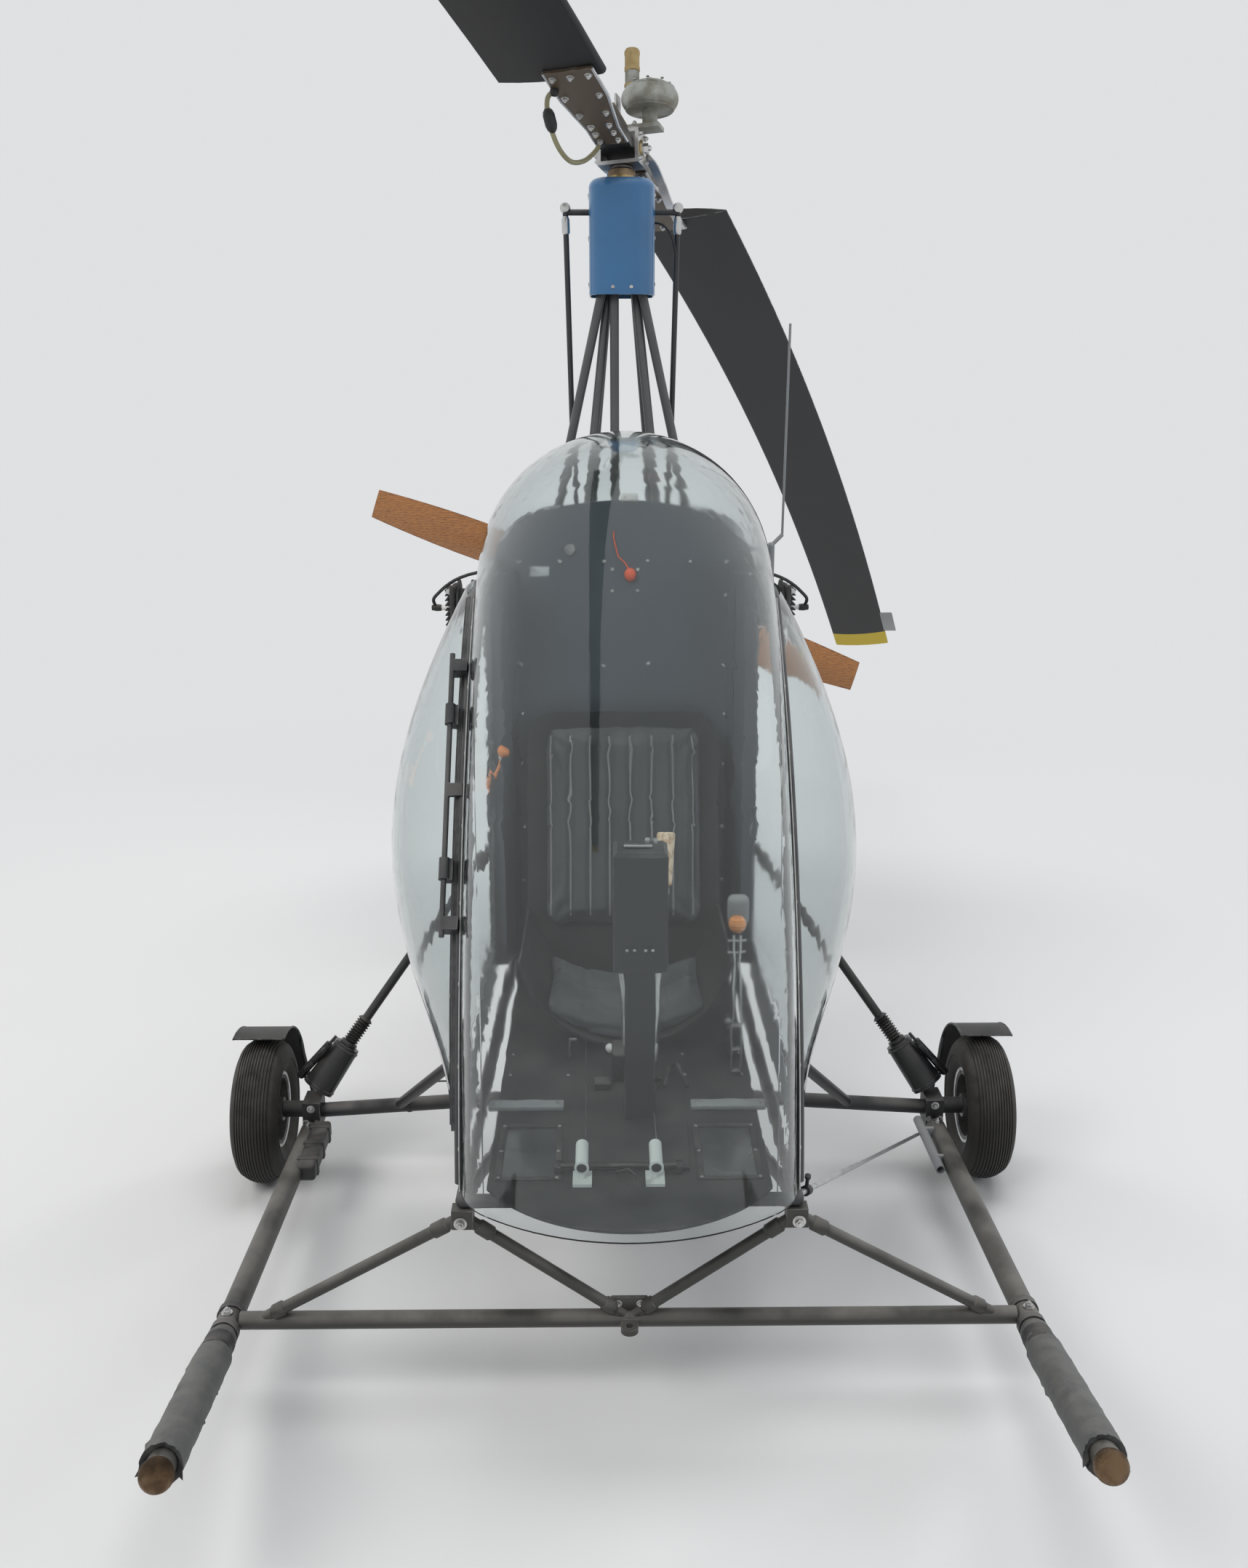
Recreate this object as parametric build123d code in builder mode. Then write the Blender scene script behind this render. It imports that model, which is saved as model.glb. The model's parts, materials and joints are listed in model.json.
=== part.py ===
from build123d import *
import os
from math import cos, degrees, hypot, radians, sin, sqrt

os.makedirs("parts", exist_ok=True)

# A single-seat autogyro that parks on two wheels and a tail skid. Millimetres, +Z up from the ground.
# The nose points to -Y, so the pilot's left is +X. Sides are named as the pilot sees them.
SIDES = (("left", 1), ("right", -1))

# Clearances between pieces
SEAT = 0.3              # a piece and what it is bolted or clamped to
PLAY = 0.3              # radial play of a turning piece on its shaft
DOOR_GAP = 8.0          # the door's edge behind its hinge line

# Wheels
WHEEL_Y = -160.0
WHEEL_RADIUS = 150.0
TYRE_WIDTH = 95.0
HALF_TRACK = 748.0
RIM_RADIUS = 72.0
RIM_WIDTH = 66.0
WEB_THICKNESS = 10.0
BARREL_RADIUS = 24.0
BARREL_WIDTH = 76.0
AXLE_RADIUS = 10.0
AXLE_COLLAR = 17.0
AXLE_NUT_LENGTH = 9.0

# Axle arms, shock struts and skids
ARM_RADIUS = 15.0
ARM_INNER_X = 16.0
ARM_INNER_Z = 187.0
BRACKET_X = 648.0
BRACKET_SIZE = (36.0, 62.0, 60.0)
BRACKET_DROP = 4.0      # middle of the bracket under the axle
DRAG_RADIUS = 11.0
DRAG_OUTER_X = 470.0
DRAG_TOP = (286.0, -520.0, 446.0)
SHOCK_RADIUS = 34.0     # the can narrows to the next radius at its top
SHOCK_NECK = 27.0
SHOCK_LENGTH = 108.0
SHOCK_ROD_RADIUS = 9.5
SHOCK_FOOT = (640.0, -148.0, 191.4)
SHOCK_HEAD_X = 288.0
SHOCK_HEAD_Z = 668.0
SHOCK_EYE = 7.0
SKID_RADIUS = 20.0
SKID_X = 650.0
SKID_REAR = (-196.0, 118.0)
SKID_KNEE = (-960.0, 142.0)
SKID_TOE = (612.0, -1380.0, 262.0)
SKID_BEND = 190.0
SLEEVE_THICKNESS = 9.0
SLEEVE_REAR_Y = -925.0
SLEEVE_FRONT = 6.0      # bare tube between the sleeve and the ball
BALL_RADIUS = 23.0

# Front gear frame
CROSS_RADIUS = 14.5
CROSS_Y = -890.0
CROSS_Z = 146.0
STRUT_RADIUS = 9.5
STRUT_OUTER_X = 600.0
LUG_SIZE = (34.0, 26.0, 32.0)

# Towing eye on the cross tube, and the same eye for a tie-down under the tail boom
EYE_BORE = 6.0
EYE_RADIUS = 14.0
EYE_WIDTH = 10.0
EYE_REACH = 16.0
TIE_Y = 1580.0

# Mudguards: an arc of sheet over each wheel, from ahead of its crown to the rear, on one stay
GUARD_RADIUS = 168.0
GUARD_WIDTH = 104.0
GUARD_SHEET = 2.5
GUARD_ANGLES = (-8.0, 42.0, 94.0)
GUARD_STAY = 4.5
STAY_ANGLE = 58.0

# Fuselage frame
TUBE = 11.0             # radius of the fuselage tubes
NODE_BALL = 11.2        # a little over the tubes, so that the welds at the corners stay sound
HALF_WIDTH = 262.0      # centre line of the side hoops
FRONT_NODE = (260.0, -935.0, 386.0)
REAR_NODE_X = 238.0
REAR_NODE_Z = 425.0
KEEL_NODE = (172.0, -160.0, 214.0)
TOP_NODE_Z = 1290.0
MID_NODE_Z = 905.0
HOOP_RADIUS = 12.0
HOOP_FOOT = (-908.0, 402.0)
HOOP_MIDDLE = (-700.0, 918.0)
HOOP_SHOULDER = (-372.0, 1250.0)
HOOP_TAIL_Z = 1275.0
HOOP_BEND = 70.0

# Cabin shell
PANEL = 4.0             # thickness of the clear panels
SHEET = 5.0             # thickness of bulkhead and floor sheets
BULKHEAD_Y = 5.0        # front face of the bulkhead
BULKHEAD_HALF = 222.0
BULKHEAD_RISE = 105.0   # the arch over the hoops' tails
BULKHEAD_BEND = 82.0
BULKHEAD_FOOT = 442.0
JAMB_FOLD = 252.0
JAMB_FRONT = -84.0
JAMB_LIP = 20.0
JAMB_DROP = 8.0
SKIRT_FOOT = 418.0
SKIRT_TOP = 500.0
PANEL_SEAT = 0.8        # gasket between a clear panel and the hoop
FLOOR_FRONT = -925.0
FLOOR_REAR = 28.0
FLOOR_BOW = 120.0
FLOOR_HALF = 222.0
LOOKOUT_X = 160.0
LOOKOUT_Y = -820.0
LOOKOUT_SIZE = (84.0, 150.0)
HEEL_Y = -760.0
HEEL_SIZE = (190.0, 240.0, 6.0)
BUBBLE_REAR = -95.0
BUBBLE_TOP = 1250.0
BUBBLE_FOOT = 482.0
BUBBLE_INSET = 10.0     # the bubble's edge behind the hoop's centre line
RIM_STRIP = 20.0        # width of the door's edge strip
STRIP_THICKNESS = 5.0

# Door hinge: a straight line that touches the hoop's curve
HINGE_X = -293.0
HINGE_ROD = 4.5
HINGE_SLEEVE = 8.5
HINGE_SPAN = (790.0, 1150.0)
HINGE_KNUCKLE = 36.0
LUG_LENGTH = 22.0
LUG_INBOARD = -268.0
LUG_SHY = 4.0           # the lugs end short of the door's edge strip

# Door handle: a plate beside the door's edge strip with a leaning stem and a knob inside the cabin
HANDLE_Y = -122.0
HANDLE_FOOT_Z = 838.0
HANDLE_PLATE = (5.0, 26.0, 30.0)
HANDLE_KNOB = (-243.0, 908.0)
HANDLE_RADIUS = 4.0
HANDLE_BALL = 11.0

# Seat
SEAT_HALF = 196.0
SEAT_FOOT = 432.6
SEAT_RIM = 596.0
SEAT_FRONT = -475.0
BACK_FOOT_Y = -205.0
SEAT_WALL = 4.0
BACK_LEAN = 17.0
BACK_HEIGHT = 560.0
CUSHION_HALF = 168.0
CUSHION_THICK = 46.0
CUSHION_HEIGHT = 415.0
CUSHION_RISE = 120.0
CUSHION_CORNER = 34.0
CUSHION_BASE_HALF = 150.0
CUSHION_SHY = 8.0
CUSHION_SIDE = 24.0
CUSHION_REAR = -206.0
BACK_CORNER = 60.0

# Controls
POST_X = 20.0
POST_Y = -700.0
POST_SIZE = (50.0, 60.0, 270.0)
INSTRUMENT_SIZE = (88.0, 70.0, 205.0)
STICK_FOOT = (40.0, -600.0)
STICK_TOP = (66.0, -470.0, 742.0)
STICK_RADIUS = 9.0
STICK_BOOT = (22.0, 14.0)
GRIP_RADIUS = 17.0
GRIP_LENGTH = 96.0
PEDAL_X = (-74.0, 40.0)
PEDAL_Y = -905.0
PEDAL_Z = 462.0
PEDAL_ARM = 5.0
PEDAL_RADIUS = 10.0
PEDAL_LENGTH = 56.0
PEDAL_FOOT = (30.0, 40.0, 5.0)
THROTTLE_X = 196.0
THROTTLE_Y = -470.0
THROTTLE_TOP = (200.0, -500.0, 680.0)
THROTTLE_BOX = (20.0, 64.0, 60.0)
LEVER_RADIUS = 5.0
KNOB_RADIUS = 15.0

# Fittings: a block under the nose and an antenna rod on a bent arm beside the rear frame
NOSE_BLOCK = (90.0, 36.0, 42.0)
NOSE_BLOCK_X = -4.0
ANTENNA_TOP = (332.0, 60.0, 1731.0)
ANTENNA_BEND = (327.0, 60.0, 1318.0)
ANTENNA_ELBOW = (303.0, 50.0, 1296.0)
ANTENNA_RADIUS = 2.5
ANTENNA_ARM = 4.0
ANTENNA_CAN = (8.0, 66.0)

# Mast and rotor head
MAST_TUBE = 9.0
MAST_TOP_Z = 1800.0
MAST_POST_X = -15.0     # a seventh, upright leg beside the middle
MAST_POST_SHY = 40.0
HUB_Y = 140.0
HUB_Z = 2058.0
SPIN_TILT = 10.0        # the spin axis leans aft
TEETER_REST = 9.0       # the hub bar rests with the rear blade low
BLADE_AZIMUTH = 18.0
FAIRING_SIZE = (130.0, 150.0, 218.0)
FAIRING_FOOT = 1786.0
FAIRING_CORNER = 45.0
FAIRING_ROUND = 18.0
FAIRING_WALL = 3.0
HEAD_PLATE = (96.0, 100.0, 10.0)
HEAD_BLOCK = (70.0, 84.0, 150.0)
BEARING_DROP = 40.0
BEARING_RADIUS = 27.0
BEARING_LENGTH = 90.0
SPINDLE_LENGTH = 190.0
ARM_Z = 1945.0
ARM_ROD = 6.0
ROD_TOP_X = 112.0
ROD_FOOT = (92.0, 96.0, 1180.0)
ROD_RADIUS = 5.5
BASE_DROP = 31.0
BRIDGE_RISE = 34.0
CHEEK_LENGTH = 52.0
CHEEK_SPREAD = 84.0
CHEEK_THICK = 7.0
TEETER_BOLT = 6.0
STALK_RADIUS = 15.0
COLLECTOR_REACH = 58.0  # from the spin axis to the collector's
COLLECTOR_ARM = (40.0, 102.0, 8.0)
DISC_RISE = 72.0
DISC_HEIGHT = 50.0
DISC_RADIUS = 56.0
NECK_REACH = 22.0
CAP_RADIUS = 14.0
CAP_TOP = 190.0
SPINDLE_RADIUS = 14.0
HUB_SIZE = (300.0, 62.0, 22.0)

# Rotor blades
ROTOR_RADIUS = 3200.0
BLADE_ROOT = 290.0
BLADE_CHORD = 205.0
BLADE_THICK = 24.0
BLADE_ARC = 9500.0      # the blades droop in an arc of this radius
LEAD_SHARE = 0.30       # chord ahead of the hub bar's line
PLATE_THICK = 5.0
PLATE_START = 62.0
PLATE_FLARE = 120.0
PLATE_WIDE = 92.0
PLATE_LAP = 35.0

# Propeller and engine
CRANK_Z = 1120.0
PROP_Y = 702.0
PROP_RADIUS = 635.0
PROP_REST = -19.9
PROP_HUB_RADIUS = 52.0
PROP_HUB_DEPTH = 44.0
SHAFT_RADIUS = 15.0
SHAFT_PROUD = 14.0
CASE_SIZE = (190.0, 230.0, 220.0)
CASE_Y = 300.0
CYLINDER_REACH = 372.0
CYLINDER_RADIUS = 44.0
FIN_RADIUS = 64.0
FIN_COUNT = 9
FIN_THICK = 5.0
CASE_CHAMFER = 24.0
NOSE_GAP = 10.0
NOSE_RADIUS = 40.0
TRAY_THICK = 8.0
TRAY_EAR = 80.0
MOUNT_TUBE = 8.0
BRACE_RISE = 40.0
STAY_FOOT = (14.0, 600.0)
STAY_COPE = 200.0
BEARER_SHARE = 0.88     # where the rear mast legs stand on the engine bearers
TANK_SIZE = (250.0, 150.0, 290.0)
TANK_Y = BULKHEAD_Y + SHEET + SEAT + TANK_SIZE[1] / 2
TANK_Z = 690.0
TANK_ROUND = 24.0

# Tail
BOOM_RADIUS = 30.0
BOOM_Z = 372.0
BOOM_FRONT = -10.0
BOOM_REAR = 2140.0
FIN_FRONT = 1640.0
FIN_REAR = 1982.0
FIN_TOP = 980.0
FIN_TOP_CHORD = 190.0
FIN_HALF_THICK = 13.0
RUDDER_HINGE_Y = 2002.0
RUDDER_REAR = 2290.0
RUDDER_TOP_CUT = 110.0
RUDDER_PIN = 4.0
RUDDER_EYE = 8.0
RUDDER_SLOT = 15.0
RUDDER_HALF_THICK = 12.0
RUDDER_CLEAR = 12.0
EYE_THICK = 8.0
PIN_REACH = 22.0
SLOT_PLAY = 3.0
RUDDER_LUGS = (500.0, 880.0)
PLANE_HALF_SPAN = 360.0
PLANE_FRONT = 1330.0
PLANE_CHORD = 250.0
PLANE_THICK = 22.0
PLANE_CORNER = 60.0
LEAF_THICK = 9.0
LEAF_WIDTH = 46.0
SKID_SPRING_Y = 1780.0
SKID_SPRING_WAIST = (1965.0, 200.0)
SHOE_Y = 2070.0
SHOE_SIZE = (64.0, 110.0, 9.0)


def tube(start, end, radius, mode=Mode.ADD):
    """Adds a round bar from start to end to the part that is being built, or cuts one out."""
    run = Vector(*end) - Vector(*start)
    with Locations(Plane(origin=start, z_dir=run)):
        Cylinder(radius, run.length, align=(Align.CENTER, Align.CENTER, Align.MIN), mode=mode)


def between(start, end, share):
    """The point at a share of the way from start to end."""
    return tuple(a + (b - a) * share for a, b in zip(start, end))


def circle_through(first, second, third):
    """Centre and radius of the circle through three points of a plane."""
    (ax, ay), (bx, by), (cx, cy) = first, second, third
    turn = 2 * (ax * (by - cy) + bx * (cy - ay) + cx * (ay - by))
    a, b, c = ax * ax + ay * ay, bx * bx + by * by, cx * cx + cy * cy
    x = (a * (by - cy) + b * (cy - ay) + c * (ay - by)) / turn
    y = (a * (cx - bx) + b * (ax - cx) + c * (bx - ax)) / turn
    return (x, y), hypot(ax - x, ay - y)


def arch_points(half, rise, bend):
    """Seven points of a three-arc arch: foot, corner arc, crown arc, corner arc, foot."""
    crown = ((half - bend) ** 2 + rise ** 2 - bend ** 2) / (2 * (rise - bend))
    low = rise - crown
    gap = hypot(half - bend, low)
    ux, uy = (half - bend) / gap, -low / gap
    join = (crown * ux, low + crown * uy)
    mx, my = ux + 1, uy
    size = hypot(mx, my)
    middle = (half - bend + bend * mx / size, bend * my / size)
    return [(half, 0), middle, join, (0, rise), (-join[0], join[1]), (-middle[0], middle[1]), (-half, 0)]


def arch(half, rise, bend):
    """Draws the three arcs of an arch in the line that is being built."""
    p = arch_points(half, rise, bend)
    ThreePointArc(p[0], p[1], p[2])
    ThreePointArc(p[2], p[3], p[4])
    ThreePointArc(p[4], p[5], p[6])


# Derived places
REAR_NODE = (REAR_NODE_X, BULKHEAD_Y + SHEET + SEAT + TUBE, REAR_NODE_Z)
HOOP_TAIL = (BULKHEAD_Y - SEAT - 1, HOOP_TAIL_Z)
HOOP_CENTRE, HOOP_SWEEP = circle_through(HOOP_FOOT, HOOP_MIDDLE, HOOP_SHOULDER)
SIDE_SEAT = HALF_WIDTH + HOOP_RADIUS + SEAT
DOOR_SEAT = SIDE_SEAT + STRIP_THICKNESS + SEAT
ARCH_FOOT_Z = HOOP_TAIL_Z + HOOP_RADIUS + PANEL_SEAT


def edge_y(z):
    """Where the side hoop's centre line passes the height z."""
    return HOOP_CENTRE[0] - sqrt(HOOP_SWEEP ** 2 - (z - HOOP_CENTRE[1]) ** 2)


def on_floor(x, y, lift):
    """A plane at a height over the sloping floor that lies on the front and rear cross tubes."""
    rise = (REAR_NODE[2] - FRONT_NODE[2]) / (REAR_NODE[1] - FRONT_NODE[1])
    normal = Vector(0, -rise, 1).normalized()
    foot = Vector(x, y, FRONT_NODE[2] + (y - FRONT_NODE[1]) * rise) + normal * (TUBE + SEAT + lift)
    return Plane(origin=foot, x_dir=(1, 0, 0), z_dir=normal)


# Wheels: a moulded tyre on a spun disc wheel
for side, sign in SIDES:
    centre = (sign * HALF_TRACK, WHEEL_Y, WHEEL_RADIUS)
    section = Plane(origin=centre, x_dir=(0, 0, 1), z_dir=(0, 1, 0))
    spin = Axis(centre, (1, 0, 0))
    bead = RIM_WIDTH / 2 - 4
    with BuildPart() as tyre:
        with BuildSketch(section):
            with BuildLine():
                seat = RIM_RADIUS + SEAT
                shoulder = (WHEEL_RADIUS - 13, TYRE_WIDTH * 0.36)
                low_shoulder = (shoulder[0], -shoulder[1])
                flank = seat + (WHEEL_RADIUS - seat) * 0.5
                Line((seat, -bead), (seat, bead))
                ThreePointArc((seat, bead), (flank, TYRE_WIDTH / 2), shoulder)
                ThreePointArc(shoulder, (WHEEL_RADIUS, 0), low_shoulder)
                ThreePointArc(low_shoulder, (flank, -TYRE_WIDTH / 2), (seat, -bead))
            make_face()
        revolve(axis=spin)
    tyre.part.label = f"tyre_{side}"
    export_step(tyre.part, f"parts/tyre_{side}.step")

    with BuildPart() as wheel:
        with BuildSketch(section):
            with Locations((RIM_RADIUS - 4, 0)):
                Rectangle(8, RIM_WIDTH)
            with Locations(((RIM_RADIUS + BARREL_RADIUS) / 2, 0)):
                Rectangle(RIM_RADIUS - BARREL_RADIUS, WEB_THICKNESS)
            with Locations(((BARREL_RADIUS + AXLE_RADIUS + PLAY) / 2, 0)):
                Rectangle(BARREL_RADIUS - AXLE_RADIUS - PLAY, BARREL_WIDTH)
        revolve(axis=spin)
    wheel.part.label = f"wheel_{side}"
    export_step(wheel.part, f"parts/wheel_{side}.step")

# Axle arms: beam half, drag strut, hub bracket and stub axle in one weldment a side
for side, sign in SIDES:
    hub = (sign * BRACKET_X, WHEEL_Y, WHEEL_RADIUS - BRACKET_DROP)
    root = (sign * ARM_INNER_X, WHEEL_Y, ARM_INNER_Z)
    reach = HALF_TRACK + BARREL_WIDTH / 2 + 1
    with BuildPart() as arm:
        tube(root, hub, ARM_RADIUS)
        share = (DRAG_OUTER_X - ARM_INNER_X) / (BRACKET_X - ARM_INNER_X)
        top = (sign * DRAG_TOP[0], DRAG_TOP[1], DRAG_TOP[2])
        tube(between(root, hub, share), top, DRAG_RADIUS)
        with Locations(hub):
            Box(*BRACKET_SIZE)
        axle_z = WHEEL_RADIUS
        tube((sign * BRACKET_X, WHEEL_Y, axle_z), (sign * reach, WHEEL_Y, axle_z), AXLE_RADIUS)
        inner = HALF_TRACK - BARREL_WIDTH / 2 - 1
        tube((sign * BRACKET_X, WHEEL_Y, axle_z), (sign * inner, WHEEL_Y, axle_z), AXLE_COLLAR)
        nut = (sign * (reach + AXLE_NUT_LENGTH), WHEEL_Y, axle_z)
        tube((sign * reach, WHEEL_Y, axle_z), nut, AXLE_COLLAR)
    arm.part.label = f"axle_arm_{side}"
    export_step(arm.part, f"parts/axle_arm_{side}.step")

# Shock struts: a fat spring can at the hub and a slim rod up to the frame
head = (SHOCK_HEAD_X, REAR_NODE[1], SHOCK_HEAD_Z)
can_top = between(SHOCK_FOOT, head, SHOCK_LENGTH / (Vector(*head) - Vector(*SHOCK_FOOT)).length)
with BuildPart() as shocks:
    with Locations(Plane(origin=SHOCK_FOOT, z_dir=Vector(*can_top) - Vector(*SHOCK_FOOT))):
        Cone(SHOCK_RADIUS, SHOCK_NECK, SHOCK_LENGTH, align=(Align.CENTER, Align.CENTER, Align.MIN))
    tube(can_top, head, SHOCK_ROD_RADIUS)
    tube((REAR_NODE[0] + TUBE + SEAT, head[1], head[2]), head, SHOCK_EYE)
    mirror(about=Plane.YZ)
shocks.part.label = "shock_struts"
export_step(shocks.part, "parts/shock_struts.step")

# Mudguards
centre = Plane(origin=(HALF_TRACK - GUARD_WIDTH / 2, WHEEL_Y, WHEEL_RADIUS), x_dir=(0, 1, 0), z_dir=(1, 0, 0))
stay_turn = radians(STAY_ANGLE)
stay_reach = GUARD_RADIUS + GUARD_SHEET / 2
stay_end = (HALF_TRACK - GUARD_WIDTH / 2 + GUARD_STAY, WHEEL_Y + stay_reach * sin(stay_turn),
            WHEEL_RADIUS + stay_reach * cos(stay_turn))
stay_foot = (BRACKET_X, WHEEL_Y + BRACKET_SIZE[1] / 2 - GUARD_STAY, WHEEL_RADIUS - BRACKET_DROP)
with BuildPart() as guards:
    with BuildSketch(centre):
        with BuildLine():
            under, over = [[(reach * sin(radians(a)), reach * cos(radians(a))) for a in GUARD_ANGLES]
                           for reach in (GUARD_RADIUS, GUARD_RADIUS + GUARD_SHEET)]
            ThreePointArc(*under)
            ThreePointArc(*over)
            Line(under[0], over[0])
            Line(under[2], over[2])
        make_face()
    extrude(amount=GUARD_WIDTH)
    tube(stay_foot, stay_end, GUARD_STAY)
    with Locations((BRACKET_X, WHEEL_Y, WHEEL_RADIUS - BRACKET_DROP)):
        Box(BRACKET_SIZE[0] + SEAT * 2, BRACKET_SIZE[1] + SEAT * 2, BRACKET_SIZE[2], mode=Mode.SUBTRACT)
    mirror(about=Plane.YZ)
guards.part.label = "mudguards"
export_step(guards.part, "parts/mudguards.step")

# Skids: a long tube that turns up at the nose, a rough sleeve over the bend and a ball at the tip
rear = Vector(SKID_X, *SKID_REAR)
knee = Vector(SKID_X, *SKID_KNEE)
toe = Vector(*SKID_TOE)
tip_run = (toe - knee).normalized()
sleeve_rear = rear + (knee - rear) * ((SLEEVE_REAR_Y - rear.Y) / (knee.Y - rear.Y))
with BuildPart() as skids:
    with BuildLine() as path:
        FilletPolyline(rear, knee, toe, radius=SKID_BEND)
    with BuildSketch(path.line ^ 0):
        Circle(SKID_RADIUS)
    sweep(path=path.line)
    mirror(about=Plane.YZ)
skids.part.label = "skids"
export_step(skids.part, "parts/skids.step")

with BuildPart() as sleeves:
    with BuildLine() as path:
        FilletPolyline(sleeve_rear, knee, toe - tip_run * SLEEVE_FRONT, radius=SKID_BEND)
    with BuildSketch(path.line ^ 0):
        Circle(SKID_RADIUS + SLEEVE_THICKNESS)
        Circle(SKID_RADIUS + SEAT, mode=Mode.SUBTRACT)
    sweep(path=path.line)
    mirror(about=Plane.YZ)
sleeves.part.label = "skid_sleeves"
export_step(sleeves.part, "parts/skid_sleeves.step")

with BuildPart() as balls:
    with Locations(toe + tip_run * sqrt(BALL_RADIUS ** 2 - SKID_RADIUS ** 2)):
        Sphere(BALL_RADIUS)
    with Locations(Plane(origin=toe + tip_run * SEAT, z_dir=tip_run)):
        Cylinder(BALL_RADIUS, BALL_RADIUS, align=(Align.CENTER, Align.CENTER, Align.MAX), mode=Mode.SUBTRACT)
    mirror(about=Plane.YZ)
balls.part.label = "skid_balls"
export_step(balls.part, "parts/skid_balls.step")

# Front gear frame: cross tube between the skids and four struts up to the fuselage
with BuildPart() as gear_frame:
    half = SKID_X - SKID_RADIUS - SEAT
    tube((-half, CROSS_Y, CROSS_Z), (half, CROSS_Y, CROSS_Z), CROSS_RADIUS)
    for side, sign in SIDES:
        lug = (sign * FRONT_NODE[0], FRONT_NODE[1], FRONT_NODE[2] - TUBE - SEAT - LUG_SIZE[2] / 2)
        tube((0, CROSS_Y, CROSS_Z), lug, STRUT_RADIUS)
        tube((sign * STRUT_OUTER_X, CROSS_Y, CROSS_Z), lug, STRUT_RADIUS)
        with Locations(lug):
            Box(*LUG_SIZE)
        front, keel = [(sign * x, y, z) for x, y, z in (FRONT_NODE, KEEL_NODE)]
        tube(front, keel, TUBE + SEAT, mode=Mode.SUBTRACT)
    eye = (0, CROSS_Y - CROSS_RADIUS - EYE_REACH, CROSS_Z)
    with Locations(eye):
        Cylinder(EYE_RADIUS, EYE_WIDTH)
        with Locations((0, EYE_REACH / 2, 0)):
            Box(EYE_RADIUS * 2, EYE_REACH + CROSS_RADIUS / 2, EYE_WIDTH)
        Cylinder(EYE_BORE, EYE_WIDTH, mode=Mode.SUBTRACT)
gear_frame.part.label = "front_gear_frame"
export_step(gear_frame.part, "parts/front_gear_frame.step")

# Lower frame: sills, sloping keel tubes and cross tubes of the fuselage
with BuildPart() as lower_frame:
    for index in (FRONT_NODE, KEEL_NODE, REAR_NODE):
        tube((-index[0], index[1], index[2]), index, TUBE)
        for side, sign in SIDES:
            with Locations((sign * index[0], index[1], index[2])):
                Sphere(NODE_BALL)
    for side, sign in SIDES:
        nodes = [(sign * x, y, z) for x, y, z in (FRONT_NODE, KEEL_NODE, REAR_NODE)]
        tube(nodes[0], nodes[1], TUBE)
        tube(nodes[1], nodes[2], TUBE)
        tube(nodes[0], nodes[2], TUBE)
lower_frame.part.label = "lower_frame"
export_step(lower_frame.part, "parts/lower_frame.step")

# Block under the nose, clamped to the front cross tube
with BuildPart() as nose_block:
    with Locations((NOSE_BLOCK_X, FRONT_NODE[1] - 4, FRONT_NODE[2])):
        Box(*NOSE_BLOCK, align=(Align.CENTER, Align.CENTER, Align.MAX))
    tube((-FRONT_NODE[0], FRONT_NODE[1], FRONT_NODE[2]), FRONT_NODE, TUBE + SEAT, mode=Mode.SUBTRACT)
nose_block.part.label = "nose_block"
export_step(nose_block.part, "parts/nose_block.step")

# Side hoops: one bent tube a side, from the front node up the windscreen's edge to the bulkhead
for side, sign in SIDES:
    edge = Plane(origin=(sign * HALF_WIDTH, 0, 0), x_dir=(0, 1, 0), z_dir=(1, 0, 0))
    with BuildPart() as hoop:
        with BuildLine(edge) as path:
            ThreePointArc(HOOP_FOOT, HOOP_MIDDLE, HOOP_SHOULDER)
            Line(HOOP_SHOULDER, HOOP_TAIL)
            fillet(path.vertices().filter_by_position(Axis.Y, HOOP_SHOULDER[0] - 1, HOOP_SHOULDER[0] + 1),
                   radius=HOOP_BEND)
        with BuildSketch(path.line ^ 0):
            Circle(HOOP_RADIUS)
        sweep(path=path.line)
    hoop.part.label = f"side_hoop_{side}"
    export_step(hoop.part, f"parts/side_hoop_{side}.step")

# Windscreen: one blown panel from the nose over the crown to the bulkhead, on edges along both hoops.
# Columns: height on the hoop, aim of the section above level, rise, corner bend
WINDSCREEN = (
    (402.0, -4.0, 148.0, 95.0),
    (640.0, 17.0, 186.0, 130.0),
    (880.0, 31.0, 216.0, 160.0),
    (1090.0, 44.0, 238.0, 185.0),
    (1250.0, 63.0, 254.0, 205.0),
)
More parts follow.
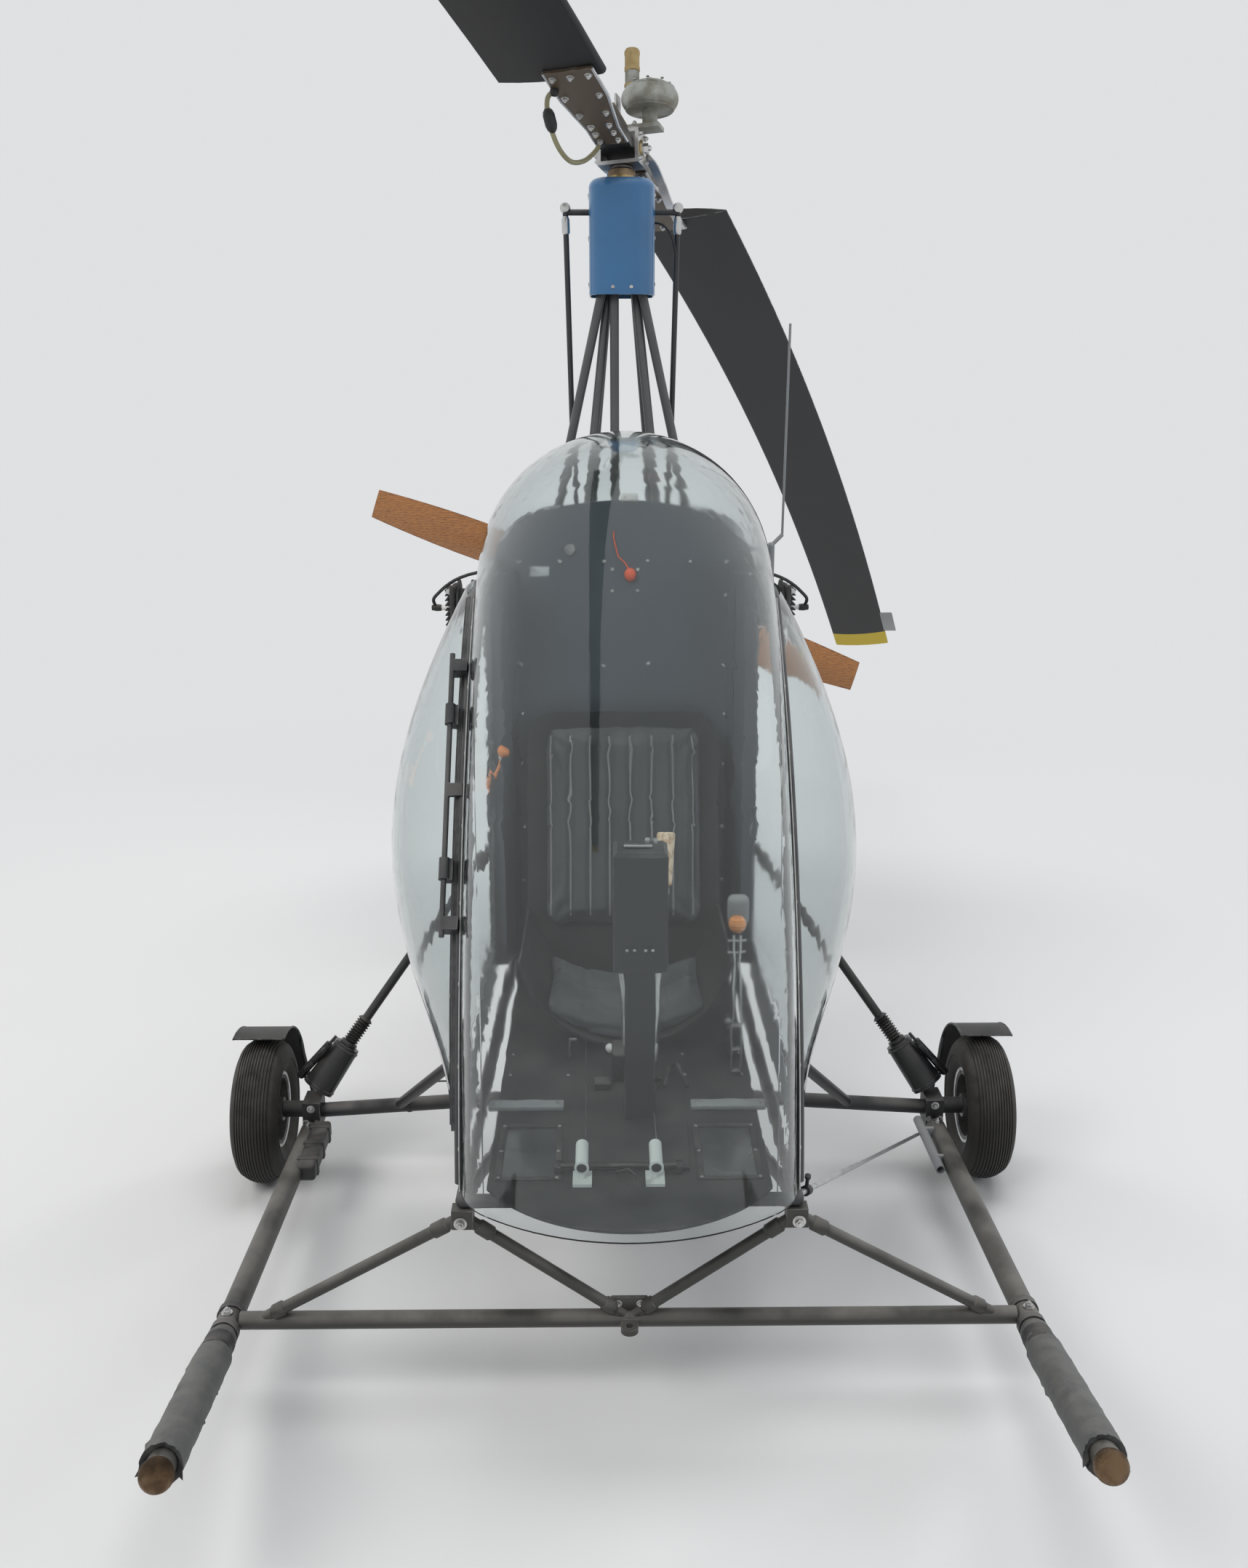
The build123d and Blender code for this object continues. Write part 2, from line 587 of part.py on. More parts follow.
# The same past the hoop's shoulder. Columns: place along the cabin, height, aim, rise, corner bend
CROWN = (
    (-190.0, 1262.1, 89.0, 250.0, 200.0),
    (HOOP_TAIL[0], HOOP_TAIL[1], 90.0, BULKHEAD_RISE, BULKHEAD_BEND),
)
stations = [(edge_y(z), z, aim, rise, bend) for z, aim, rise, bend in WINDSCREEN] + list(CROWN)
with BuildPart() as windscreen:
    for y, z, aim, rise, bend in stations:
        out = Vector(0, -cos(radians(aim)), sin(radians(aim)))
        foot = Vector(0, y, z) + out * (HOOP_RADIUS + PANEL_SEAT)
        with BuildSketch(Plane(origin=foot, x_dir=(1, 0, 0), z_dir=(0, -out.Z, out.Y))):
            with BuildLine():
                arch(HALF_WIDTH, rise, bend)
                arch(HALF_WIDTH - PANEL, rise - PANEL, bend - PANEL)
                Line((HALF_WIDTH, 0), (HALF_WIDTH - PANEL, 0))
                Line((-HALF_WIDTH, 0), (PANEL - HALF_WIDTH, 0))
            make_face()
    loft()
    for side, sign in SIDES:
        with BuildLine(Plane(origin=(sign * HALF_WIDTH, 0, 0), x_dir=(0, 1, 0), z_dir=(1, 0, 0))) as path:
            ThreePointArc(HOOP_FOOT, HOOP_MIDDLE, HOOP_SHOULDER)
        with BuildSketch(path.line ^ 0):
            Circle(HOOP_RADIUS + SEAT)
        sweep(path=path.line, mode=Mode.SUBTRACT)
        tube((sign * HALF_WIDTH, *HOOP_SHOULDER), (sign * HALF_WIDTH, *HOOP_TAIL), HOOP_RADIUS + SEAT,
             mode=Mode.SUBTRACT)
windscreen.part.label = "windscreen"
export_step(windscreen.part, "parts/windscreen.step")

# Side bubbles: a fixed one on the left, the door's on the right
# Columns: height, bulge
BUBBLE = ((BUBBLE_FOOT, 15.0), (610.0, 92.0), (790.0, 138.0), (1000.0, 116.0), (1150.0, 62.0),
          (BUBBLE_TOP, 14.0))
for name, sign, seat_x in (("side_bubble", 1, SIDE_SEAT), ("door_bubble", -1, DOOR_SEAT)):
    with BuildPart() as bubble:
        for z, bulge in BUBBLE:
            front = edge_y(z) + BUBBLE_INSET
            middle = (front + BUBBLE_REAR) / 2
            flange = PANEL * 1.6
            with BuildSketch(Plane.XY.offset(z)):
                with BuildLine():
                    outer = [(sign * seat_x, front), (sign * (seat_x + bulge), middle),
                             (sign * seat_x, BUBBLE_REAR)]
                    inner = [(sign * seat_x, front + flange), (sign * (seat_x + bulge - PANEL), middle),
                             (sign * seat_x, BUBBLE_REAR - flange)]
                    ThreePointArc(*outer)
                    ThreePointArc(*inner)
                    Line(outer[0], inner[0])
                    Line(outer[2], inner[2])
                make_face()
        loft()
    bubble.part.label = name
    export_step(bubble.part, f"parts/{name}.step")

# Door frame: a flat strip round the door's edge with two hinge sleeves
edge = Plane(origin=(-SIDE_SEAT, 0, 0), x_dir=(0, 1, 0), z_dir=(1, 0, 0))
middle_z = (HINGE_SPAN[0] + HINGE_SPAN[1]) / 2
forward = Vector(0, edge_y(middle_z) - HOOP_CENTRE[0], middle_z - HOOP_CENTRE[1]).normalized()
hinge_up = Vector(0, forward.Z, -forward.Y)
hinge_middle = Vector(HINGE_X, edge_y(middle_z), middle_z) + forward * DOOR_GAP
hinge_half = (HINGE_SPAN[1] - HINGE_SPAN[0]) / 2 / hinge_up.Z
knuckles = (-hinge_half * 0.6, hinge_half * 0.6)
lugs = (-hinge_half, 0, hinge_half)
with BuildPart() as door_frame:
    with BuildSketch(edge):
        with BuildLine():
            low, high = (edge_y(BUBBLE_FOOT), BUBBLE_FOOT), (edge_y(BUBBLE_TOP), BUBBLE_TOP)
            waist_z = (BUBBLE_FOOT + BUBBLE_TOP) / 2
            rear_low, rear_high = (JAMB_FRONT, BUBBLE_FOOT), (JAMB_FRONT, BUBBLE_TOP)
            ThreePointArc(low, (edge_y(waist_z), waist_z), high)
            Polyline(high, rear_high, rear_low, low)
        make_face()
        offset(amount=-RIM_STRIP, kind=Kind.INTERSECTION, mode=Mode.SUBTRACT)
    extrude(amount=-STRIP_THICKNESS)
    for along in knuckles:
        centre = hinge_middle + hinge_up * along
        strip_depth = DOOR_GAP + along ** 2 / 2 / HOOP_SWEEP
        hinge = Plane(origin=centre, x_dir=-forward, z_dir=hinge_up)
        inboard = -SIDE_SEAT - STRIP_THICKNESS - HINGE_X
        with Locations(hinge):
            Cylinder(HINGE_SLEEVE, HINGE_KNUCKLE)
            with Locations(((strip_depth + 4) / 2, -inboard / 2)):
                Box(strip_depth + 4, inboard, HINGE_KNUCKLE)
            Cylinder(HINGE_ROD + PLAY, HINGE_KNUCKLE * 2, mode=Mode.SUBTRACT)
door_frame.part.label = "door_frame"
export_step(door_frame.part, "parts/door_frame.step")

# Door hinge rod: one straight rod on three lugs that clasp the hoop
with BuildPart() as hinge_rod:
    rod_half = hinge_up * (hinge_half + LUG_LENGTH)
    tube(tuple(hinge_middle - rod_half), tuple(hinge_middle + rod_half), HINGE_ROD)
    for along in lugs:
        strip_depth = DOOR_GAP + along ** 2 / 2 / HOOP_SWEEP
        hinge = Plane(origin=hinge_middle + hinge_up * along, x_dir=-forward, z_dir=hinge_up)
        inboard = LUG_INBOARD - HINGE_X
        with Locations(hinge):
            with Locations(((strip_depth - LUG_SHY - HINGE_ROD) / 2, -inboard / 2)):
                Box(strip_depth - LUG_SHY + HINGE_ROD, inboard, LUG_LENGTH)
    with BuildLine(Plane(origin=(-HALF_WIDTH, 0, 0), x_dir=(0, 1, 0), z_dir=(1, 0, 0))) as path:
        ThreePointArc(HOOP_FOOT, HOOP_MIDDLE, HOOP_SHOULDER)
    with BuildSketch(path.line ^ 0):
        Circle(HOOP_RADIUS + SEAT)
    sweep(path=path.line, mode=Mode.SUBTRACT)
hinge_rod.part.label = "door_hinge_rod"
export_step(hinge_rod.part, "parts/door_hinge_rod.step")

# Door handle
with BuildPart() as handle:
    plate_x = -SIDE_SEAT - STRIP_THICKNESS / 2
    plate_y = JAMB_FRONT - RIM_STRIP - SEAT - HANDLE_PLATE[1] / 2
    with Locations((plate_x, plate_y, HANDLE_FOOT_Z)):
        Box(*HANDLE_PLATE)
    tube((plate_x, HANDLE_Y, HANDLE_FOOT_Z), (HANDLE_KNOB[0], HANDLE_Y, HANDLE_KNOB[1]), HANDLE_RADIUS)
    with Locations((HANDLE_KNOB[0], HANDLE_Y, HANDLE_KNOB[1])):
        Sphere(HANDLE_BALL)
handle.part.label = "door_handle"
export_step(handle.part, "parts/door_handle.step")

# Bulkhead: a flat sheet under the windscreen's arch that closes the cabin behind the seat
with BuildPart() as bulkhead:
    with BuildSketch(Plane(origin=(0, BULKHEAD_Y, ARCH_FOOT_Z), x_dir=(1, 0, 0), z_dir=(0, -1, 0))):
        with BuildLine():
            arch(HALF_WIDTH, BULKHEAD_RISE, BULKHEAD_BEND)
            drop = BULKHEAD_FOOT - ARCH_FOOT_Z
            Polyline((HALF_WIDTH, 0), (HALF_WIDTH, drop), (-HALF_WIDTH, drop), (-HALF_WIDTH, 0))
        make_face()
    extrude(amount=-SHEET)
bulkhead.part.label = "bulkhead"
export_step(bulkhead.part, "parts/bulkhead.step")

# Jambs: folded sheets from the bulkhead forward to the rear edge of each side opening
outer_x = SIDE_SEAT - SEAT
rear_y = BULKHEAD_Y - SEAT
with BuildPart() as jambs:
    with BuildSketch(Plane.XY.offset(BULKHEAD_FOOT)):
        Polygon((BULKHEAD_HALF, rear_y), (JAMB_FOLD, JAMB_FRONT), (outer_x, JAMB_FRONT),
                (outer_x, JAMB_FRONT - JAMB_LIP), (outer_x - SHEET, JAMB_FRONT - JAMB_LIP),
                (outer_x - SHEET, JAMB_FRONT - SHEET), (JAMB_FOLD - SHEET, JAMB_FRONT - SHEET),
                (BULKHEAD_HALF - SHEET, rear_y), align=None)
    extrude(amount=HOOP_TAIL_Z - HOOP_RADIUS - JAMB_DROP - BULKHEAD_FOOT)
    mirror(about=Plane.YZ)
jambs.part.label = "side_jambs"
export_step(jambs.part, "parts/side_jambs.step")

# Skirts: flat sheets under the side openings, from the hoop's foot to the jamb
off = HOOP_RADIUS + PANEL_SEAT
rear_y = JAMB_FRONT - JAMB_LIP - SEAT
with BuildPart() as skirts:
    with BuildSketch(Plane(origin=(outer_x, 0, 0), x_dir=(0, 1, 0), z_dir=(1, 0, 0))):
        Polygon((edge_y(SKIRT_FOOT) + off, SKIRT_FOOT), (rear_y, SKIRT_FOOT), (rear_y, SKIRT_TOP),
                (edge_y(SKIRT_TOP) + off, SKIRT_TOP), align=None)
    extrude(amount=-SHEET)
    mirror(about=Plane.YZ)
skirts.part.label = "side_skirts"
export_step(skirts.part, "parts/side_skirts.step")

# Floor: a sheet on the cross tubes with two lookout windows and a heel plate between them
deck = on_floor(0, 0, 0)
with BuildPart() as floor:
    with BuildSketch(deck):
        with BuildLine():
            ThreePointArc((-FLOOR_HALF, FLOOR_FRONT), (0, FLOOR_FRONT - FLOOR_BOW), (FLOOR_HALF, FLOOR_FRONT))
            Polyline((FLOOR_HALF, FLOOR_FRONT), (FLOOR_HALF, FLOOR_REAR), (-FLOOR_HALF, FLOOR_REAR),
                     (-FLOOR_HALF, FLOOR_FRONT))
        make_face()
        with Locations((-LOOKOUT_X, LOOKOUT_Y), (LOOKOUT_X, LOOKOUT_Y)):
            Rectangle(*LOOKOUT_SIZE, mode=Mode.SUBTRACT)
    extrude(amount=SHEET)
    with Locations(deck):
        with Locations((0, HEEL_Y, SHEET)):
            Box(*HEEL_SIZE, align=(Align.CENTER, Align.CENTER, Align.MIN))
floor.part.label = "cabin_floor"
export_step(floor.part, "parts/cabin_floor.step")

# Seat: a trough-shaped pan with a leaning back, and two plain cushions
lean = Vector(0, sin(radians(BACK_LEAN)), cos(radians(BACK_LEAN)))
back_foot = Vector(0, BACK_FOOT_Y, SEAT_FOOT + SEAT_WALL)
back_plane = Plane(origin=back_foot, x_dir=(1, 0, 0), z_dir=(0, -lean.Z, lean.Y))
with BuildPart() as seat_pan:
    with BuildSketch(Plane(origin=(0, SEAT_FRONT, 0), x_dir=(1, 0, 0), z_dir=(0, -1, 0))):
        with BuildLine():
            for wall in (0, SEAT_WALL):
                half, foot = SEAT_HALF - wall, SEAT_FOOT + wall
                ThreePointArc((-half, SEAT_RIM), (0, foot), (half, SEAT_RIM))
            for sign in (1, -1):
                Line((sign * SEAT_HALF, SEAT_RIM), (sign * (SEAT_HALF - SEAT_WALL), SEAT_RIM))
        make_face()
    extrude(amount=SEAT_FRONT)
    split(bisect_by=back_plane, keep=Keep.TOP)
    with BuildSketch(back_plane):
        with Locations((0, BACK_HEIGHT / 2)):
            RectangleRounded(SEAT_HALF * 2, BACK_HEIGHT, BACK_CORNER)
    extrude(amount=-SEAT_WALL)
seat_pan.part.label = "seat_pan"
export_step(seat_pan.part, "parts/seat_pan.step")

with BuildPart() as back_cushion:
    with BuildSketch(back_plane.offset(SEAT)):
        with Locations((0, CUSHION_RISE + CUSHION_HEIGHT / 2)):
            RectangleRounded(CUSHION_HALF * 2, CUSHION_HEIGHT, CUSHION_CORNER)
    extrude(amount=CUSHION_THICK)
back_cushion.part.label = "back_cushion"
export_step(back_cushion.part, "parts/back_cushion.step")

trough_half = SEAT_HALF - SEAT_WALL
trough_rise = SEAT_RIM - SEAT_FOOT - SEAT_WALL
trough = (trough_half ** 2 + trough_rise ** 2) / (2 * trough_rise)
with BuildPart() as seat_cushion:
    with BuildSketch(Plane(origin=(0, SEAT_FRONT + CUSHION_SHY, 0), x_dir=(1, 0, 0), z_dir=(0, -1, 0))):
        with BuildLine():
            bottom = SEAT_FOOT + SEAT_WALL + SEAT
            flank = bottom + trough - sqrt((trough - SEAT) ** 2 - CUSHION_BASE_HALF ** 2)
            edge = [(-CUSHION_BASE_HALF, flank), (CUSHION_BASE_HALF, flank)]
            high = flank + CUSHION_SIDE
            ThreePointArc(edge[0], (0, bottom), edge[1])
            Line(edge[1], (CUSHION_BASE_HALF, high))
            ThreePointArc((CUSHION_BASE_HALF, high), (0, bottom + CUSHION_THICK), (-CUSHION_BASE_HALF, high))
            Line((-CUSHION_BASE_HALF, high), edge[0])
        make_face()
    extrude(amount=SEAT_FRONT + CUSHION_SHY - CUSHION_REAR)
seat_cushion.part.label = "seat_cushion"
export_step(seat_cushion.part, "parts/seat_cushion.step")

# Controls: instrument post, control stick, pedals and throttle
with BuildPart(on_floor(POST_X, POST_Y, SHEET + HEEL_SIZE[2] + SEAT)) as post:
    Box(*POST_SIZE, align=(Align.CENTER, Align.CENTER, Align.MIN))
    with Locations((0, 0, POST_SIZE[2])):
        Box(*INSTRUMENT_SIZE, align=(Align.CENTER, Align.CENTER, Align.MIN))
    chamfer(post.faces().sort_by(Axis.Z)[-1].edges(), length=6)
post.part.label = "instrument_post"
export_step(post.part, "parts/instrument_post.step")

stick_base = on_floor(STICK_FOOT[0], STICK_FOOT[1], SHEET + SEAT)
stick_foot = tuple(stick_base.origin)
with BuildPart() as stick:
    tube(between(stick_foot, STICK_TOP, 0.02), STICK_TOP, STICK_RADIUS)
    with Locations(stick_base):
        Cylinder(STICK_BOOT[0], STICK_BOOT[1], align=(Align.CENTER, Align.CENTER, Align.MIN))
stick.part.label = "control_stick"
export_step(stick.part, "parts/control_stick.step")

with BuildPart() as grip:
    run = (Vector(*STICK_TOP) - Vector(*stick_foot)).normalized()
    start = Vector(*STICK_TOP) + run * SEAT
    tube(tuple(start), tuple(start + run * GRIP_LENGTH), GRIP_RADIUS)
    chamfer(grip.edges().filter_by(GeomType.CIRCLE), length=3)
grip.part.label = "stick_grip"
export_step(grip.part, "parts/stick_grip.step")

with BuildPart() as pedals:
    for x in PEDAL_X:
        base = on_floor(x, PEDAL_Y, SHEET + SEAT)
        tube(tuple(base.origin), (x, PEDAL_Y, PEDAL_Z), PEDAL_ARM)
        tube((x, PEDAL_Y + 6, PEDAL_Z), (x, PEDAL_Y - PEDAL_LENGTH, PEDAL_Z - 6), PEDAL_RADIUS)
        with Locations(base):
            Box(*PEDAL_FOOT, align=(Align.CENTER, Align.CENTER, Align.MIN))
            Box(PEDAL_FOOT[0], PEDAL_FOOT[1], PEDAL_FOOT[2], align=(Align.CENTER, Align.CENTER, Align.MAX),
                mode=Mode.SUBTRACT)
pedals.part.label = "rudder_pedals"
export_step(pedals.part, "parts/rudder_pedals.step")

throttle_base = on_floor(THROTTLE_X, THROTTLE_Y, SHEET + SEAT)
with BuildPart() as throttle:
    with Locations(throttle_base):
        Box(*THROTTLE_BOX, align=(Align.CENTER, Align.CENTER, Align.MIN))
    lever_foot = throttle_base.origin + throttle_base.z_dir * (THROTTLE_BOX[2] - 10)
    tube(tuple(lever_foot), THROTTLE_TOP, LEVER_RADIUS)
    with Locations(THROTTLE_TOP):
        Sphere(KNOB_RADIUS)
throttle.part.label = "throttle_lever"
export_step(throttle.part, "parts/throttle_lever.step")

# Rear frame: uprights and cross tubes behind the bulkhead
with BuildPart() as rear_frame:
    x, y = REAR_NODE[0], REAR_NODE[1]
    for sign in (1, -1):
        tube((sign * x, y, REAR_NODE[2] + TUBE + SEAT), (sign * x, y, TOP_NODE_Z), TUBE)
        with Locations((sign * x, y, TOP_NODE_Z)):
            Sphere(TUBE)
    for z in (MID_NODE_Z, TOP_NODE_Z):
        tube((-x, y, z), (x, y, z), TUBE)
rear_frame.part.label = "rear_frame"
export_step(rear_frame.part, "parts/rear_frame.step")

# Antenna: a thin rod on a bent arm from the frame's top corner, with a small can under the elbow
top_node = (REAR_NODE[0], REAR_NODE[1], TOP_NODE_Z)
arm_run = Vector(*ANTENNA_ELBOW) - Vector(*top_node)
arm_foot = tuple(Vector(*top_node) + arm_run.normalized() * (TUBE + SEAT))
with BuildPart() as antenna:
    tube(ANTENNA_BEND, ANTENNA_TOP, ANTENNA_RADIUS)
    tube(ANTENNA_ELBOW, ANTENNA_BEND, ANTENNA_ARM)
    tube(arm_foot, ANTENNA_ELBOW, ANTENNA_ARM)
    with Locations(ANTENNA_BEND):
        Sphere(ANTENNA_ARM)
    with Locations(ANTENNA_ELBOW):
        Cylinder(ANTENNA_CAN[0], ANTENNA_CAN[1], align=(Align.CENTER, Align.CENTER, Align.MAX))
        Sphere(ANTENNA_CAN[0])
antenna.part.label = "antenna"
export_step(antenna.part, "parts/antenna.step")

# Engine mount: a tray under the crankcase on four tubes, with two stays down to the tail boom
tray_top = CRANK_Z - CASE_SIZE[2] / 2 - SEAT
tray_middle = CASE_Y + CASE_SIZE[1] / 2
tray_front = (TRAY_EAR, CASE_Y + MOUNT_TUBE, tray_top - TRAY_THICK / 2)
tray_back = (TRAY_EAR, CASE_Y + CASE_SIZE[1] - MOUNT_TUBE, tray_top - TRAY_THICK / 2)
mid_node = (REAR_NODE[0], REAR_NODE[1], MID_NODE_Z)
with BuildPart() as engine_mount:
    tube(mid_node, tray_front, MOUNT_TUBE)
    tube((REAR_NODE[0], REAR_NODE[1], REAR_NODE[2] + BRACE_RISE), tray_back, MOUNT_TUBE)
    tube(tray_back, (STAY_FOOT[0], STAY_FOOT[1], BOOM_Z), MOUNT_TUBE)
    tube((REAR_NODE[0], REAR_NODE[1], REAR_NODE[2]), (REAR_NODE[0], REAR_NODE[1], TOP_NODE_Z), TUBE + SEAT,
         mode=Mode.SUBTRACT)
    mirror(about=Plane.YZ)
    tube((-REAR_NODE[0], REAR_NODE[1], MID_NODE_Z), mid_node, TUBE + SEAT, mode=Mode.SUBTRACT)
    tube((0, STAY_FOOT[1] - STAY_COPE, BOOM_Z), (0, STAY_FOOT[1] + STAY_COPE, BOOM_Z), BOOM_RADIUS + SEAT,
         mode=Mode.SUBTRACT)
    with Locations((0, tray_middle, tray_top)):
        Box(CASE_SIZE[0], CASE_SIZE[1], TRAY_THICK, align=(Align.CENTER, Align.CENTER, Align.MAX))
    with Locations((0, tray_middle, tray_top)):
        Box(CASE_SIZE[0], CASE_SIZE[1], TRAY_THICK, align=(Align.CENTER, Align.CENTER, Align.MIN),
            mode=Mode.SUBTRACT)
engine_mount.part.label = "engine_mount"
export_step(engine_mount.part, "parts/engine_mount.step")

# Mast: six legs, coped round the frame's tubes, that draw together under the fairing's head plate
bearer = between(mid_node, tray_front, BEARER_SHARE)
# Columns: x and y at the head, foot, and the two ends and radius of the tube it stands on
MAST_LEGS = (
    (38.0, 100.0, mid_node, mid_node, top_node, TUBE),
    (27.0, 118.0, (80.0, REAR_NODE[1], TOP_NODE_Z), (0, REAR_NODE[1], TOP_NODE_Z), top_node, TUBE),
    (27.0, 178.0, bearer, mid_node, tray_front, MOUNT_TUBE),
)
with BuildPart() as mast:
    for leg in MAST_LEGS:
        tube(leg[2], (leg[0], leg[1], MAST_TOP_Z), MAST_TUBE)
    for leg in MAST_LEGS:
        tube(leg[3], leg[4], leg[5] + SEAT, mode=Mode.SUBTRACT)
    tube((0, REAR_NODE[1], MID_NODE_Z), mid_node, TUBE + SEAT, mode=Mode.SUBTRACT)
    mirror(about=Plane.YZ)
    tube((MAST_POST_X, REAR_NODE[1], TOP_NODE_Z), (MAST_POST_X, HUB_Y - MAST_POST_SHY, MAST_TOP_Z), MAST_TUBE)
    tube((-60, REAR_NODE[1], TOP_NODE_Z), (60, REAR_NODE[1], TOP_NODE_Z), TUBE + SEAT, mode=Mode.SUBTRACT)
    with Locations((0, HUB_Y, MAST_TOP_Z)):
        Box(*HEAD_PLATE)
mast.part.label = "mast_truss"
export_step(mast.part, "parts/mast_truss.step")

# Rotor head. The spin axis leans aft; the teeter axis lies across it, square to the blades.
hub_point = Vector(0, HUB_Y, HUB_Z)
spin_axis = Vector(0, sin(radians(SPIN_TILT)), cos(radians(SPIN_TILT)))
aft = Vector(0, cos(radians(SPIN_TILT)), -sin(radians(SPIN_TILT)))
level_span = aft * cos(radians(BLADE_AZIMUTH)) + Vector(1, 0, 0) * sin(radians(BLADE_AZIMUTH))
teeter_axis = spin_axis.cross(level_span)
rest = radians(TEETER_REST)
hub_span = level_span * cos(rest) - spin_axis * sin(rest)
hub_up = spin_axis * cos(rest) + level_span * sin(rest)
spin_plane = Plane(origin=hub_point, x_dir=level_span, z_dir=spin_axis)
hub_plane = Plane(origin=hub_point, x_dir=hub_span, z_dir=hub_up)

with BuildPart() as head_block:
    with Locations((0, HUB_Y, MAST_TOP_Z + HEAD_PLATE[2] / 2 + SEAT)):
        Box(*HEAD_BLOCK, align=(Align.CENTER, Align.CENTER, Align.MIN))
    with Locations(spin_plane.offset(-BEARING_DROP)):
        Cylinder(BEARING_RADIUS, BEARING_LENGTH, align=(Align.CENTER, Align.CENTER, Align.MAX))
    with Locations(spin_plane):
        Cylinder(SPINDLE_RADIUS + PLAY, SPINDLE_LENGTH + 6, align=(Align.CENTER, Align.CENTER, Align.MAX),
                 mode=Mode.SUBTRACT)
head_block.part.label = "head_block"
export_step(head_block.part, "parts/head_block.step")

with BuildPart() as fairing:
    width, depth, height = FAIRING_SIZE
    with BuildSketch(Plane.XY.offset(FAIRING_FOOT)):
        with Locations((0, HUB_Y)):
            RectangleRounded(width, depth, FAIRING_CORNER)
    extrude(amount=height)
    fillet(fairing.faces().sort_by(Axis.Z)[-1].edges(), radius=FAIRING_ROUND)
    offset(amount=-FAIRING_WALL, openings=fairing.faces().sort_by(Axis.Z)[0])
    with Locations(spin_plane):
        Cylinder(BEARING_RADIUS + SEAT, HUB_Z - FAIRING_FOOT - BEARING_LENGTH,
                 align=(Align.CENTER, Align.CENTER, Align.MAX), mode=Mode.SUBTRACT)
    with Locations((0, HUB_Y, ARM_Z)):
        Cylinder(ARM_ROD + SEAT, width * 2, rotation=(0, 90, 0), mode=Mode.SUBTRACT)
fairing.part.label = "head_fairing"
export_step(fairing.part, "parts/head_fairing.step")

# Control linkage: an arm out of each side of the fairing and a rod down behind the cabin
with BuildPart() as linkage:
    for sign in (1, -1):
        tube((sign * (HEAD_BLOCK[0] / 2 + SEAT), HUB_Y, ARM_Z), (sign * ROD_TOP_X, HUB_Y, ARM_Z), ARM_ROD)
        tube((sign * ROD_TOP_X, HUB_Y, ARM_Z + 8), (sign * ROD_FOOT[0], ROD_FOOT[1], ROD_FOOT[2]), ROD_RADIUS)
linkage.part.label = "control_linkage"
export_step(linkage.part, "parts/control_linkage.step")

# Spindle: shaft, base plate, two cheeks with the teeter bolt and a bridge
with BuildPart(spin_plane) as spindle:
    with Locations((0, 0, -BASE_DROP)):
        Cylinder(SPINDLE_RADIUS, SPINDLE_LENGTH - BASE_DROP, align=(Align.CENTER, Align.CENTER, Align.MAX))
        Box(CHEEK_LENGTH, CHEEK_SPREAD, CHEEK_THICK, align=(Align.CENTER, Align.CENTER, Align.MIN))
    with Locations((0, 0, BRIDGE_RISE)):
        Box(CHEEK_LENGTH, CHEEK_SPREAD, CHEEK_THICK, align=(Align.CENTER, Align.CENTER, Align.MAX))
    for sign in (1, -1):
        with Locations((0, sign * (CHEEK_SPREAD - CHEEK_THICK) / 2, -BASE_DROP)):
            Box(CHEEK_LENGTH, CHEEK_THICK, BASE_DROP + BRIDGE_RISE,
                align=(Align.CENTER, Align.CENTER, Align.MIN))
    Cylinder(TEETER_BOLT, CHEEK_SPREAD + 20, rotation=(90, 0, 0))
spindle.part.label = "rotor_spindle"
export_step(spindle.part, "parts/rotor_spindle.step")

# Fuel collector: a round drum on an arm beside the spin axis, with its neck and cap off the drum's middle
collector_middle = hub_point - teeter_axis * COLLECTOR_REACH
with BuildPart() as collector:
    with BuildSketch(Plane(origin=collector_middle, x_dir=level_span, z_dir=-teeter_axis)):
        with BuildLine():
            low, waist, high = BRIDGE_RISE + SEAT, DISC_RISE, DISC_RISE + DISC_HEIGHT
            rim, brow = DISC_RADIUS * 0.8, (DISC_RADIUS * 0.82, high - 10)
            Polyline((0, low), (STALK_RADIUS, low), (STALK_RADIUS, waist), (rim, waist))
            ThreePointArc((rim, waist), (DISC_RADIUS, (waist + high) / 2 - 4), brow)
            ThreePointArc(brow, (DISC_RADIUS * 0.62, high - 2), (CAP_RADIUS, high))
            Polyline((CAP_RADIUS, high), (0, high), (0, low))
        make_face()
    revolve(axis=Axis(collector_middle, spin_axis))
    with Locations(spin_plane.offset(BRIDGE_RISE + SEAT)):
        with Locations((0, CHEEK_SPREAD / 4 - COLLECTOR_ARM[1] / 2)):
            Box(*COLLECTOR_ARM, align=(Align.CENTER, Align.CENTER, Align.MIN))
    with Locations(spin_plane.offset((waist + high) / 2)):
        with Locations((0, -NECK_REACH)):
            Cylinder(CAP_RADIUS, CAP_TOP - (waist + high) / 2, align=(Align.CENTER, Align.CENTER, Align.MIN))
    chamfer(collector.faces().sort_by(Axis.Z)[-1].edges(), length=3)
collector.part.label = "fuel_collector"
export_step(collector.part, "parts/fuel_collector.step")

# Hub bar that teeters on the bolt
with BuildPart(hub_plane) as hub_bar:
    Box(*HUB_SIZE)
    Cylinder(TEETER_BOLT + PLAY, HUB_SIZE[1] * 2, rotation=(90, 0, 0), mode=Mode.SUBTRACT)
hub_bar.part.label = "hub_bar"
export_step(hub_bar.part, "parts/hub_bar.step")

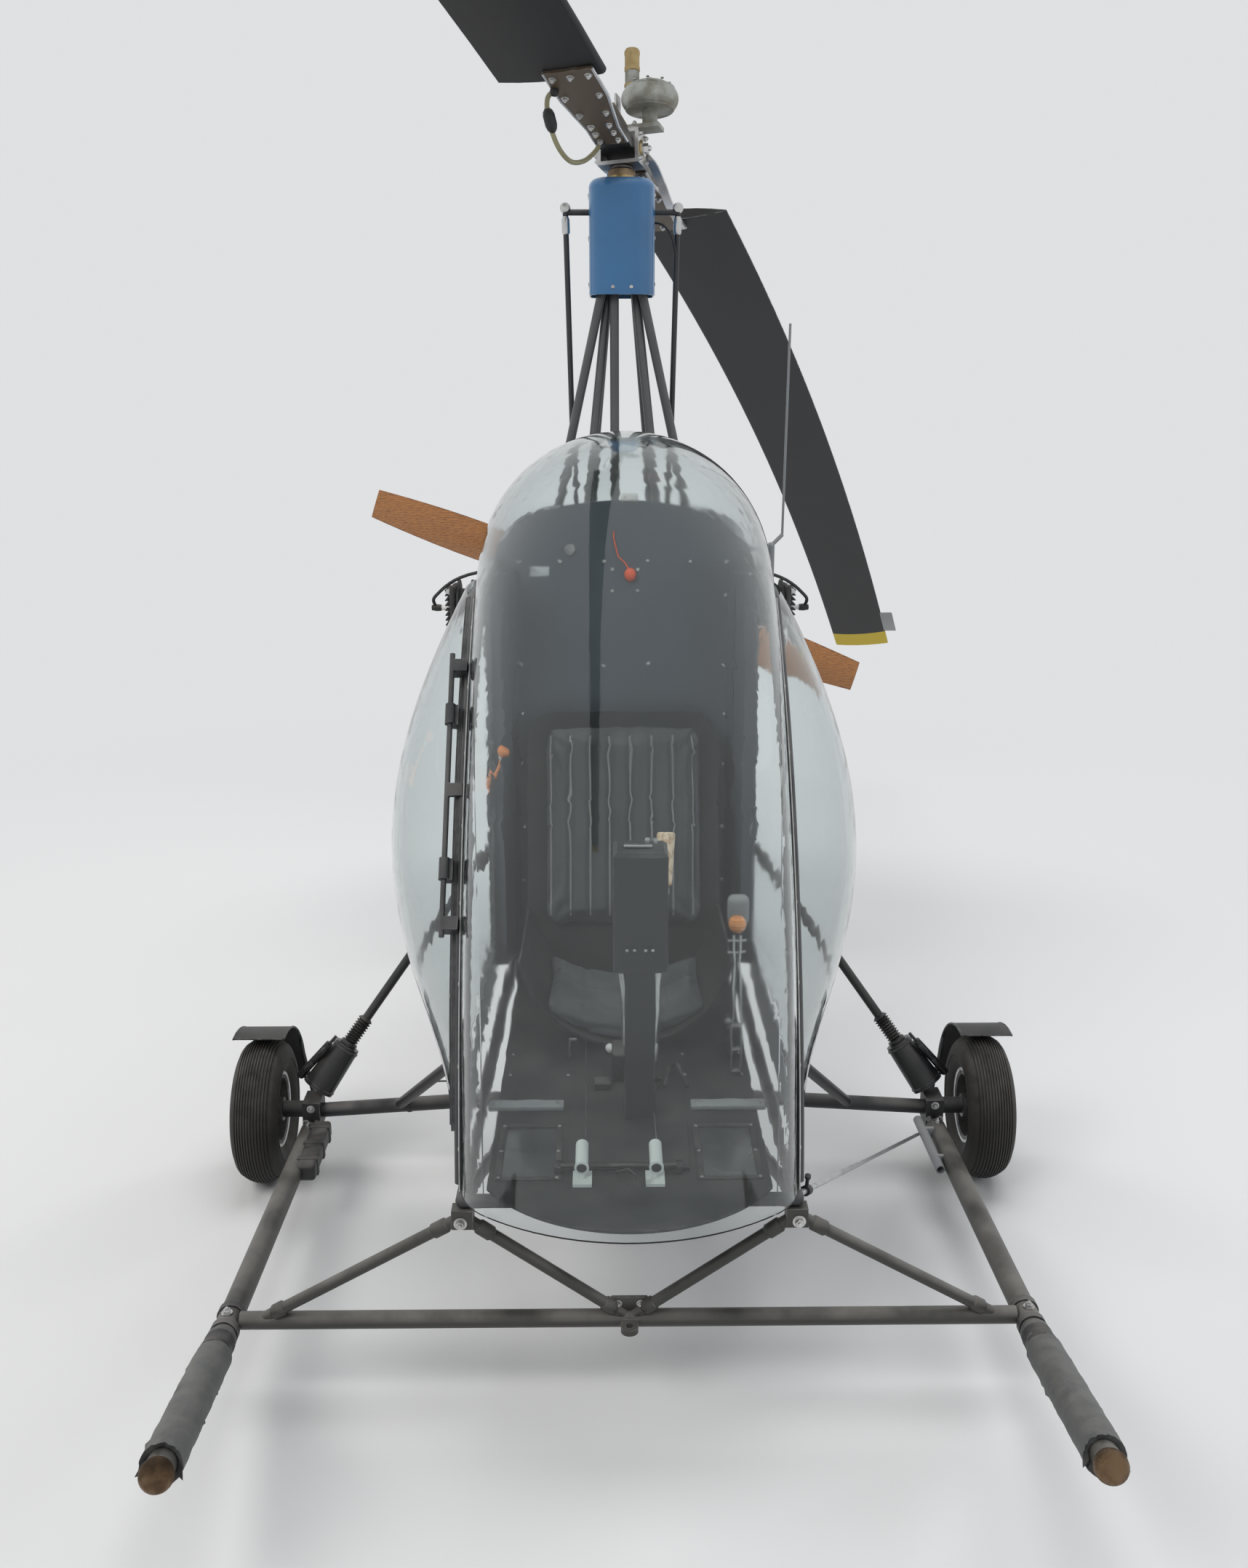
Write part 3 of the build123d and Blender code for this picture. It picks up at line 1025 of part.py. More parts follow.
# Blades and their root plates. Each blade droops in one long arc from its root.
for name, way in (("rear", 1), ("front", -1)):
    span, lead = hub_span * way, teeter_axis * way
    root = hub_point + span * BLADE_ROOT
    with BuildPart() as blade:
        with BuildSketch(Plane(origin=root, x_dir=lead, z_dir=span)):
            with BuildLine():
                nose, tail = BLADE_CHORD * LEAD_SHARE, -BLADE_CHORD * (1 - LEAD_SHARE)
                under = -HUB_SIZE[2] / 2
                upper = BLADE_THICK + under
                ThreePointArc((nose - 9, upper * 0.62), (nose, 0), (nose - 9, under * 0.8))
                ThreePointArc((nose - 9, under * 0.8), (nose - BLADE_CHORD * 0.36, under), (tail, -1))
                Line((tail, -1), (tail, 1))
                ThreePointArc((tail, 1), (nose - BLADE_CHORD * 0.36, upper), (nose - 9, upper * 0.62))
            make_face()
        turn = degrees((ROTOR_RADIUS - BLADE_ROOT) / BLADE_ARC)
        revolve(axis=Axis(root - hub_up * BLADE_ARC, lead), revolution_arc=turn)
    blade.part.label = f"rotor_blade_{name}"
    export_step(blade.part, f"parts/rotor_blade_{name}.step")

with BuildPart() as plates:
    for way in (1, -1):
        level = Plane(origin=hub_point, x_dir=hub_span * way, z_dir=hub_up)
        with BuildSketch(level.offset(-HUB_SIZE[2] / 2 - SEAT)):
            wide, narrow = PLATE_WIDE / 2, HUB_SIZE[1] / 2
            tip = BLADE_ROOT + PLATE_LAP
            Polygon((PLATE_START, narrow), (PLATE_FLARE, narrow), (BLADE_ROOT - 60, wide), (tip, wide),
                    (tip, -wide), (BLADE_ROOT - 60, -wide), (PLATE_FLARE, -narrow), (PLATE_START, -narrow),
                    align=None)
        extrude(amount=-PLATE_THICK)
        with BuildSketch(level.offset(HUB_SIZE[2] / 2 + SEAT)):
            with Locations(((PLATE_START + HUB_SIZE[0] / 2) / 2, 0)):
                Rectangle(HUB_SIZE[0] / 2 - PLATE_START, HUB_SIZE[1])
        extrude(amount=PLATE_THICK)
plates.part.label = "root_plates"
export_step(plates.part, "parts/root_plates.step")

# Engine: a flat twin with finned cylinders
with BuildPart() as case:
    with Locations((0, tray_middle, CRANK_Z)):
        Box(*CASE_SIZE)
    chamfer(case.edges().filter_by(Axis.Y), length=CASE_CHAMFER)
    nose_foot = (0, CASE_Y + CASE_SIZE[1], CRANK_Z)
    tube(nose_foot, (0, PROP_Y - PROP_HUB_DEPTH / 2 - NOSE_GAP, CRANK_Z), NOSE_RADIUS)
    tube(nose_foot, (0, PROP_Y + PROP_HUB_DEPTH / 2 + SHAFT_PROUD, CRANK_Z), SHAFT_RADIUS)
case.part.label = "engine_case"
export_step(case.part, "parts/engine_case.step")

with BuildPart() as cylinders:
    start = CASE_SIZE[0] / 2 + SEAT
    pitch = (CYLINDER_REACH - start) / FIN_COUNT
    tube((start, tray_middle, CRANK_Z), (CYLINDER_REACH, tray_middle, CRANK_Z), CYLINDER_RADIUS)
    for index in range(FIN_COUNT):
        x = start + (index + 1) * pitch
        tube((x - FIN_THICK, tray_middle, CRANK_Z), (x, tray_middle, CRANK_Z), FIN_RADIUS)
    mirror(about=Plane.YZ)
cylinders.part.label = "engine_cylinders"
export_step(cylinders.part, "parts/engine_cylinders.step")

# Propeller: two carved blades and a hub block, clamped between the flange and its front washer
turn = radians(PROP_REST)
prop_span = Vector(cos(turn), 0, sin(turn))
prop_axis = Vector(0, 1, 0)
prop_middle = Vector(0, PROP_Y, CRANK_Z)
# Columns: distance from the axis, chord, thickness, pitch angle
PROP_SECTIONS = ((34.0, 56.0, 38.0, 46.0), (150.0, 94.0, 27.0, 36.0), (390.0, 106.0, 15.0, 22.0),
                 (PROP_RADIUS, 74.0, 7.0, 15.0))
with BuildPart() as propeller:
    for way in (1, -1):
        blade_span = prop_span * way
        across = blade_span.cross(prop_axis)
        for reach, chord, thick, pitch in PROP_SECTIONS:
            chord_dir = across * cos(radians(pitch)) + prop_axis * sin(radians(pitch))
            section = Plane(origin=prop_middle + blade_span * reach, x_dir=chord_dir, z_dir=blade_span)
            with BuildSketch(section):
                with BuildLine():
                    ThreePointArc((-chord / 2, 0), (0, thick / 2), (chord / 2, 0))
                    ThreePointArc((chord / 2, 0), (0, -thick / 2), (-chord / 2, 0))
                make_face()
        loft()
    with Locations(Plane(origin=prop_middle, x_dir=prop_span, z_dir=prop_axis)):
        Cylinder(PROP_HUB_RADIUS, PROP_HUB_DEPTH)
        Cylinder(SHAFT_RADIUS + PLAY, PROP_HUB_DEPTH * 2, mode=Mode.SUBTRACT)
propeller.part.label = "propeller"
export_step(propeller.part, "parts/propeller.step")

# Fuel tank behind the seat
with BuildPart() as tank:
    with Locations((0, TANK_Y, TANK_Z)):
        Box(*TANK_SIZE)
    fillet(tank.edges().filter_by(Axis.X), radius=TANK_ROUND)
tank.part.label = "fuel_tank"
export_step(tank.part, "parts/fuel_tank.step")

# Tail: boom, fin, rudder, tailplane and a sprung skid
with BuildPart() as boom:
    tube((0, BOOM_FRONT, BOOM_Z), (0, BOOM_REAR, BOOM_Z), BOOM_RADIUS)
    with Locations((0, REAR_NODE[1], REAR_NODE[2] - TUBE - SEAT)):
        Box(60, 44, REAR_NODE[2] - TUBE - SEAT - BOOM_Z, align=(Align.CENTER, Align.CENTER, Align.MAX))
    with Locations((0, TIE_Y, BOOM_Z - BOOM_RADIUS - EYE_REACH)):
        Cylinder(EYE_RADIUS, EYE_WIDTH, rotation=(0, 90, 0))
        with Locations((0, 0, EYE_REACH / 2)):
            Box(EYE_WIDTH, EYE_RADIUS * 2, EYE_REACH + BOOM_RADIUS / 2)
        Cylinder(EYE_BORE, EYE_WIDTH, rotation=(0, 90, 0), mode=Mode.SUBTRACT)
boom.part.label = "tail_boom"
export_step(boom.part, "parts/tail_boom.step")

boom_top = BOOM_Z + BOOM_RADIUS
with BuildPart() as fin:
    with BuildSketch(Plane.YZ):
        with BuildLine():
            foot = boom_top + SEAT
            Polyline((FIN_REAR, foot), (FIN_FRONT, foot), (FIN_REAR - FIN_TOP_CHORD, FIN_TOP - 60))
            shoulder = (FIN_REAR - FIN_TOP_CHORD, FIN_TOP - 60)
            ThreePointArc(shoulder, (FIN_REAR - FIN_TOP_CHORD * 0.62, FIN_TOP - 14), (FIN_REAR, FIN_TOP))
            Line((FIN_REAR, FIN_TOP), (FIN_REAR, foot))
        make_face()
    extrude(amount=FIN_HALF_THICK, both=True)
    fillet(fin.faces().filter_by(Axis.X).edges().filter_by_position(Axis.Y, FIN_FRONT - 1, FIN_REAR - 8),
           radius=FIN_HALF_THICK * 0.6)
    for z in RUDDER_LUGS:
        with Locations((0, RUDDER_HINGE_Y, z)):
            Cylinder(RUDDER_EYE, EYE_THICK)
            Cylinder(RUDDER_PIN, EYE_THICK + PIN_REACH * 2)
        with Locations((0, (FIN_REAR + RUDDER_HINGE_Y) / 2 - 2, z)):
            Box(RUDDER_EYE * 1.4, RUDDER_HINGE_Y - FIN_REAR + 4, EYE_THICK)
fin.part.label = "tail_fin"
export_step(fin.part, "parts/tail_fin.step")

with BuildPart() as rudder:
    with BuildSketch(Plane.YZ):
        with BuildLine():
            foot = boom_top + RUDDER_CLEAR
            Polyline((RUDDER_HINGE_Y, FIN_TOP), (RUDDER_HINGE_Y, foot), (RUDDER_REAR - 60, foot))
            crown = (RUDDER_REAR - RUDDER_TOP_CUT, FIN_TOP - 40)
            ThreePointArc((RUDDER_REAR - 60, foot), (RUDDER_REAR, (foot + FIN_TOP) / 2), crown)
            Line(crown, (RUDDER_HINGE_Y, FIN_TOP))
        make_face()
    extrude(amount=RUDDER_HALF_THICK, both=True)
    with Locations((0, RUDDER_HINGE_Y, (foot + FIN_TOP) / 2)):
        Cylinder(RUDDER_HALF_THICK, FIN_TOP - foot)
    for z in RUDDER_LUGS:
        with Locations((0, RUDDER_HINGE_Y, z)):
            Cylinder(RUDDER_SLOT, EYE_THICK + SLOT_PLAY * 2, mode=Mode.SUBTRACT)
            Cylinder(RUDDER_PIN + PLAY, EYE_THICK + (PIN_REACH + SLOT_PLAY) * 2, mode=Mode.SUBTRACT)
rudder.part.label = "rudder"
export_step(rudder.part, "parts/rudder.step")

with BuildPart() as tailplane:
    with BuildSketch(Plane.XY.offset(boom_top + SEAT)):
        with Locations((0, PLANE_FRONT + PLANE_CHORD / 2)):
            RectangleRounded(PLANE_HALF_SPAN * 2, PLANE_CHORD, PLANE_CORNER)
    extrude(amount=PLANE_THICK)
    fillet(tailplane.faces().sort_by(Axis.Z)[-1].edges(), radius=PLANE_THICK * 0.6)
tailplane.part.label = "tailplane"
export_step(tailplane.part, "parts/tailplane.step")

with BuildPart() as tail_skid:
    boom_foot = BOOM_Z - BOOM_RADIUS - SEAT
    with BuildSketch(Plane.YZ):
        with BuildLine() as leaf:
            clamp = (SKID_SPRING_Y, boom_foot - LEAF_THICK / 2)
            ThreePointArc(clamp, SKID_SPRING_WAIST, (SHOE_Y, SHOE_SIZE[2]))
        trace(line_width=LEAF_THICK)
    extrude(amount=LEAF_WIDTH / 2, both=True)
    with Locations((0, SHOE_Y, 0)):
        Box(*SHOE_SIZE, align=(Align.CENTER, Align.CENTER, Align.MIN))
    with Locations((0, SKID_SPRING_Y - 24, boom_foot)):
        Box(LEAF_WIDTH, 70, LEAF_THICK, align=(Align.CENTER, Align.CENTER, Align.MAX))
tail_skid.part.label = "tail_skid"
export_step(tail_skid.part, "parts/tail_skid.step")
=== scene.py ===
"""Dresses a parked single-seat autogyro in its finishes, trim and soft goods, under plain studio light."""

import json
import logging
import random
from collections.abc import Sequence
from dataclasses import dataclass, field
from enum import Enum
from math import copysign, cos, exp, pi, radians, sin, sqrt

import bmesh
import bpy
from mathutils import Matrix, Vector

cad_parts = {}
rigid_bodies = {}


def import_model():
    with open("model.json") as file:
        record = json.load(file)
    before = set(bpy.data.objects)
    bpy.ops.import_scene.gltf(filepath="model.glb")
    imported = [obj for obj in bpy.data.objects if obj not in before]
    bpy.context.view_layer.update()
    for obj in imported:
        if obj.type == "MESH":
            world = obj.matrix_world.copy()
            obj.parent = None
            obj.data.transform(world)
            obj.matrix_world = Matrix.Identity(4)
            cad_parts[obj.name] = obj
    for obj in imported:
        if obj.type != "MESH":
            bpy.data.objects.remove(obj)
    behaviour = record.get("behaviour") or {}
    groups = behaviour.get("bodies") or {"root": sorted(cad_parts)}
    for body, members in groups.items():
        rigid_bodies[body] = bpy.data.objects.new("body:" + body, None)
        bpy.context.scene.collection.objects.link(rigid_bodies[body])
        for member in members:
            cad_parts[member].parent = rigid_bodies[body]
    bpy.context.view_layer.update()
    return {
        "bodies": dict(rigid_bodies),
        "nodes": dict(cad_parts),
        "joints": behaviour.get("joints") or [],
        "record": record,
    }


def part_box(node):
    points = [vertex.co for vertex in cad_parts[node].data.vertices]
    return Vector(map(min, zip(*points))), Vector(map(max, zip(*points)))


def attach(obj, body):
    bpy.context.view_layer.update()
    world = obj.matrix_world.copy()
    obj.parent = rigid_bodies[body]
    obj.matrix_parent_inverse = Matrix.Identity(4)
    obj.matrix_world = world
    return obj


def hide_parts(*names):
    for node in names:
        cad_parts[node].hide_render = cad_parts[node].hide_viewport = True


log = logging.getLogger("autogyro")

Point = tuple[float, float, float]
Colour = tuple[float, float, float]
Place = Sequence[float]
Route = Sequence[Place]
Profile = Sequence[tuple[float, float]]
Tree = bpy.types.NodeTree
Node = bpy.types.Node
Socket = bpy.types.NodeSocket

LEFT: Point = (1.0, 0.0, 0.0)
RIGHT: Point = (-1.0, 0.0, 0.0)
FORWARD: Point = (0.0, -1.0, 0.0)
AFT: Point = (0.0, 1.0, 0.0)
UP: Point = (0.0, 0.0, 1.0)
DOWN: Point = (0.0, 0.0, -1.0)


class Body(Enum):
    """The bodies that pieces ride on."""

    AIRFRAME = "airframe"
    DOOR = "door"
    SPINDLE = "rotor_spindle"
    ROTOR = "rotor"
    PROPELLER = "propeller"
    RUDDER = "rudder"
    WHEEL_LEFT = "wheel_left"
    WHEEL_RIGHT = "wheel_right"


# Shader effects


def put(tree: Tree, kind: str, inputs: dict | None = None, **options: object) -> Node:
    """Adds a node to a tree.

    Args:
        tree: The material's or the group's node tree.
        kind: The node's type name, without what all of them start with.
        inputs: Values or output sockets for its inputs, by name or number.
        **options: The node's own settings.

    Returns:
        The new node.
    """
    node = tree.nodes.new(f"ShaderNode{kind}")
    for name, value in options.items():
        setattr(node, name, value)
    for name, value in (inputs or {}).items():
        if isinstance(value, Socket):
            tree.links.new(value, node.inputs[name])
        else:
            node.inputs[name].default_value = value
    return node


def ramp(tree: Tree, value: Socket, low: float, high: float, start: float = 0.0, end: float = 1.0) -> Socket:
    """Maps a value from low and high to start and end, smoothly and clamped."""
    return put(tree, "MapRange", {"Value": value, "From Min": low, "From Max": high, "To Min": start, "To Max": end},
               interpolation_type="SMOOTHSTEP").outputs["Result"]


def maths(tree: Tree, operation: str, first: object, second: object) -> Socket:
    """Works on two values and gives the result's socket."""
    return put(tree, "Math", {0: first, 1: second}, operation=operation).outputs[0]


def own_place(tree: Tree) -> Socket:
    """Gives the socket of the piece's own coordinates."""
    return put(tree, "TexCoord").outputs["Object"]


def noise(tree: Tree, place: Socket, scale: object, detail: float, **more: float) -> Socket:
    """Gives the socket of a cloudy noise."""
    return put(tree, "TexNoise", {"Vector": place, "Scale": scale, "Detail": detail, **more}).outputs["Fac"]


def blended(tree: Tree, share: object, first: object, second: object) -> Socket:
    """Mixes two colours by a share and gives the mixed colour's socket."""
    node = put(tree, "Mix", data_type="RGBA")
    for name, value in (("Factor_Float", share), ("A_Color", first), ("B_Color", second)):
        target = next(s for s in node.inputs if s.identifier == name)
        if isinstance(value, Socket):
            tree.links.new(value, target)
        else:
            target.default_value = (*value, 1.0) if isinstance(value, tuple) and len(value) == 3 else value
    return next(s for s in node.outputs if s.identifier == "Result_Color")


class Effect(Enum):
    """Shader effects that more than one finish uses."""

    EDGE_WEAR = "edge_wear"
    DUST = "settled_dust"
    MOTTLE = "mottled_tone"
    GRAIN = "wood_grain"
    WEAVE = "cloth_weave"
    PEBBLE = "pebbled_surface"
    BRUSH = "brushed_lines"


class EffectShelf:
    """Builds each effect's node group once and hands it to the materials."""

    def __init__(self) -> None:
        """Starts with an empty shelf."""
        self.groups: dict[Effect, Tree] = {}

    def place(self, tree: Tree, effect: Effect, **values: object) -> Node:
        """Puts an effect's group into a material.

        Args:
            tree: The material's node tree.
            effect: The effect wanted.
            **values: Its inputs by name.

        Returns:
            The group node.
        """
        if effect not in self.groups:
            self.groups[effect] = getattr(self, f"_build_{effect.value}")()
        node = put(tree, "Group")
        node.node_tree = self.groups[effect]
        for name, value in values.items():
            socket = node.inputs[name]
            socket.default_value = (*value, 1.0) if socket.type == "RGBA" else value
        return node

    @staticmethod
    def _group(name: str, inputs: dict[str, object], *outputs: str) -> tuple[Tree, dict[str, Socket], Node]:
        """Starts a node group.

        Args:
            name: The group's name.
            inputs: The default of each input: a number, a vector or a colour with its alpha.
            *outputs: The outputs' names; Colour is a colour and the others are numbers.

        Returns:
            The tree, the sockets that bring the inputs, and the output node.
        """
        tree = bpy.data.node_groups.new(name, "ShaderNodeTree")
        for title, default in inputs.items():
            kind = {3: "Vector", 4: "Color"}[len(default)] if isinstance(default, tuple) else "Float"
            socket = tree.interface.new_socket(title, in_out="INPUT", socket_type=f"NodeSocket{kind}")
            socket.default_value = default
        for title in outputs:
            kind = "Color" if title == "Colour" else "Float"
            tree.interface.new_socket(title, in_out="OUTPUT", socket_type=f"NodeSocket{kind}")
        return tree, tree.nodes.new("NodeGroupInput").outputs, tree.nodes.new("NodeGroupOutput")

    def _build_edge_wear(self) -> Tree:
        """Marks a band along sharp edges, broken up by noise."""
        tree, given, out = self._group("edge_wear", {"Width": 0.002, "Amount": 0.5}, "Mask")
        soft = put(tree, "Bevel", {"Radius": given["Width"]}, samples=4)
        plain = put(tree, "NewGeometry")
        same = put(tree, "VectorMath", {0: soft.outputs[0], 1: plain.outputs["Normal"]}, operation="DOT_PRODUCT")
        clouds = noise(tree, own_place(tree), 60.0, 4.0)
        edge = ramp(tree, same.outputs["Value"], 0.995, 0.9)
        worn = maths(tree, "MULTIPLY", edge, ramp(tree, clouds, 0.42, 0.62))
        tree.links.new(maths(tree, "MULTIPLY", worn, given["Amount"]), out.inputs["Mask"])
        return tree

    def _build_settled_dust(self) -> Tree:
        """Marks where dust lies on faces that look up."""
        tree, given, out = self._group("settled_dust", {"Amount": 0.4, "Scale": 9.0}, "Mask")
        parts = put(tree, "SeparateXYZ", {0: put(tree, "NewGeometry").outputs["Normal"]})
        clouds = noise(tree, own_place(tree), given["Scale"], 6.0)
        patchy = maths(tree, "MULTIPLY", ramp(tree, parts.outputs["Z"], -0.1, 0.9), ramp(tree, clouds, 0.25, 0.75))
        tree.links.new(maths(tree, "MULTIPLY", patchy, given["Amount"]), out.inputs["Mask"])
        return tree

    def _build_mottled_tone(self) -> Tree:
        """Varies a colour gently in large and small patches."""
        tree, given, out = self._group(
            "mottled_tone", {"Colour": (0.5, 0.5, 0.5, 1.0), "Shift": 0.15, "Scale": 6.0}, "Colour", "Height")
        clouds = noise(tree, own_place(tree), given["Scale"], 8.0, Roughness=0.6)
        swing = maths(tree, "MULTIPLY", maths(tree, "SUBTRACT", clouds, 0.5), given["Shift"])
        gain = maths(tree, "ADD", maths(tree, "MULTIPLY", swing, 2.0), 1.0)
        scaled = put(tree, "VectorMath", {0: given["Colour"], "Scale": gain}, operation="SCALE")
        tree.links.new(scaled.outputs["Vector"], out.inputs["Colour"])
        tree.links.new(clouds, out.inputs["Height"])
        return tree

    def _build_wood_grain(self) -> Tree:
        """Draws wavy annual rings that run along one axis."""
        tree, given, out = self._group(
            "wood_grain", {"Pale": (0.6, 0.35, 0.15, 1.0), "Dark": (0.3, 0.12, 0.04, 1.0),
                           "Stretch": (1.0, 1.0, 12.0), "Turn": (0.0, 0.0, 0.0)}, "Colour", "Height")
        turned = put(tree, "Mapping", {"Vector": own_place(tree), "Rotation": given["Turn"],
                                       "Scale": given["Stretch"]}).outputs[0]
        rings = put(tree, "TexWave", {"Vector": turned, "Scale": 6.0, "Distortion": 6.0, "Detail": 4.0,
                                      "Detail Scale": 2.0}, wave_type="BANDS", bands_direction="Z")
        mix = maths(tree, "MULTIPLY", rings.outputs["Fac"], noise(tree, turned, 30.0, 6.0))
        tree.links.new(blended(tree, ramp(tree, mix, 0.1, 0.55), given["Pale"], given["Dark"]), out.inputs["Colour"])
        tree.links.new(mix, out.inputs["Height"])
        return tree

    def _build_cloth_weave(self) -> Tree:
        """Crosses two sets of threads in the piece's own directions."""
        tree, given, out = self._group("cloth_weave", {"Threads": 600.0}, "Height")
        place = own_place(tree)
        waves = [put(tree, "TexWave", {"Vector": place, "Scale": given["Threads"], "Distortion": 0.6, "Detail": 1.0},
                     wave_type="BANDS", bands_direction=way).outputs["Fac"] for way in "XZ"]
        tree.links.new(maths(tree, "MAXIMUM", *waves), out.inputs["Height"])
        return tree

    def _build_pebbled_surface(self) -> Tree:
        """Gives a cast, moulded or wrapped surface its small lumps."""
        tree, given, out = self._group("pebbled_surface", {"Scale": 300.0}, "Height")
        place = own_place(tree)
        lumps = put(tree, "TexVoronoi", {"Vector": place, "Scale": given["Scale"]}, feature="SMOOTH_F1")
        fine = noise(tree, place, given["Scale"], 5.0)
        tree.links.new(maths(tree, "ADD", lumps.outputs["Distance"], fine), out.inputs["Height"])
        return tree

    def _build_brushed_lines(self) -> Tree:
        """Stretches noise into the fine lines of drawn or turned metal."""
        tree, given, out = self._group("brushed_lines", {"Stretch": (200.0, 200.0, 4.0)}, "Height", "Mask")
        place = own_place(tree)
        drawn = put(tree, "Mapping", {"Vector": place, "Scale": given["Stretch"]})
        tree.links.new(noise(tree, drawn.outputs[0], 4.0, 5.0), out.inputs["Height"])
        tree.links.new(ramp(tree, noise(tree, place, 22.0, 5.0), 0.35, 0.7), out.inputs["Mask"])
        return tree


EFFECTS = EffectShelf()


@dataclass(frozen=True)
class Finish:
    """What every finish has: its name, its main colour and how dull it is."""

    name: str
    colour: Colour
    roughness: float = 0.45

    def material(self) -> bpy.types.Material:
        """Gives the finish's material, and makes it the first time."""
        made = bpy.data.materials.get(self.name)
        if made is None:
            made = bpy.data.materials.new(self.name)
            made.use_nodes = True
            shader = made.node_tree.nodes["Principled BSDF"]
            self._set(shader, {"Roughness": self.roughness})
            self._dress(made.node_tree, shader)
        return made

    def _dress(self, tree: Tree, shader: Node) -> None:
        """Adds the finish's own nodes; each kind of finish has its own."""
        raise NotImplementedError

    @staticmethod
    def _set(shader: Node, values: dict[str, object]) -> None:
        """Sets or links inputs of the shader by name."""
        for name, value in values.items():
            if isinstance(value, Socket):
                shader.id_data.links.new(value, shader.inputs[name])
            else:
                shader.inputs[name].default_value = value

    def _tone(self, tree: Tree, shift: float, scale: float) -> tuple[Socket, Socket]:
        """Gives the main colour in gentle patches, and the patches' height."""
        tone = EFFECTS.place(tree, Effect.MOTTLE, Colour=self.colour, Shift=shift, Scale=scale)
        return tone.outputs["Colour"], tone.outputs["Height"]

    @staticmethod
    def _mask(tree: Tree, effect: Effect, **values: float) -> Socket:
        """Gives the mask of an effect."""
        return EFFECTS.place(tree, effect, **values).outputs["Mask"]

    def _bump(self, shader: Node, height: Socket, depth: float, strength: float) -> None:
        """Feeds a height to the shader's normal.

        Args:
            shader: The shader that is bumped.
            height: The height's socket.
            depth: The bump's depth in metres.
            strength: How strongly it shows.
        """
        bump = put(shader.id_data, "Bump", {"Height": height, "Distance": depth, "Strength": strength})
        self._set(shader, {"Normal": bump.outputs["Normal"]})


@dataclass(frozen=True)
class Paint(Finish):
    """Paint over metal, worn through to a second colour along the edges and dusty on top."""

    worn_colour: Colour = (0.3, 0.3, 0.31)
    wear: float = 0.5
    wear_width: float = 0.0025
    dust: float = 0.25
    dust_colour: Colour = (0.42, 0.4, 0.37)
    shift: float = 0.12
    coat: float = 0.0
    ripple: float = 0.00012

    def _dress(self, tree: Tree, shader: Node) -> None:
        """Mixes tone, wear and dust."""
        tone, height = self._tone(tree, self.shift, 7.0)
        wear = self._mask(tree, Effect.EDGE_WEAR, Width=self.wear_width, Amount=self.wear)
        dust = self._mask(tree, Effect.DUST, Amount=self.dust, Scale=11.0)
        worn = blended(tree, wear, tone, self.worn_colour)
        dull = ramp(tree, dust, 0.0, 0.6, self.roughness, min(0.95, self.roughness + 0.4))
        self._set(shader, {"Base Color": blended(tree, dust, worn, self.dust_colour), "Roughness": dull,
                           "Coat Weight": self.coat, "Coat Roughness": 0.08})
        self._bump(shader, height, self.ripple, 0.35)


@dataclass(frozen=True)
class Metal(Finish):
    """Bare metal with drawn lines and darker patches."""

    tarnish: Colour = (0.16, 0.15, 0.14)
    tarnish_share: float = 0.35
    stretch: Point = (200.0, 200.0, 4.0)
    lines: float = 0.00015
    lumps: float = 0.0

    def _dress(self, tree: Tree, shader: Node) -> None:
        """Mixes clean and tarnished metal."""
        brush = EFFECTS.place(tree, Effect.BRUSH, Stretch=self.stretch)
        tone, _ = self._tone(tree, 0.18, 30.0)
        share = maths(tree, "MULTIPLY", brush.outputs["Mask"], self.tarnish_share)
        dull = ramp(tree, share, 0.0, 0.5, self.roughness, min(0.9, self.roughness + 0.3))
        self._set(shader, {"Metallic": 1.0, "Base Color": blended(tree, share, tone, self.tarnish),
                           "Roughness": dull})
        if self.lumps:
            lumps = EFFECTS.place(tree, Effect.PEBBLE, Scale=420.0)
            self._bump(shader, lumps.outputs["Height"], self.lumps, 0.7)
        else:
            self._bump(shader, brush.outputs["Height"], self.lines, 0.4)


@dataclass(frozen=True)
class ClearPanel(Finish):
    """Blown clear acrylic that lets lamp light through to what is behind it."""

    tint: Colour = (0.86, 0.9, 0.9)

    def _dress(self, tree: Tree, shader: Node) -> None:
        """Makes the shader clear and takes its own shadow away."""
        haze = noise(tree, own_place(tree), 5.0, 7.0)
        self._set(shader, {"Base Color": (*self.tint, 1.0), "Transmission Weight": 1.0, "IOR": 1.46,
                           "Roughness": ramp(tree, haze, 0.3, 0.8, self.roughness, self.roughness + 0.05)})
        self._bump(shader, noise(tree, own_place(tree), 2.2, 1.0), 0.004, 0.18)
        open_air = put(tree, "BsdfTransparent", {"Color": (0.9, 0.92, 0.92, 1.0)})
        shadow = put(tree, "LightPath").outputs["Is Shadow Ray"]
        chosen = put(tree, "MixShader", {0: shadow, 1: shader.outputs[0], 2: open_air.outputs[0]})
        tree.links.new(chosen.outputs[0], tree.nodes["Material Output"].inputs["Surface"])


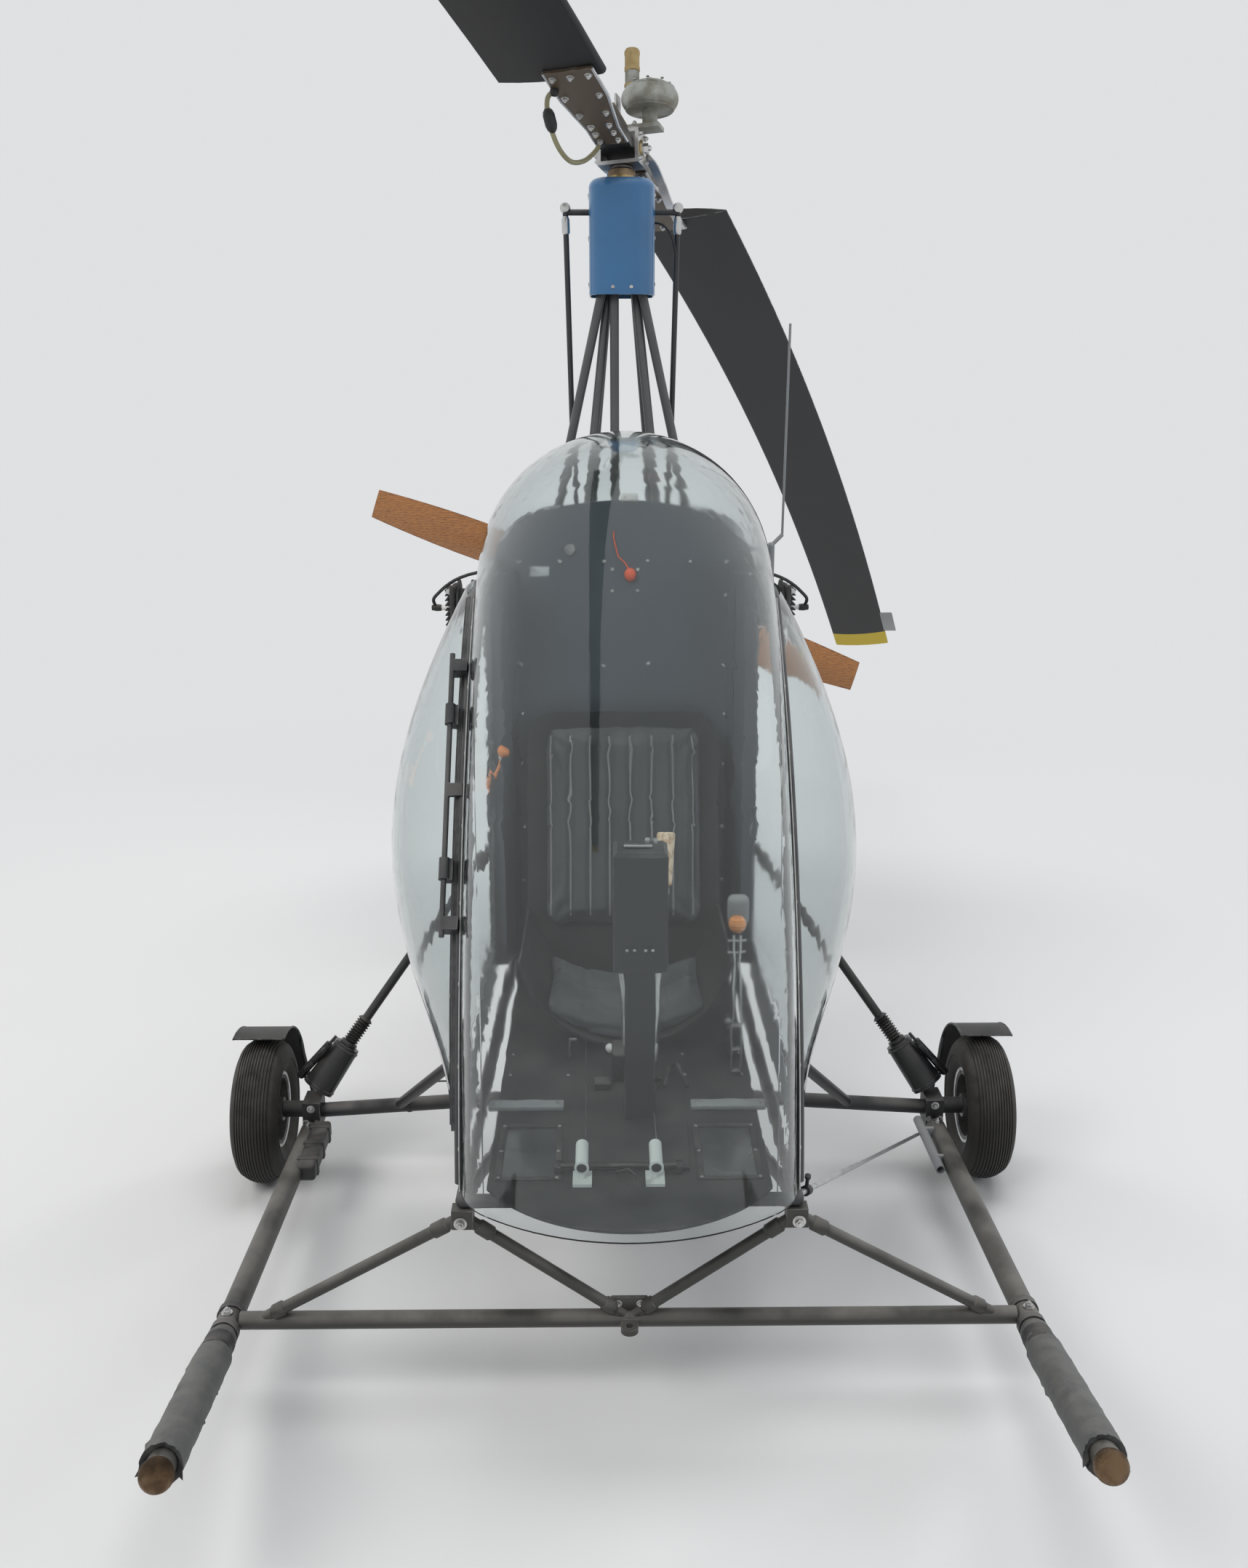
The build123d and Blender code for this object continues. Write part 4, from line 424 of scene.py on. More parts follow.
@dataclass(frozen=True)
class Rubber(Finish):
    """Rubber, moulded plastic or wrapped tape with a pebbled face and dust on the faces that look up."""

    lumps: float = 0.0003
    lump_scale: float = 380.0
    dust: float = 0.45
    dust_colour: Colour = (0.34, 0.32, 0.29)

    def _dress(self, tree: Tree, shader: Node) -> None:
        """Mixes tone, lumps and dust."""
        tone, _ = self._tone(tree, 0.3, 25.0)
        dust = self._mask(tree, Effect.DUST, Amount=self.dust, Scale=30.0)
        lumps = EFFECTS.place(tree, Effect.PEBBLE, Scale=self.lump_scale)
        self._set(shader, {"Base Color": blended(tree, dust, tone, self.dust_colour),
                           "Roughness": ramp(tree, dust, 0.0, 0.5, self.roughness, 0.95)})
        self._bump(shader, lumps.outputs["Height"], self.lumps, 0.6)


@dataclass(frozen=True)
class Timber(Finish):
    """Wood with its grain along one axis, bare or under varnish."""

    dark: Colour = (0.22, 0.08, 0.02)
    stretch: Point = (1.0, 9.0, 9.0)
    turn: Point = (0.0, 0.0, 0.0)
    coat: float = 0.6

    def _dress(self, tree: Tree, shader: Node) -> None:
        """Draws the grain and lays the varnish on it."""
        grain = EFFECTS.place(tree, Effect.GRAIN, Pale=self.colour, Dark=self.dark, Stretch=self.stretch,
                              Turn=self.turn)
        wear = self._mask(tree, Effect.EDGE_WEAR, Width=0.004, Amount=0.8)
        self._set(shader, {"Base Color": blended(tree, wear, grain.outputs["Colour"], self.dark),
                           "Coat Weight": self.coat, "Coat Roughness": 0.12})
        self._bump(shader, grain.outputs["Height"], 0.0003, 0.3)


@dataclass(frozen=True)
class Cloth(Finish):
    """Upholstery cloth with crossing threads, sheen and faded patches."""

    threads: float = 420.0
    sheen: float = 0.12

    def _dress(self, tree: Tree, shader: Node) -> None:
        """Weaves the cloth."""
        tone, _ = self._tone(tree, 0.35, 9.0)
        weave = EFFECTS.place(tree, Effect.WEAVE, Threads=self.threads)
        dust = self._mask(tree, Effect.DUST, Amount=0.14, Scale=14.0)
        self._set(shader, {"Base Color": blended(tree, dust, tone, (0.33, 0.32, 0.3)), "Sheen Weight": self.sheen,
                           "Sheen Roughness": 0.4})
        self._bump(shader, weave.outputs["Height"], 0.0003, 0.5)


@dataclass(frozen=True)
class BladeSkin(Finish):
    """Dark blade paint with a yellow band round the tip, chipped along the edges."""

    band_colour: Colour = (0.5, 0.37, 0.02)
    hub: Point = (0.0, 0.14, 2.058)
    band_start: float = 3.09

    def _dress(self, tree: Tree, shader: Node) -> None:
        """Paints the band by the distance from the rotor's hub."""
        tone, height = self._tone(tree, 0.35, 5.0)
        wear = self._mask(tree, Effect.EDGE_WEAR, Width=0.003, Amount=0.7)
        dust = self._mask(tree, Effect.DUST, Amount=0.12, Scale=6.0)
        reach = put(tree, "VectorMath", {0: own_place(tree), 1: self.hub}, operation="DISTANCE")
        band = maths(tree, "GREATER_THAN", reach.outputs["Value"], self.band_start)
        worn = blended(tree, wear, blended(tree, band, tone, self.band_colour), (0.36, 0.36, 0.36))
        self._set(shader, {"Base Color": blended(tree, dust, worn, (0.4, 0.38, 0.35))})
        self._bump(shader, height, 0.0006, 0.3)


class Look:
    """Every finish on the aircraft."""

    FRAME = Paint("frame_black_paint", (0.022, 0.023, 0.026), 0.4, wear=0.55, dust=0.22)
    MAST = Paint("mast_grey_paint", (0.06, 0.062, 0.064), 0.36, wear=0.5, dust=0.3)
    GEAR = Paint("gear_black_paint", (0.022, 0.022, 0.024), 0.48, wear=0.8, dust=0.3)
    TUBE = Paint("gear_tube_paint", (0.036, 0.035, 0.031), 0.42, wear=0.6, dust=0.32)
    CAN = Paint("strut_can_paint", (0.008, 0.008, 0.009), 0.34, wear=0.4, dust=0.12)
    GUARD = Paint("mudguard_paint", (0.018, 0.018, 0.018), 0.55, wear=0.5, dust=0.08)
    SLATE = Paint("slate_bulkhead_paint", (0.078, 0.09, 0.104), 0.45, wear=0.2, dust=0.08, shift=0.16)
    FLOOR_SHEET = Paint("floor_sheet_paint", (0.013, 0.014, 0.016), 0.62, wear=0.3, dust=0.1)
    BLUE = Paint("blue_fairing_paint", (0.024, 0.12, 0.27), 0.26, wear=0.7, dust=0.12, shift=0.3, coat=0.5,
                 worn_colour=(0.24, 0.26, 0.28))
    PLATE = Paint("root_plate_paint", (0.088, 0.064, 0.04), 0.42, wear=0.8, dust=0.06, worn_colour=(0.42, 0.4, 0.36))
    CREAM = Paint("cream_pedal_paint", (0.52, 0.56, 0.54), 0.35, wear=0.4, dust=0.2)
    TAIL = Paint("tail_paint", (0.04, 0.155, 0.33), 0.32, wear=0.5, dust=0.35, coat=0.4,
                 worn_colour=(0.26, 0.27, 0.28))
    SEAT = Paint("seat_shell_gelcoat", (0.018, 0.019, 0.019), 0.68, wear=0.2, dust=0.08)
    INSTRUMENT = Paint("instrument_black_paint", (0.02, 0.021, 0.023), 0.42, wear=0.4, dust=0.12)
    # Painted shade: an opaque dark colour on the lookout panes stands in for the shaded floor seen through them.
    LOOKOUT_SHADE = Paint("painted_shade_lookout_panel", (0.03, 0.033, 0.036), 0.25, wear=0.0, dust=0.12, coat=0.3)
    PIPING = Cloth("pale_cushion_piping", (0.3, 0.3, 0.29), 0.7, threads=900.0)
    TANK = Rubber("fuel_tank_plastic", (0.55, 0.54, 0.5), 0.45, lumps=0.0002, dust=0.35)
    DARK = Rubber("dark_moulding", (0.018, 0.018, 0.019), 0.5, lumps=0.00015, dust=0.25)
    TYRE = Rubber("tyre_rubber", (0.023, 0.021, 0.019), 0.72, lumps=0.0002, dust=0.16)
    SLEEVE = Rubber("wrapped_sleeve", (0.078, 0.08, 0.079), 0.62, lumps=0.0009, lump_scale=150.0, dust=0.2)
    TAPE = Rubber("dark_wrapping_tape", (0.026, 0.026, 0.028), 0.6, lumps=0.0004, dust=0.2)
    BEADING = Rubber("panel_beading", (0.016, 0.017, 0.018), 0.42, lumps=0.0001, dust=0.15)
    CLEAR = ClearPanel("clear_acrylic", (0.86, 0.9, 0.9), 0.015)
    STEEL = Metal("plated_steel", (0.62, 0.62, 0.61), 0.28)
    DARK_STEEL = Metal("oiled_steel", (0.16, 0.155, 0.15), 0.38, tarnish=(0.07, 0.055, 0.045))
    ALLOY = Metal("spun_alloy", (0.66, 0.67, 0.68), 0.34)
    WHEEL = Metal("dull_wheel_alloy", (0.24, 0.24, 0.235), 0.5, tarnish=(0.09, 0.085, 0.08), tarnish_share=0.6)
    DRUM = Metal("dull_drum_alloy", (0.46, 0.47, 0.44), 0.48, tarnish=(0.26, 0.23, 0.17), tarnish_share=0.6)
    CASTING = Metal("cast_alloy", (0.5, 0.5, 0.49), 0.55, lumps=0.0008)
    IRON = Metal("barrel_iron", (0.1, 0.1, 0.1), 0.6, lumps=0.0006)
    BRASS = Metal("aged_brass", (0.5, 0.38, 0.19), 0.36, tarnish=(0.2, 0.13, 0.07))
    BEARING = Metal("worn_bearing_metal", (0.3, 0.22, 0.14), 0.42, tarnish=(0.1, 0.07, 0.05), tarnish_share=0.7)
    BRONZE = Metal("cast_ball_bronze", (0.2, 0.13, 0.075), 0.4, tarnish=(0.035, 0.025, 0.02), tarnish_share=0.8,
                   lumps=0.001)
    SPRING = Metal("spring_steel", (0.14, 0.14, 0.15), 0.42)
    PROPELLER = Timber("varnished_propeller_wood", (0.46, 0.19, 0.045), 0.3, dark=(0.15, 0.05, 0.014),
                       stretch=(2.0, 22.0, 22.0), turn=(0.0, 0.347, 0.0))
    GRIP = Timber("pale_grip_wood", (0.68, 0.54, 0.4), 0.42, dark=(0.44, 0.3, 0.18), stretch=(14.0, 14.0, 2.0),
                  coat=0.3)
    CUSHION = Cloth("seat_cloth", (0.056, 0.06, 0.064), 0.78)
    BLADE = BladeSkin("blade_paint", (0.012, 0.012, 0.013), 0.6)
    PLATE_GREY = Paint("grey_bar_paint", (0.2, 0.21, 0.22), 0.45, wear=0.3, dust=0.3)
    TAB = Paint("trim_tab_paint", (0.23, 0.23, 0.235), 0.4, wear=0.4, dust=0.3)
    EXHAUST = Metal("scorched_steel", (0.26, 0.19, 0.14), 0.55, tarnish=(0.09, 0.06, 0.05), tarnish_share=0.7,
                    lumps=0.0003)
    HANDLE = Paint("orange_handle_paint", (0.66, 0.22, 0.06), 0.28, wear=0.5, dust=0.1, coat=0.5,
                   worn_colour=(0.62, 0.44, 0.28))
    ORANGE = Timber("orange_knob_varnish", (0.75, 0.3, 0.08), 0.25, dark=(0.5, 0.17, 0.04), coat=0.8)
    WHITE = Rubber("white_knob_plastic", (0.7, 0.7, 0.68), 0.35, lumps=0.0001, dust=0.15)
    HOSE = Rubber("amber_hose", (0.26, 0.24, 0.14), 0.35, lumps=0.0001, dust=0.2)
    SEAL = Rubber("red_seal_wax", (0.78, 0.12, 0.05), 0.45, lumps=0.0003, dust=0.1)
    STRAP = Cloth("grey_strap_webbing", (0.16, 0.18, 0.2), 0.8, threads=900.0)


NODE_FINISHES: dict[Finish, str] = {
    Look.FRAME: "lower_frame rear_frame side_hoop_left side_hoop_right door_frame nose_block "
                    "engine_mount tail_boom control_linkage door_hinge_rod",
    Look.MAST: "mast_truss",
    Look.GEAR: "axle_arm_left axle_arm_right",
    Look.TUBE: "front_gear_frame skids",
    Look.CAN: "shock_struts",
    Look.GUARD: "mudguards",
    Look.SLATE: "bulkhead side_jambs side_skirts",
    Look.FLOOR_SHEET: "cabin_floor",
    Look.BLUE: "head_fairing",
    Look.PLATE: "root_plates",
    Look.PLATE_GREY: "antenna",
    Look.HANDLE: "door_handle",
    Look.CREAM: "rudder_pedals",
    Look.TAIL: "tail_fin rudder tailplane",
    Look.SEAT: "seat_pan",
    Look.TANK: "fuel_tank",
    Look.DARK: "throttle_lever",
    Look.INSTRUMENT: "instrument_post",
    Look.TYRE: "tyre_left tyre_right",
    Look.SLEEVE: "skid_sleeves",
    Look.CLEAR: "windscreen side_bubble door_bubble",
    Look.STEEL: "control_stick rotor_spindle",
    Look.BEARING: "head_block",
    Look.DARK_STEEL: "hub_bar",
    Look.WHEEL: "wheel_left wheel_right",
    Look.DRUM: "fuel_collector",
    Look.CASTING: "engine_case",
    Look.IRON: "engine_cylinders",
    Look.BRONZE: "skid_balls",
    Look.SPRING: "tail_skid",
    Look.PROPELLER: "propeller",
    Look.GRIP: "stick_grip",
    Look.CUSHION: "back_cushion seat_cushion",
    Look.BLADE: "rotor_blade_front rotor_blade_rear",
}


class Shape:
    """A mesh put together from turned, swept and bevelled forms."""

    def __init__(self) -> None:
        """Starts an empty mesh."""
        self.mesh = bmesh.new()

    def _ring(self, centre: Vector, side: Vector, up: Vector, radius: float, steps: int) -> list:
        """Adds a ring of points round a centre."""
        return [self.mesh.verts.new(centre + (side * cos(turn) + up * sin(turn)) * radius)
                for turn in (2 * pi * k / steps for k in range(steps))]

    def _skin(self, rings: list, closed: bool = False) -> "Shape":
        """Joins rings with faces, and closes both ends unless the last ring meets the first."""
        count = len(rings[0])
        for first, second in zip(rings, rings[1:] + rings[:1] if closed else rings[1:]):
            for k in range(count):
                after = (k + 1) % count
                self.mesh.faces.new((first[k], first[after], second[after], second[k]))
        if not closed:
            self.mesh.faces.new(rings[0][::-1])
            self.mesh.faces.new(rings[-1])
        return self

    def rod(self, route: Route, radius: float | Sequence[float], steps: int = 14) -> "Shape":
        """Sweeps a round section along a route, with closed ends.

        Args:
            route: The points that the middle passes.
            radius: One radius, or one for each point.
            steps: Sides of the section.

        Returns:
            This shape.
        """
        points = [Vector(p) for p in route]
        radii = [radius] * len(points) if isinstance(radius, (int, float)) else list(radius)
        runs = [(b - a).normalized() for a, b in zip(points, points[1:])]
        side = runs[0].orthogonal().normalized()
        rings = []
        for k, point in enumerate(points):
            before = runs[max(0, k - 1)]
            along = (before + runs[min(k, len(runs) - 1)]).normalized()
            side = (side - along * side.dot(along)).normalized()
            stretch = 1.0 / max(0.6, before.dot(along))
            rings.append(self._ring(point, side, along.cross(side), radii[k] * min(stretch, 1.25), steps))
        return self._skin(rings)

    def lathe(self, profile: Profile, origin: Place, axis: Place, steps: int = 32, closed: bool = False) -> "Shape":
        """Turns a profile about an axis.

        Args:
            profile: Radius and height pairs.
            origin: Where height 0 is.
            axis: The turning axis.
            steps: Sides of the turned form.
            closed: Whether the profile closes on itself, so that a hole stays through the middle.

        Returns:
            This shape.
        """
        along = Vector(axis).normalized()
        side = along.orthogonal().normalized()
        rings = [self._ring(Vector(origin) + along * height, side, along.cross(side), max(radius, 1e-5), steps)
                 for radius, height in profile]
        return self._skin(rings, closed)

    def ring(self, profile: Profile, origin: Place, axis: Place, steps: int = 32) -> "Shape":
        """Turns a closed profile about an axis, as lathe does."""
        return self.lathe(profile, origin, axis, steps, closed=True)

    def cap(self, row: Route, order: int) -> "Shape":
        """Closes a row of points with one face, in the row's order (1) or turned round (-1)."""
        self.mesh.faces.new([self.mesh.verts.new(Vector(p)) for p in row[::order]])
        return self

    def block(self, centre: Place, size: Place, bevel: float = 0.002, turn: Matrix | None = None,
              steps: int = 2) -> "Shape":
        """Adds a block with rounded edges.

        Args:
            centre: Its middle.
            size: Its three sides.
            bevel: The radius of its edges.
            turn: Its turn, or none.
            steps: Faces across each rounded edge.

        Returns:
            This shape.
        """
        part = bmesh.new()
        bmesh.ops.create_cube(part, size=1.0)
        bmesh.ops.scale(part, vec=Vector(size), verts=part.verts)
        bmesh.ops.bevel(part, geom=part.edges[:], offset=bevel, segments=steps, profile=0.5, affect="EDGES")
        place = Matrix.Translation(Vector(centre)) @ (turn or Matrix.Identity(3)).to_4x4()
        bmesh.ops.transform(part, matrix=place, verts=part.verts)
        copy = bpy.data.meshes.new("block")
        part.to_mesh(copy)
        part.free()
        self.mesh.from_mesh(copy)
        bpy.data.meshes.remove(copy)
        return self

    def sheet(self, rows: Sequence[Route], closed: bool = False) -> "Shape":
        """Adds a surface through rows of points.

        Args:
            rows: Rows of the same number of points.
            closed: Whether each row closes on itself.

        Returns:
            This shape.
        """
        grid = [[self.mesh.verts.new(Vector(p)) for p in row] for row in rows]
        for low, high in zip(grid, grid[1:]):
            count = len(low)
            for k in range(count if closed else count - 1):
                after = (k + 1) % count
                self.mesh.faces.new((low[k], low[after], high[after], high[k]))
        return self

    def screws(self, places: Route, normal: Place, radius: float = 0.004,
               height: float = 0.0018) -> "Shape":
        """Adds a domed screw head of a radius and a height at each place, looking along the normal."""
        for place in places:
            self.lathe([(radius, -height * 0.3), (radius, height * 0.35), (radius * 0.8, height * 0.8),
                        (radius * 0.4, height), (0.0, height)], place, normal, 12)
        return self

    def bolts(self, places: Route, axis: Place, size: float) -> "Shape":
        """Adds a washer, a hexagon head and the end of the thread at each place.

        Args:
            places: Where the washers lie.
            axis: The way the bolts look.
            size: Half the width over the hexagon's corners.

        Returns:
            This shape.
        """
        for place in places:
            self.lathe([(size * 1.45, -size * 0.1), (size * 1.45, size * 0.22), (0.0, size * 0.22)], place, axis, 18)
            self.lathe([(size, size * 0.2), (size, size * 1.0), (size * 0.86, size * 1.15), (0.0, size * 1.15)],
                       place, axis, 6)
            self.lathe([(size * 0.5, size), (size * 0.5, size * 1.5), (size * 0.38, size * 1.65),
                        (0.0, size * 1.65)], place, axis, 10)
        return self

    def done(self, name: str, finish: Finish, body: Body = Body.AIRFRAME, smooth: float = 40.0) -> bpy.types.Object:
        """Turns the mesh into a finished piece.

        Args:
            name: The piece's name.
            finish: Its finish.
            body: The body it rides on.
            smooth: Edges flatter than this many degrees are shaded smooth.

        Returns:
            The piece.
        """
        bmesh.ops.remove_doubles(self.mesh, verts=self.mesh.verts, dist=1e-6)
        bmesh.ops.recalc_face_normals(self.mesh, faces=self.mesh.faces)
        mesh = bpy.data.meshes.new(name)
        self.mesh.to_mesh(mesh)
        self.mesh.free()
        mesh.shade_smooth()
        mesh.set_sharp_from_angle(angle=radians(smooth))
        mesh.materials.append(finish.material())
        piece = bpy.data.objects.new(name, mesh)
        bpy.context.scene.collection.objects.link(piece)
        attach(piece, body.value)
        log.info("%s rides on %s", name, body.value)
        return piece


def vec(*parts: float) -> Vector:
    """A vector from its three parts."""
    return Vector(parts)


def mm(*values: float) -> list[tuple[float, float]]:
    """Radius and height pairs in metres, from millimetres."""
    return [(radius / 1000, height / 1000) for radius, height in zip(values[::2], values[1::2])]


def round_corners(wide: float, high: float, radius: float, steps: int) -> list[tuple[float, float, float, float]]:
    """Points round a rectangle with rounded corners: the corner's middle, then the unit step out from it."""
    return [(cx * (wide - radius), cy * (high - radius), cos(turn), sin(turn))
            for cx, cy, start in ((1, 1, 0), (-1, 1, 90), (-1, -1, 180), (1, -1, 270))
            for turn in (radians(start + 90 / (steps - 1) * k) for k in range(steps))]


def along_offsets(start: Vector, offsets: Sequence[Point], steps: int) -> list[Vector]:
    """A smooth route through offsets from a start."""
    return smooth_route([start + Vector(p) for p in offsets], steps)


@dataclass(frozen=True)
class Spot:
    """A place with its own directions: x across, z up, and y square to both."""

    origin: Vector
    x: Vector
    z: Vector

    @property
    def y(self) -> Vector:
        """The direction square to x and z."""
        return self.z.cross(self.x)

    @property
    def turn(self) -> Matrix:
        """The turn of a piece that stands here."""
        return Matrix((self.x, self.y, self.z)).transposed()

    def at(self, x: float, y: float = 0.0, z: float = 0.0) -> Vector:
        """A point by its three distances from here."""
        return self.origin + self.x * x + self.y * y + self.z * z


def smooth_route(points: Sequence[Vector], steps: int) -> list[Vector]:
    """A smooth route through points.

    Args:
        points: The points that it passes.
        steps: Runs between two of them.

    Returns:
        The finer route.
    """
    padded = [points[0] * 2 - points[1], *points, points[-1] * 2 - points[-2]]
    route = []
    for a, b, c, d in zip(padded, padded[1:], padded[2:], padded[3:]):
        for k in range(steps):
            t = k / steps
            route.append(0.5 * (b * 2 + (c - a) * t + (a * 2 - b * 5 + c * 4 - d) * t ** 2
                                + (b * 3 - a - c * 3 + d) * t ** 3))
    route.append(Vector(points[-1]))
    return route


HOOP_Y, HOOP_Z, HOOP_RADIUS = 0.3737, 0.1853, 1.2999


def sides() -> Sequence[tuple[str, int]]:
    """Names and signs of the aircraft's two sides."""
    return ("left", 1), ("right", -1)


def hoop_point(turn: float) -> Vector:
    """A point of the side hoop's middle line, without its place across, by its angle in degrees."""
    around = radians(turn)
    return vec(0.0, HOOP_Y + HOOP_RADIUS * cos(around), HOOP_Z + HOOP_RADIUS * sin(around))


def edge_y(height: float) -> float:
    """Where the side hoop's middle line passes a height."""
    return HOOP_Y - sqrt(HOOP_RADIUS ** 2 - (height - HOOP_Z) ** 2)


def floor_spot(x: float, y: float, lift: float = 0.0) -> Spot:
    """A place over the sloping cabin floor's upper face."""
    rise = (0.425 - 0.386) / (0.0213 + 0.935)
    normal = vec(0.0, -rise, 1.0).normalized()
    foot = vec(x, y, 0.386 + (y + 0.935) * rise) + normal * (0.0163 + lift)
    return Spot(foot, Vector(LEFT), normal)


class Assembly:
    """A group of pieces that is built together."""

    def build(self) -> None:
        """Builds the group's pieces."""
        raise NotImplementedError


@dataclass
class RunningGear(Assembly):
    """Tyres, wheels, arms, struts and skids.

    Attributes:
        half_track: Half the distance between the wheels.
        axle: Along and height of the axle.
        tyre_radius: The tyre's radius.
        skid_x: Half the distance between the skids.
        grooves: Places across of the tread's grooves.
    """

    half_track: float = 0.748
    axle: tuple[float, float] = (-0.16, 0.15)
    tyre_radius: float = 0.15
    skid_x: float = 0.65
    grooves: tuple[float, ...] = tuple((k - 5.5) * 0.0058 for k in range(12))

    def build(self) -> None:
        """Builds both sides, then what joins them."""
        for name, sign in sides():
            centre = Vector((sign * self.half_track, *self.axle))
            body = Body.WHEEL_LEFT if sign > 0 else Body.WHEEL_RIGHT
            self._tyre(name, centre, body)
            self._wheel(name, sign, centre, body)
            self._arm(name, sign)
            self._skid(name, sign)
        self._cross_tube()

    def _tyre(self, name: str, centre: Vector, body: Body) -> None:
        """Turns a tyre with ribs round its tread."""
        crown = [(0.0723, -0.0285), (0.08, -0.0375), (0.092, -0.0445), (0.107, -0.0475), (0.12, -0.0462),
                 (0.13, -0.0418), (0.1355, -0.0375), (0.1375, -0.034)]
        tread = []
        for place in self.grooves:
            for step, depth in ((-0.0015, 0), (-0.0009, 0.0024), (0.0009, 0.0024), (0.0015, 0)):
                offset = place + step
                tread.append((self.tyre_radius - 0.0125 * (offset / 0.0345) ** 2 - depth, offset))
        shape = Shape().ring(crown + tread + [(r, -w) for r, w in reversed(crown)], centre, LEFT, 96)
        for sign in (1, -1):
            shape.ring([(0.1035 + dx, sign * (0.0468 + dy)) for dx, dy in
                        ((0, 0), (0.0012, 0.0016), (0.0034, 0.0016), (0.0046, 0))],
                       centre, LEFT, 96)
        tyre = shape.done(f"ribbed_tyre_{name}", Look.TYRE, body, 35.0)
        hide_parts(f"tyre_{name}")

    def _wheel(self, name: str, sign: int, centre: Vector, body: Body) -> None:
        """Adds the rim's lips, the disc's bolts, the valve and the bearing caps."""
        lips = Shape()
        for way in (1, -1):
            lips.ring([(0.0716, way * 0.03), (0.0772, way * 0.033), (0.0786, way * 0.0342), (0.0772, way * 0.0356),
                       (0.0716, way * 0.0345)], centre, LEFT, 72)
            lips.ring([(0.06, way * 0.005), (0.0632, way * 0.0075), (0.066, way * 0.0075), (0.068, way * 0.005)],
                      centre, LEFT, 60)
        lips.done(f"rim_lips_{name}", Look.ALLOY, body)
        fixings = Shape()
        for step in range(6):
            turn = radians(60 * step + 14)
            spot = centre + vec(0, cos(turn), sin(turn)) * 0.043
            for way in (1, -1):
                fixings.bolts([spot + vec(way * 0.005, 0, 0)], (way, 0, 0), 0.0048)
        valve = centre + vec(sign * 0.004, 0.045, -0.036)
        neck = valve + vec(sign * 0.026, 0.004, -0.003)
        fixings.rod([valve, neck], 0.003, 10)
        fixings.rod([neck, valve + vec(sign * 0.036, 0.005, -0.004)], 0.0042, 10)
        fixings.done(f"wheel_bolts_{name}", Look.STEEL, body)
        axle = Shape()
        tip = centre + vec(sign * 0.0482, 0, 0)
        axle.lathe(mm(11.5, 0, 11.5, 3, 9.5, 4.5, 9.5, 9, 0, 9), tip, (sign, 0, 0), 6)
        axle.rod([tip + vec(sign * 0.0065, 0, -0.016), tip + vec(sign * 0.0065, 0, 0.015)], 0.0014, 8)
        axle.done(f"axle_end_{name}", Look.STEEL)

    def _arm(self, name: str, sign: int) -> None:
        """Adds the strut's spring seats, gaiter, damper and bolts, and what only one side has."""
        foot = vec(sign * 0.64, -0.148, 0.1914)
        head = vec(sign * 0.288, 0.0213, 0.668)
        along = (head - foot).normalized()
        seats = Shape()
        for reach, radius, height in ((0.004, 0.0352, 0.006), (0.096, 0.0295, 0.007), (0.107, 0.0185, 0.01)):
            seats.lathe([(radius - 0.003, 0), (radius, 0.002), (radius, height - 0.002), (radius - 0.003, height)],
                        foot + along * reach, along, 28)
        seats.lathe(mm(13.5, 0, 13.5, 30, 10.5, 36), head - along * 0.06, along, 20)
        for x, y, z in ((0.626, -0.14, 0.2725), (0.656, -0.14, 0.2393)):
            seats.block((sign * x, y, z), (0.022, 0.02, 0.009), 0.002, Matrix.Rotation(radians(sign * 47.9), 3, "Y"))
        seats.rod([(sign * 0.612, -0.14, 0.288), (sign * 0.678, -0.14, 0.215)], 0.008, 16)
        seats.rod([(sign * 0.612, -0.14, 0.288), (sign * 0.598, -0.136, 0.303)], 0.0034, 10)
        seats.done(f"strut_collars_{name}", Look.CAN)
        folds = [fold for k in range(9) for fold in ((0.0112, 0.118 + k * 0.0062), (0.0162, 0.1211 + k * 0.0062))]
        Shape().lathe([*folds, (0.0112, 0.176)], foot, along, 24).done(f"strut_gaiter_{name}", Look.DARK)
        pins = Shape().bolts([(sign * x, -0.1905, 0.133) for x in (0.637, 0.659)], FORWARD, 0.0052)
        pins.bolts([(sign * 0.648, -0.1905, 0.164)], FORWARD, 0.0058)
        pins.bolts([head + vec(sign * 0.007, 0, 0)], (sign, 0, 0), 0.006)
        pins.bolts([(sign * 0.03, -0.1745, 0.186)], FORWARD, 0.006)
        pins.done(f"strut_bolts_{name}", Look.STEEL)
        if sign < 0:
            block = Shape().block((-0.624, -0.292, 0.126), (0.038, 0.19, 0.034), 0.007, steps=3)
            for y in (-0.225, -0.29, -0.355):
                block.block((-0.624, y, 0.126), (0.042, 0.014, 0.038), 0.003)
            block.done("skid_rubber_block", Look.DARK)
            wires = Shape().rod(along_offsets(vec(0, 0, 0), (
                (-0.3, -0.16, 0.183), (-0.322, -0.162, 0.198), (-0.352, -0.164, 0.211),
                (-0.39, -0.164, 0.212), (-0.424, -0.162, 0.198), (-0.448, -0.16, 0.1735)), 6), 0.0018, 8)
            for x, z in ((-0.3, 0.1685), (-0.448, 0.159)):
                wires.ring(mm(15.2, -4, 16.6, -4, 16.6, 4, 15.2, 4), (x, -0.16, z), (0.998, 0, 0.065), 28)
            wires.done("arm_wire_loop", Look.DARK)
            return
        stub = Shape()
        run = vec(0.62, -0.38, 0.122) - vec(0.613, -0.192, 0.133)
        stub.ring([(0.0068, 0), (0.0095, 0), (0.0095, run.length), (0.0068, run.length)], (0.613, -0.192, 0.133),
                  run, 24)
        for share in (0.25, 0.8):
            stub.block(vec(0.613, -0.192, 0.133) + run * share + vec(0.01, 0, 0), (0.024, 0.01, 0.02))
        stub.done("skid_side_tube", Look.PLATE_GREY)
        rod = Shape().rod([(0.267, -0.92, 0.386), (0.604, -0.24, 0.1245)], [0.0048, 0.0034], 14)
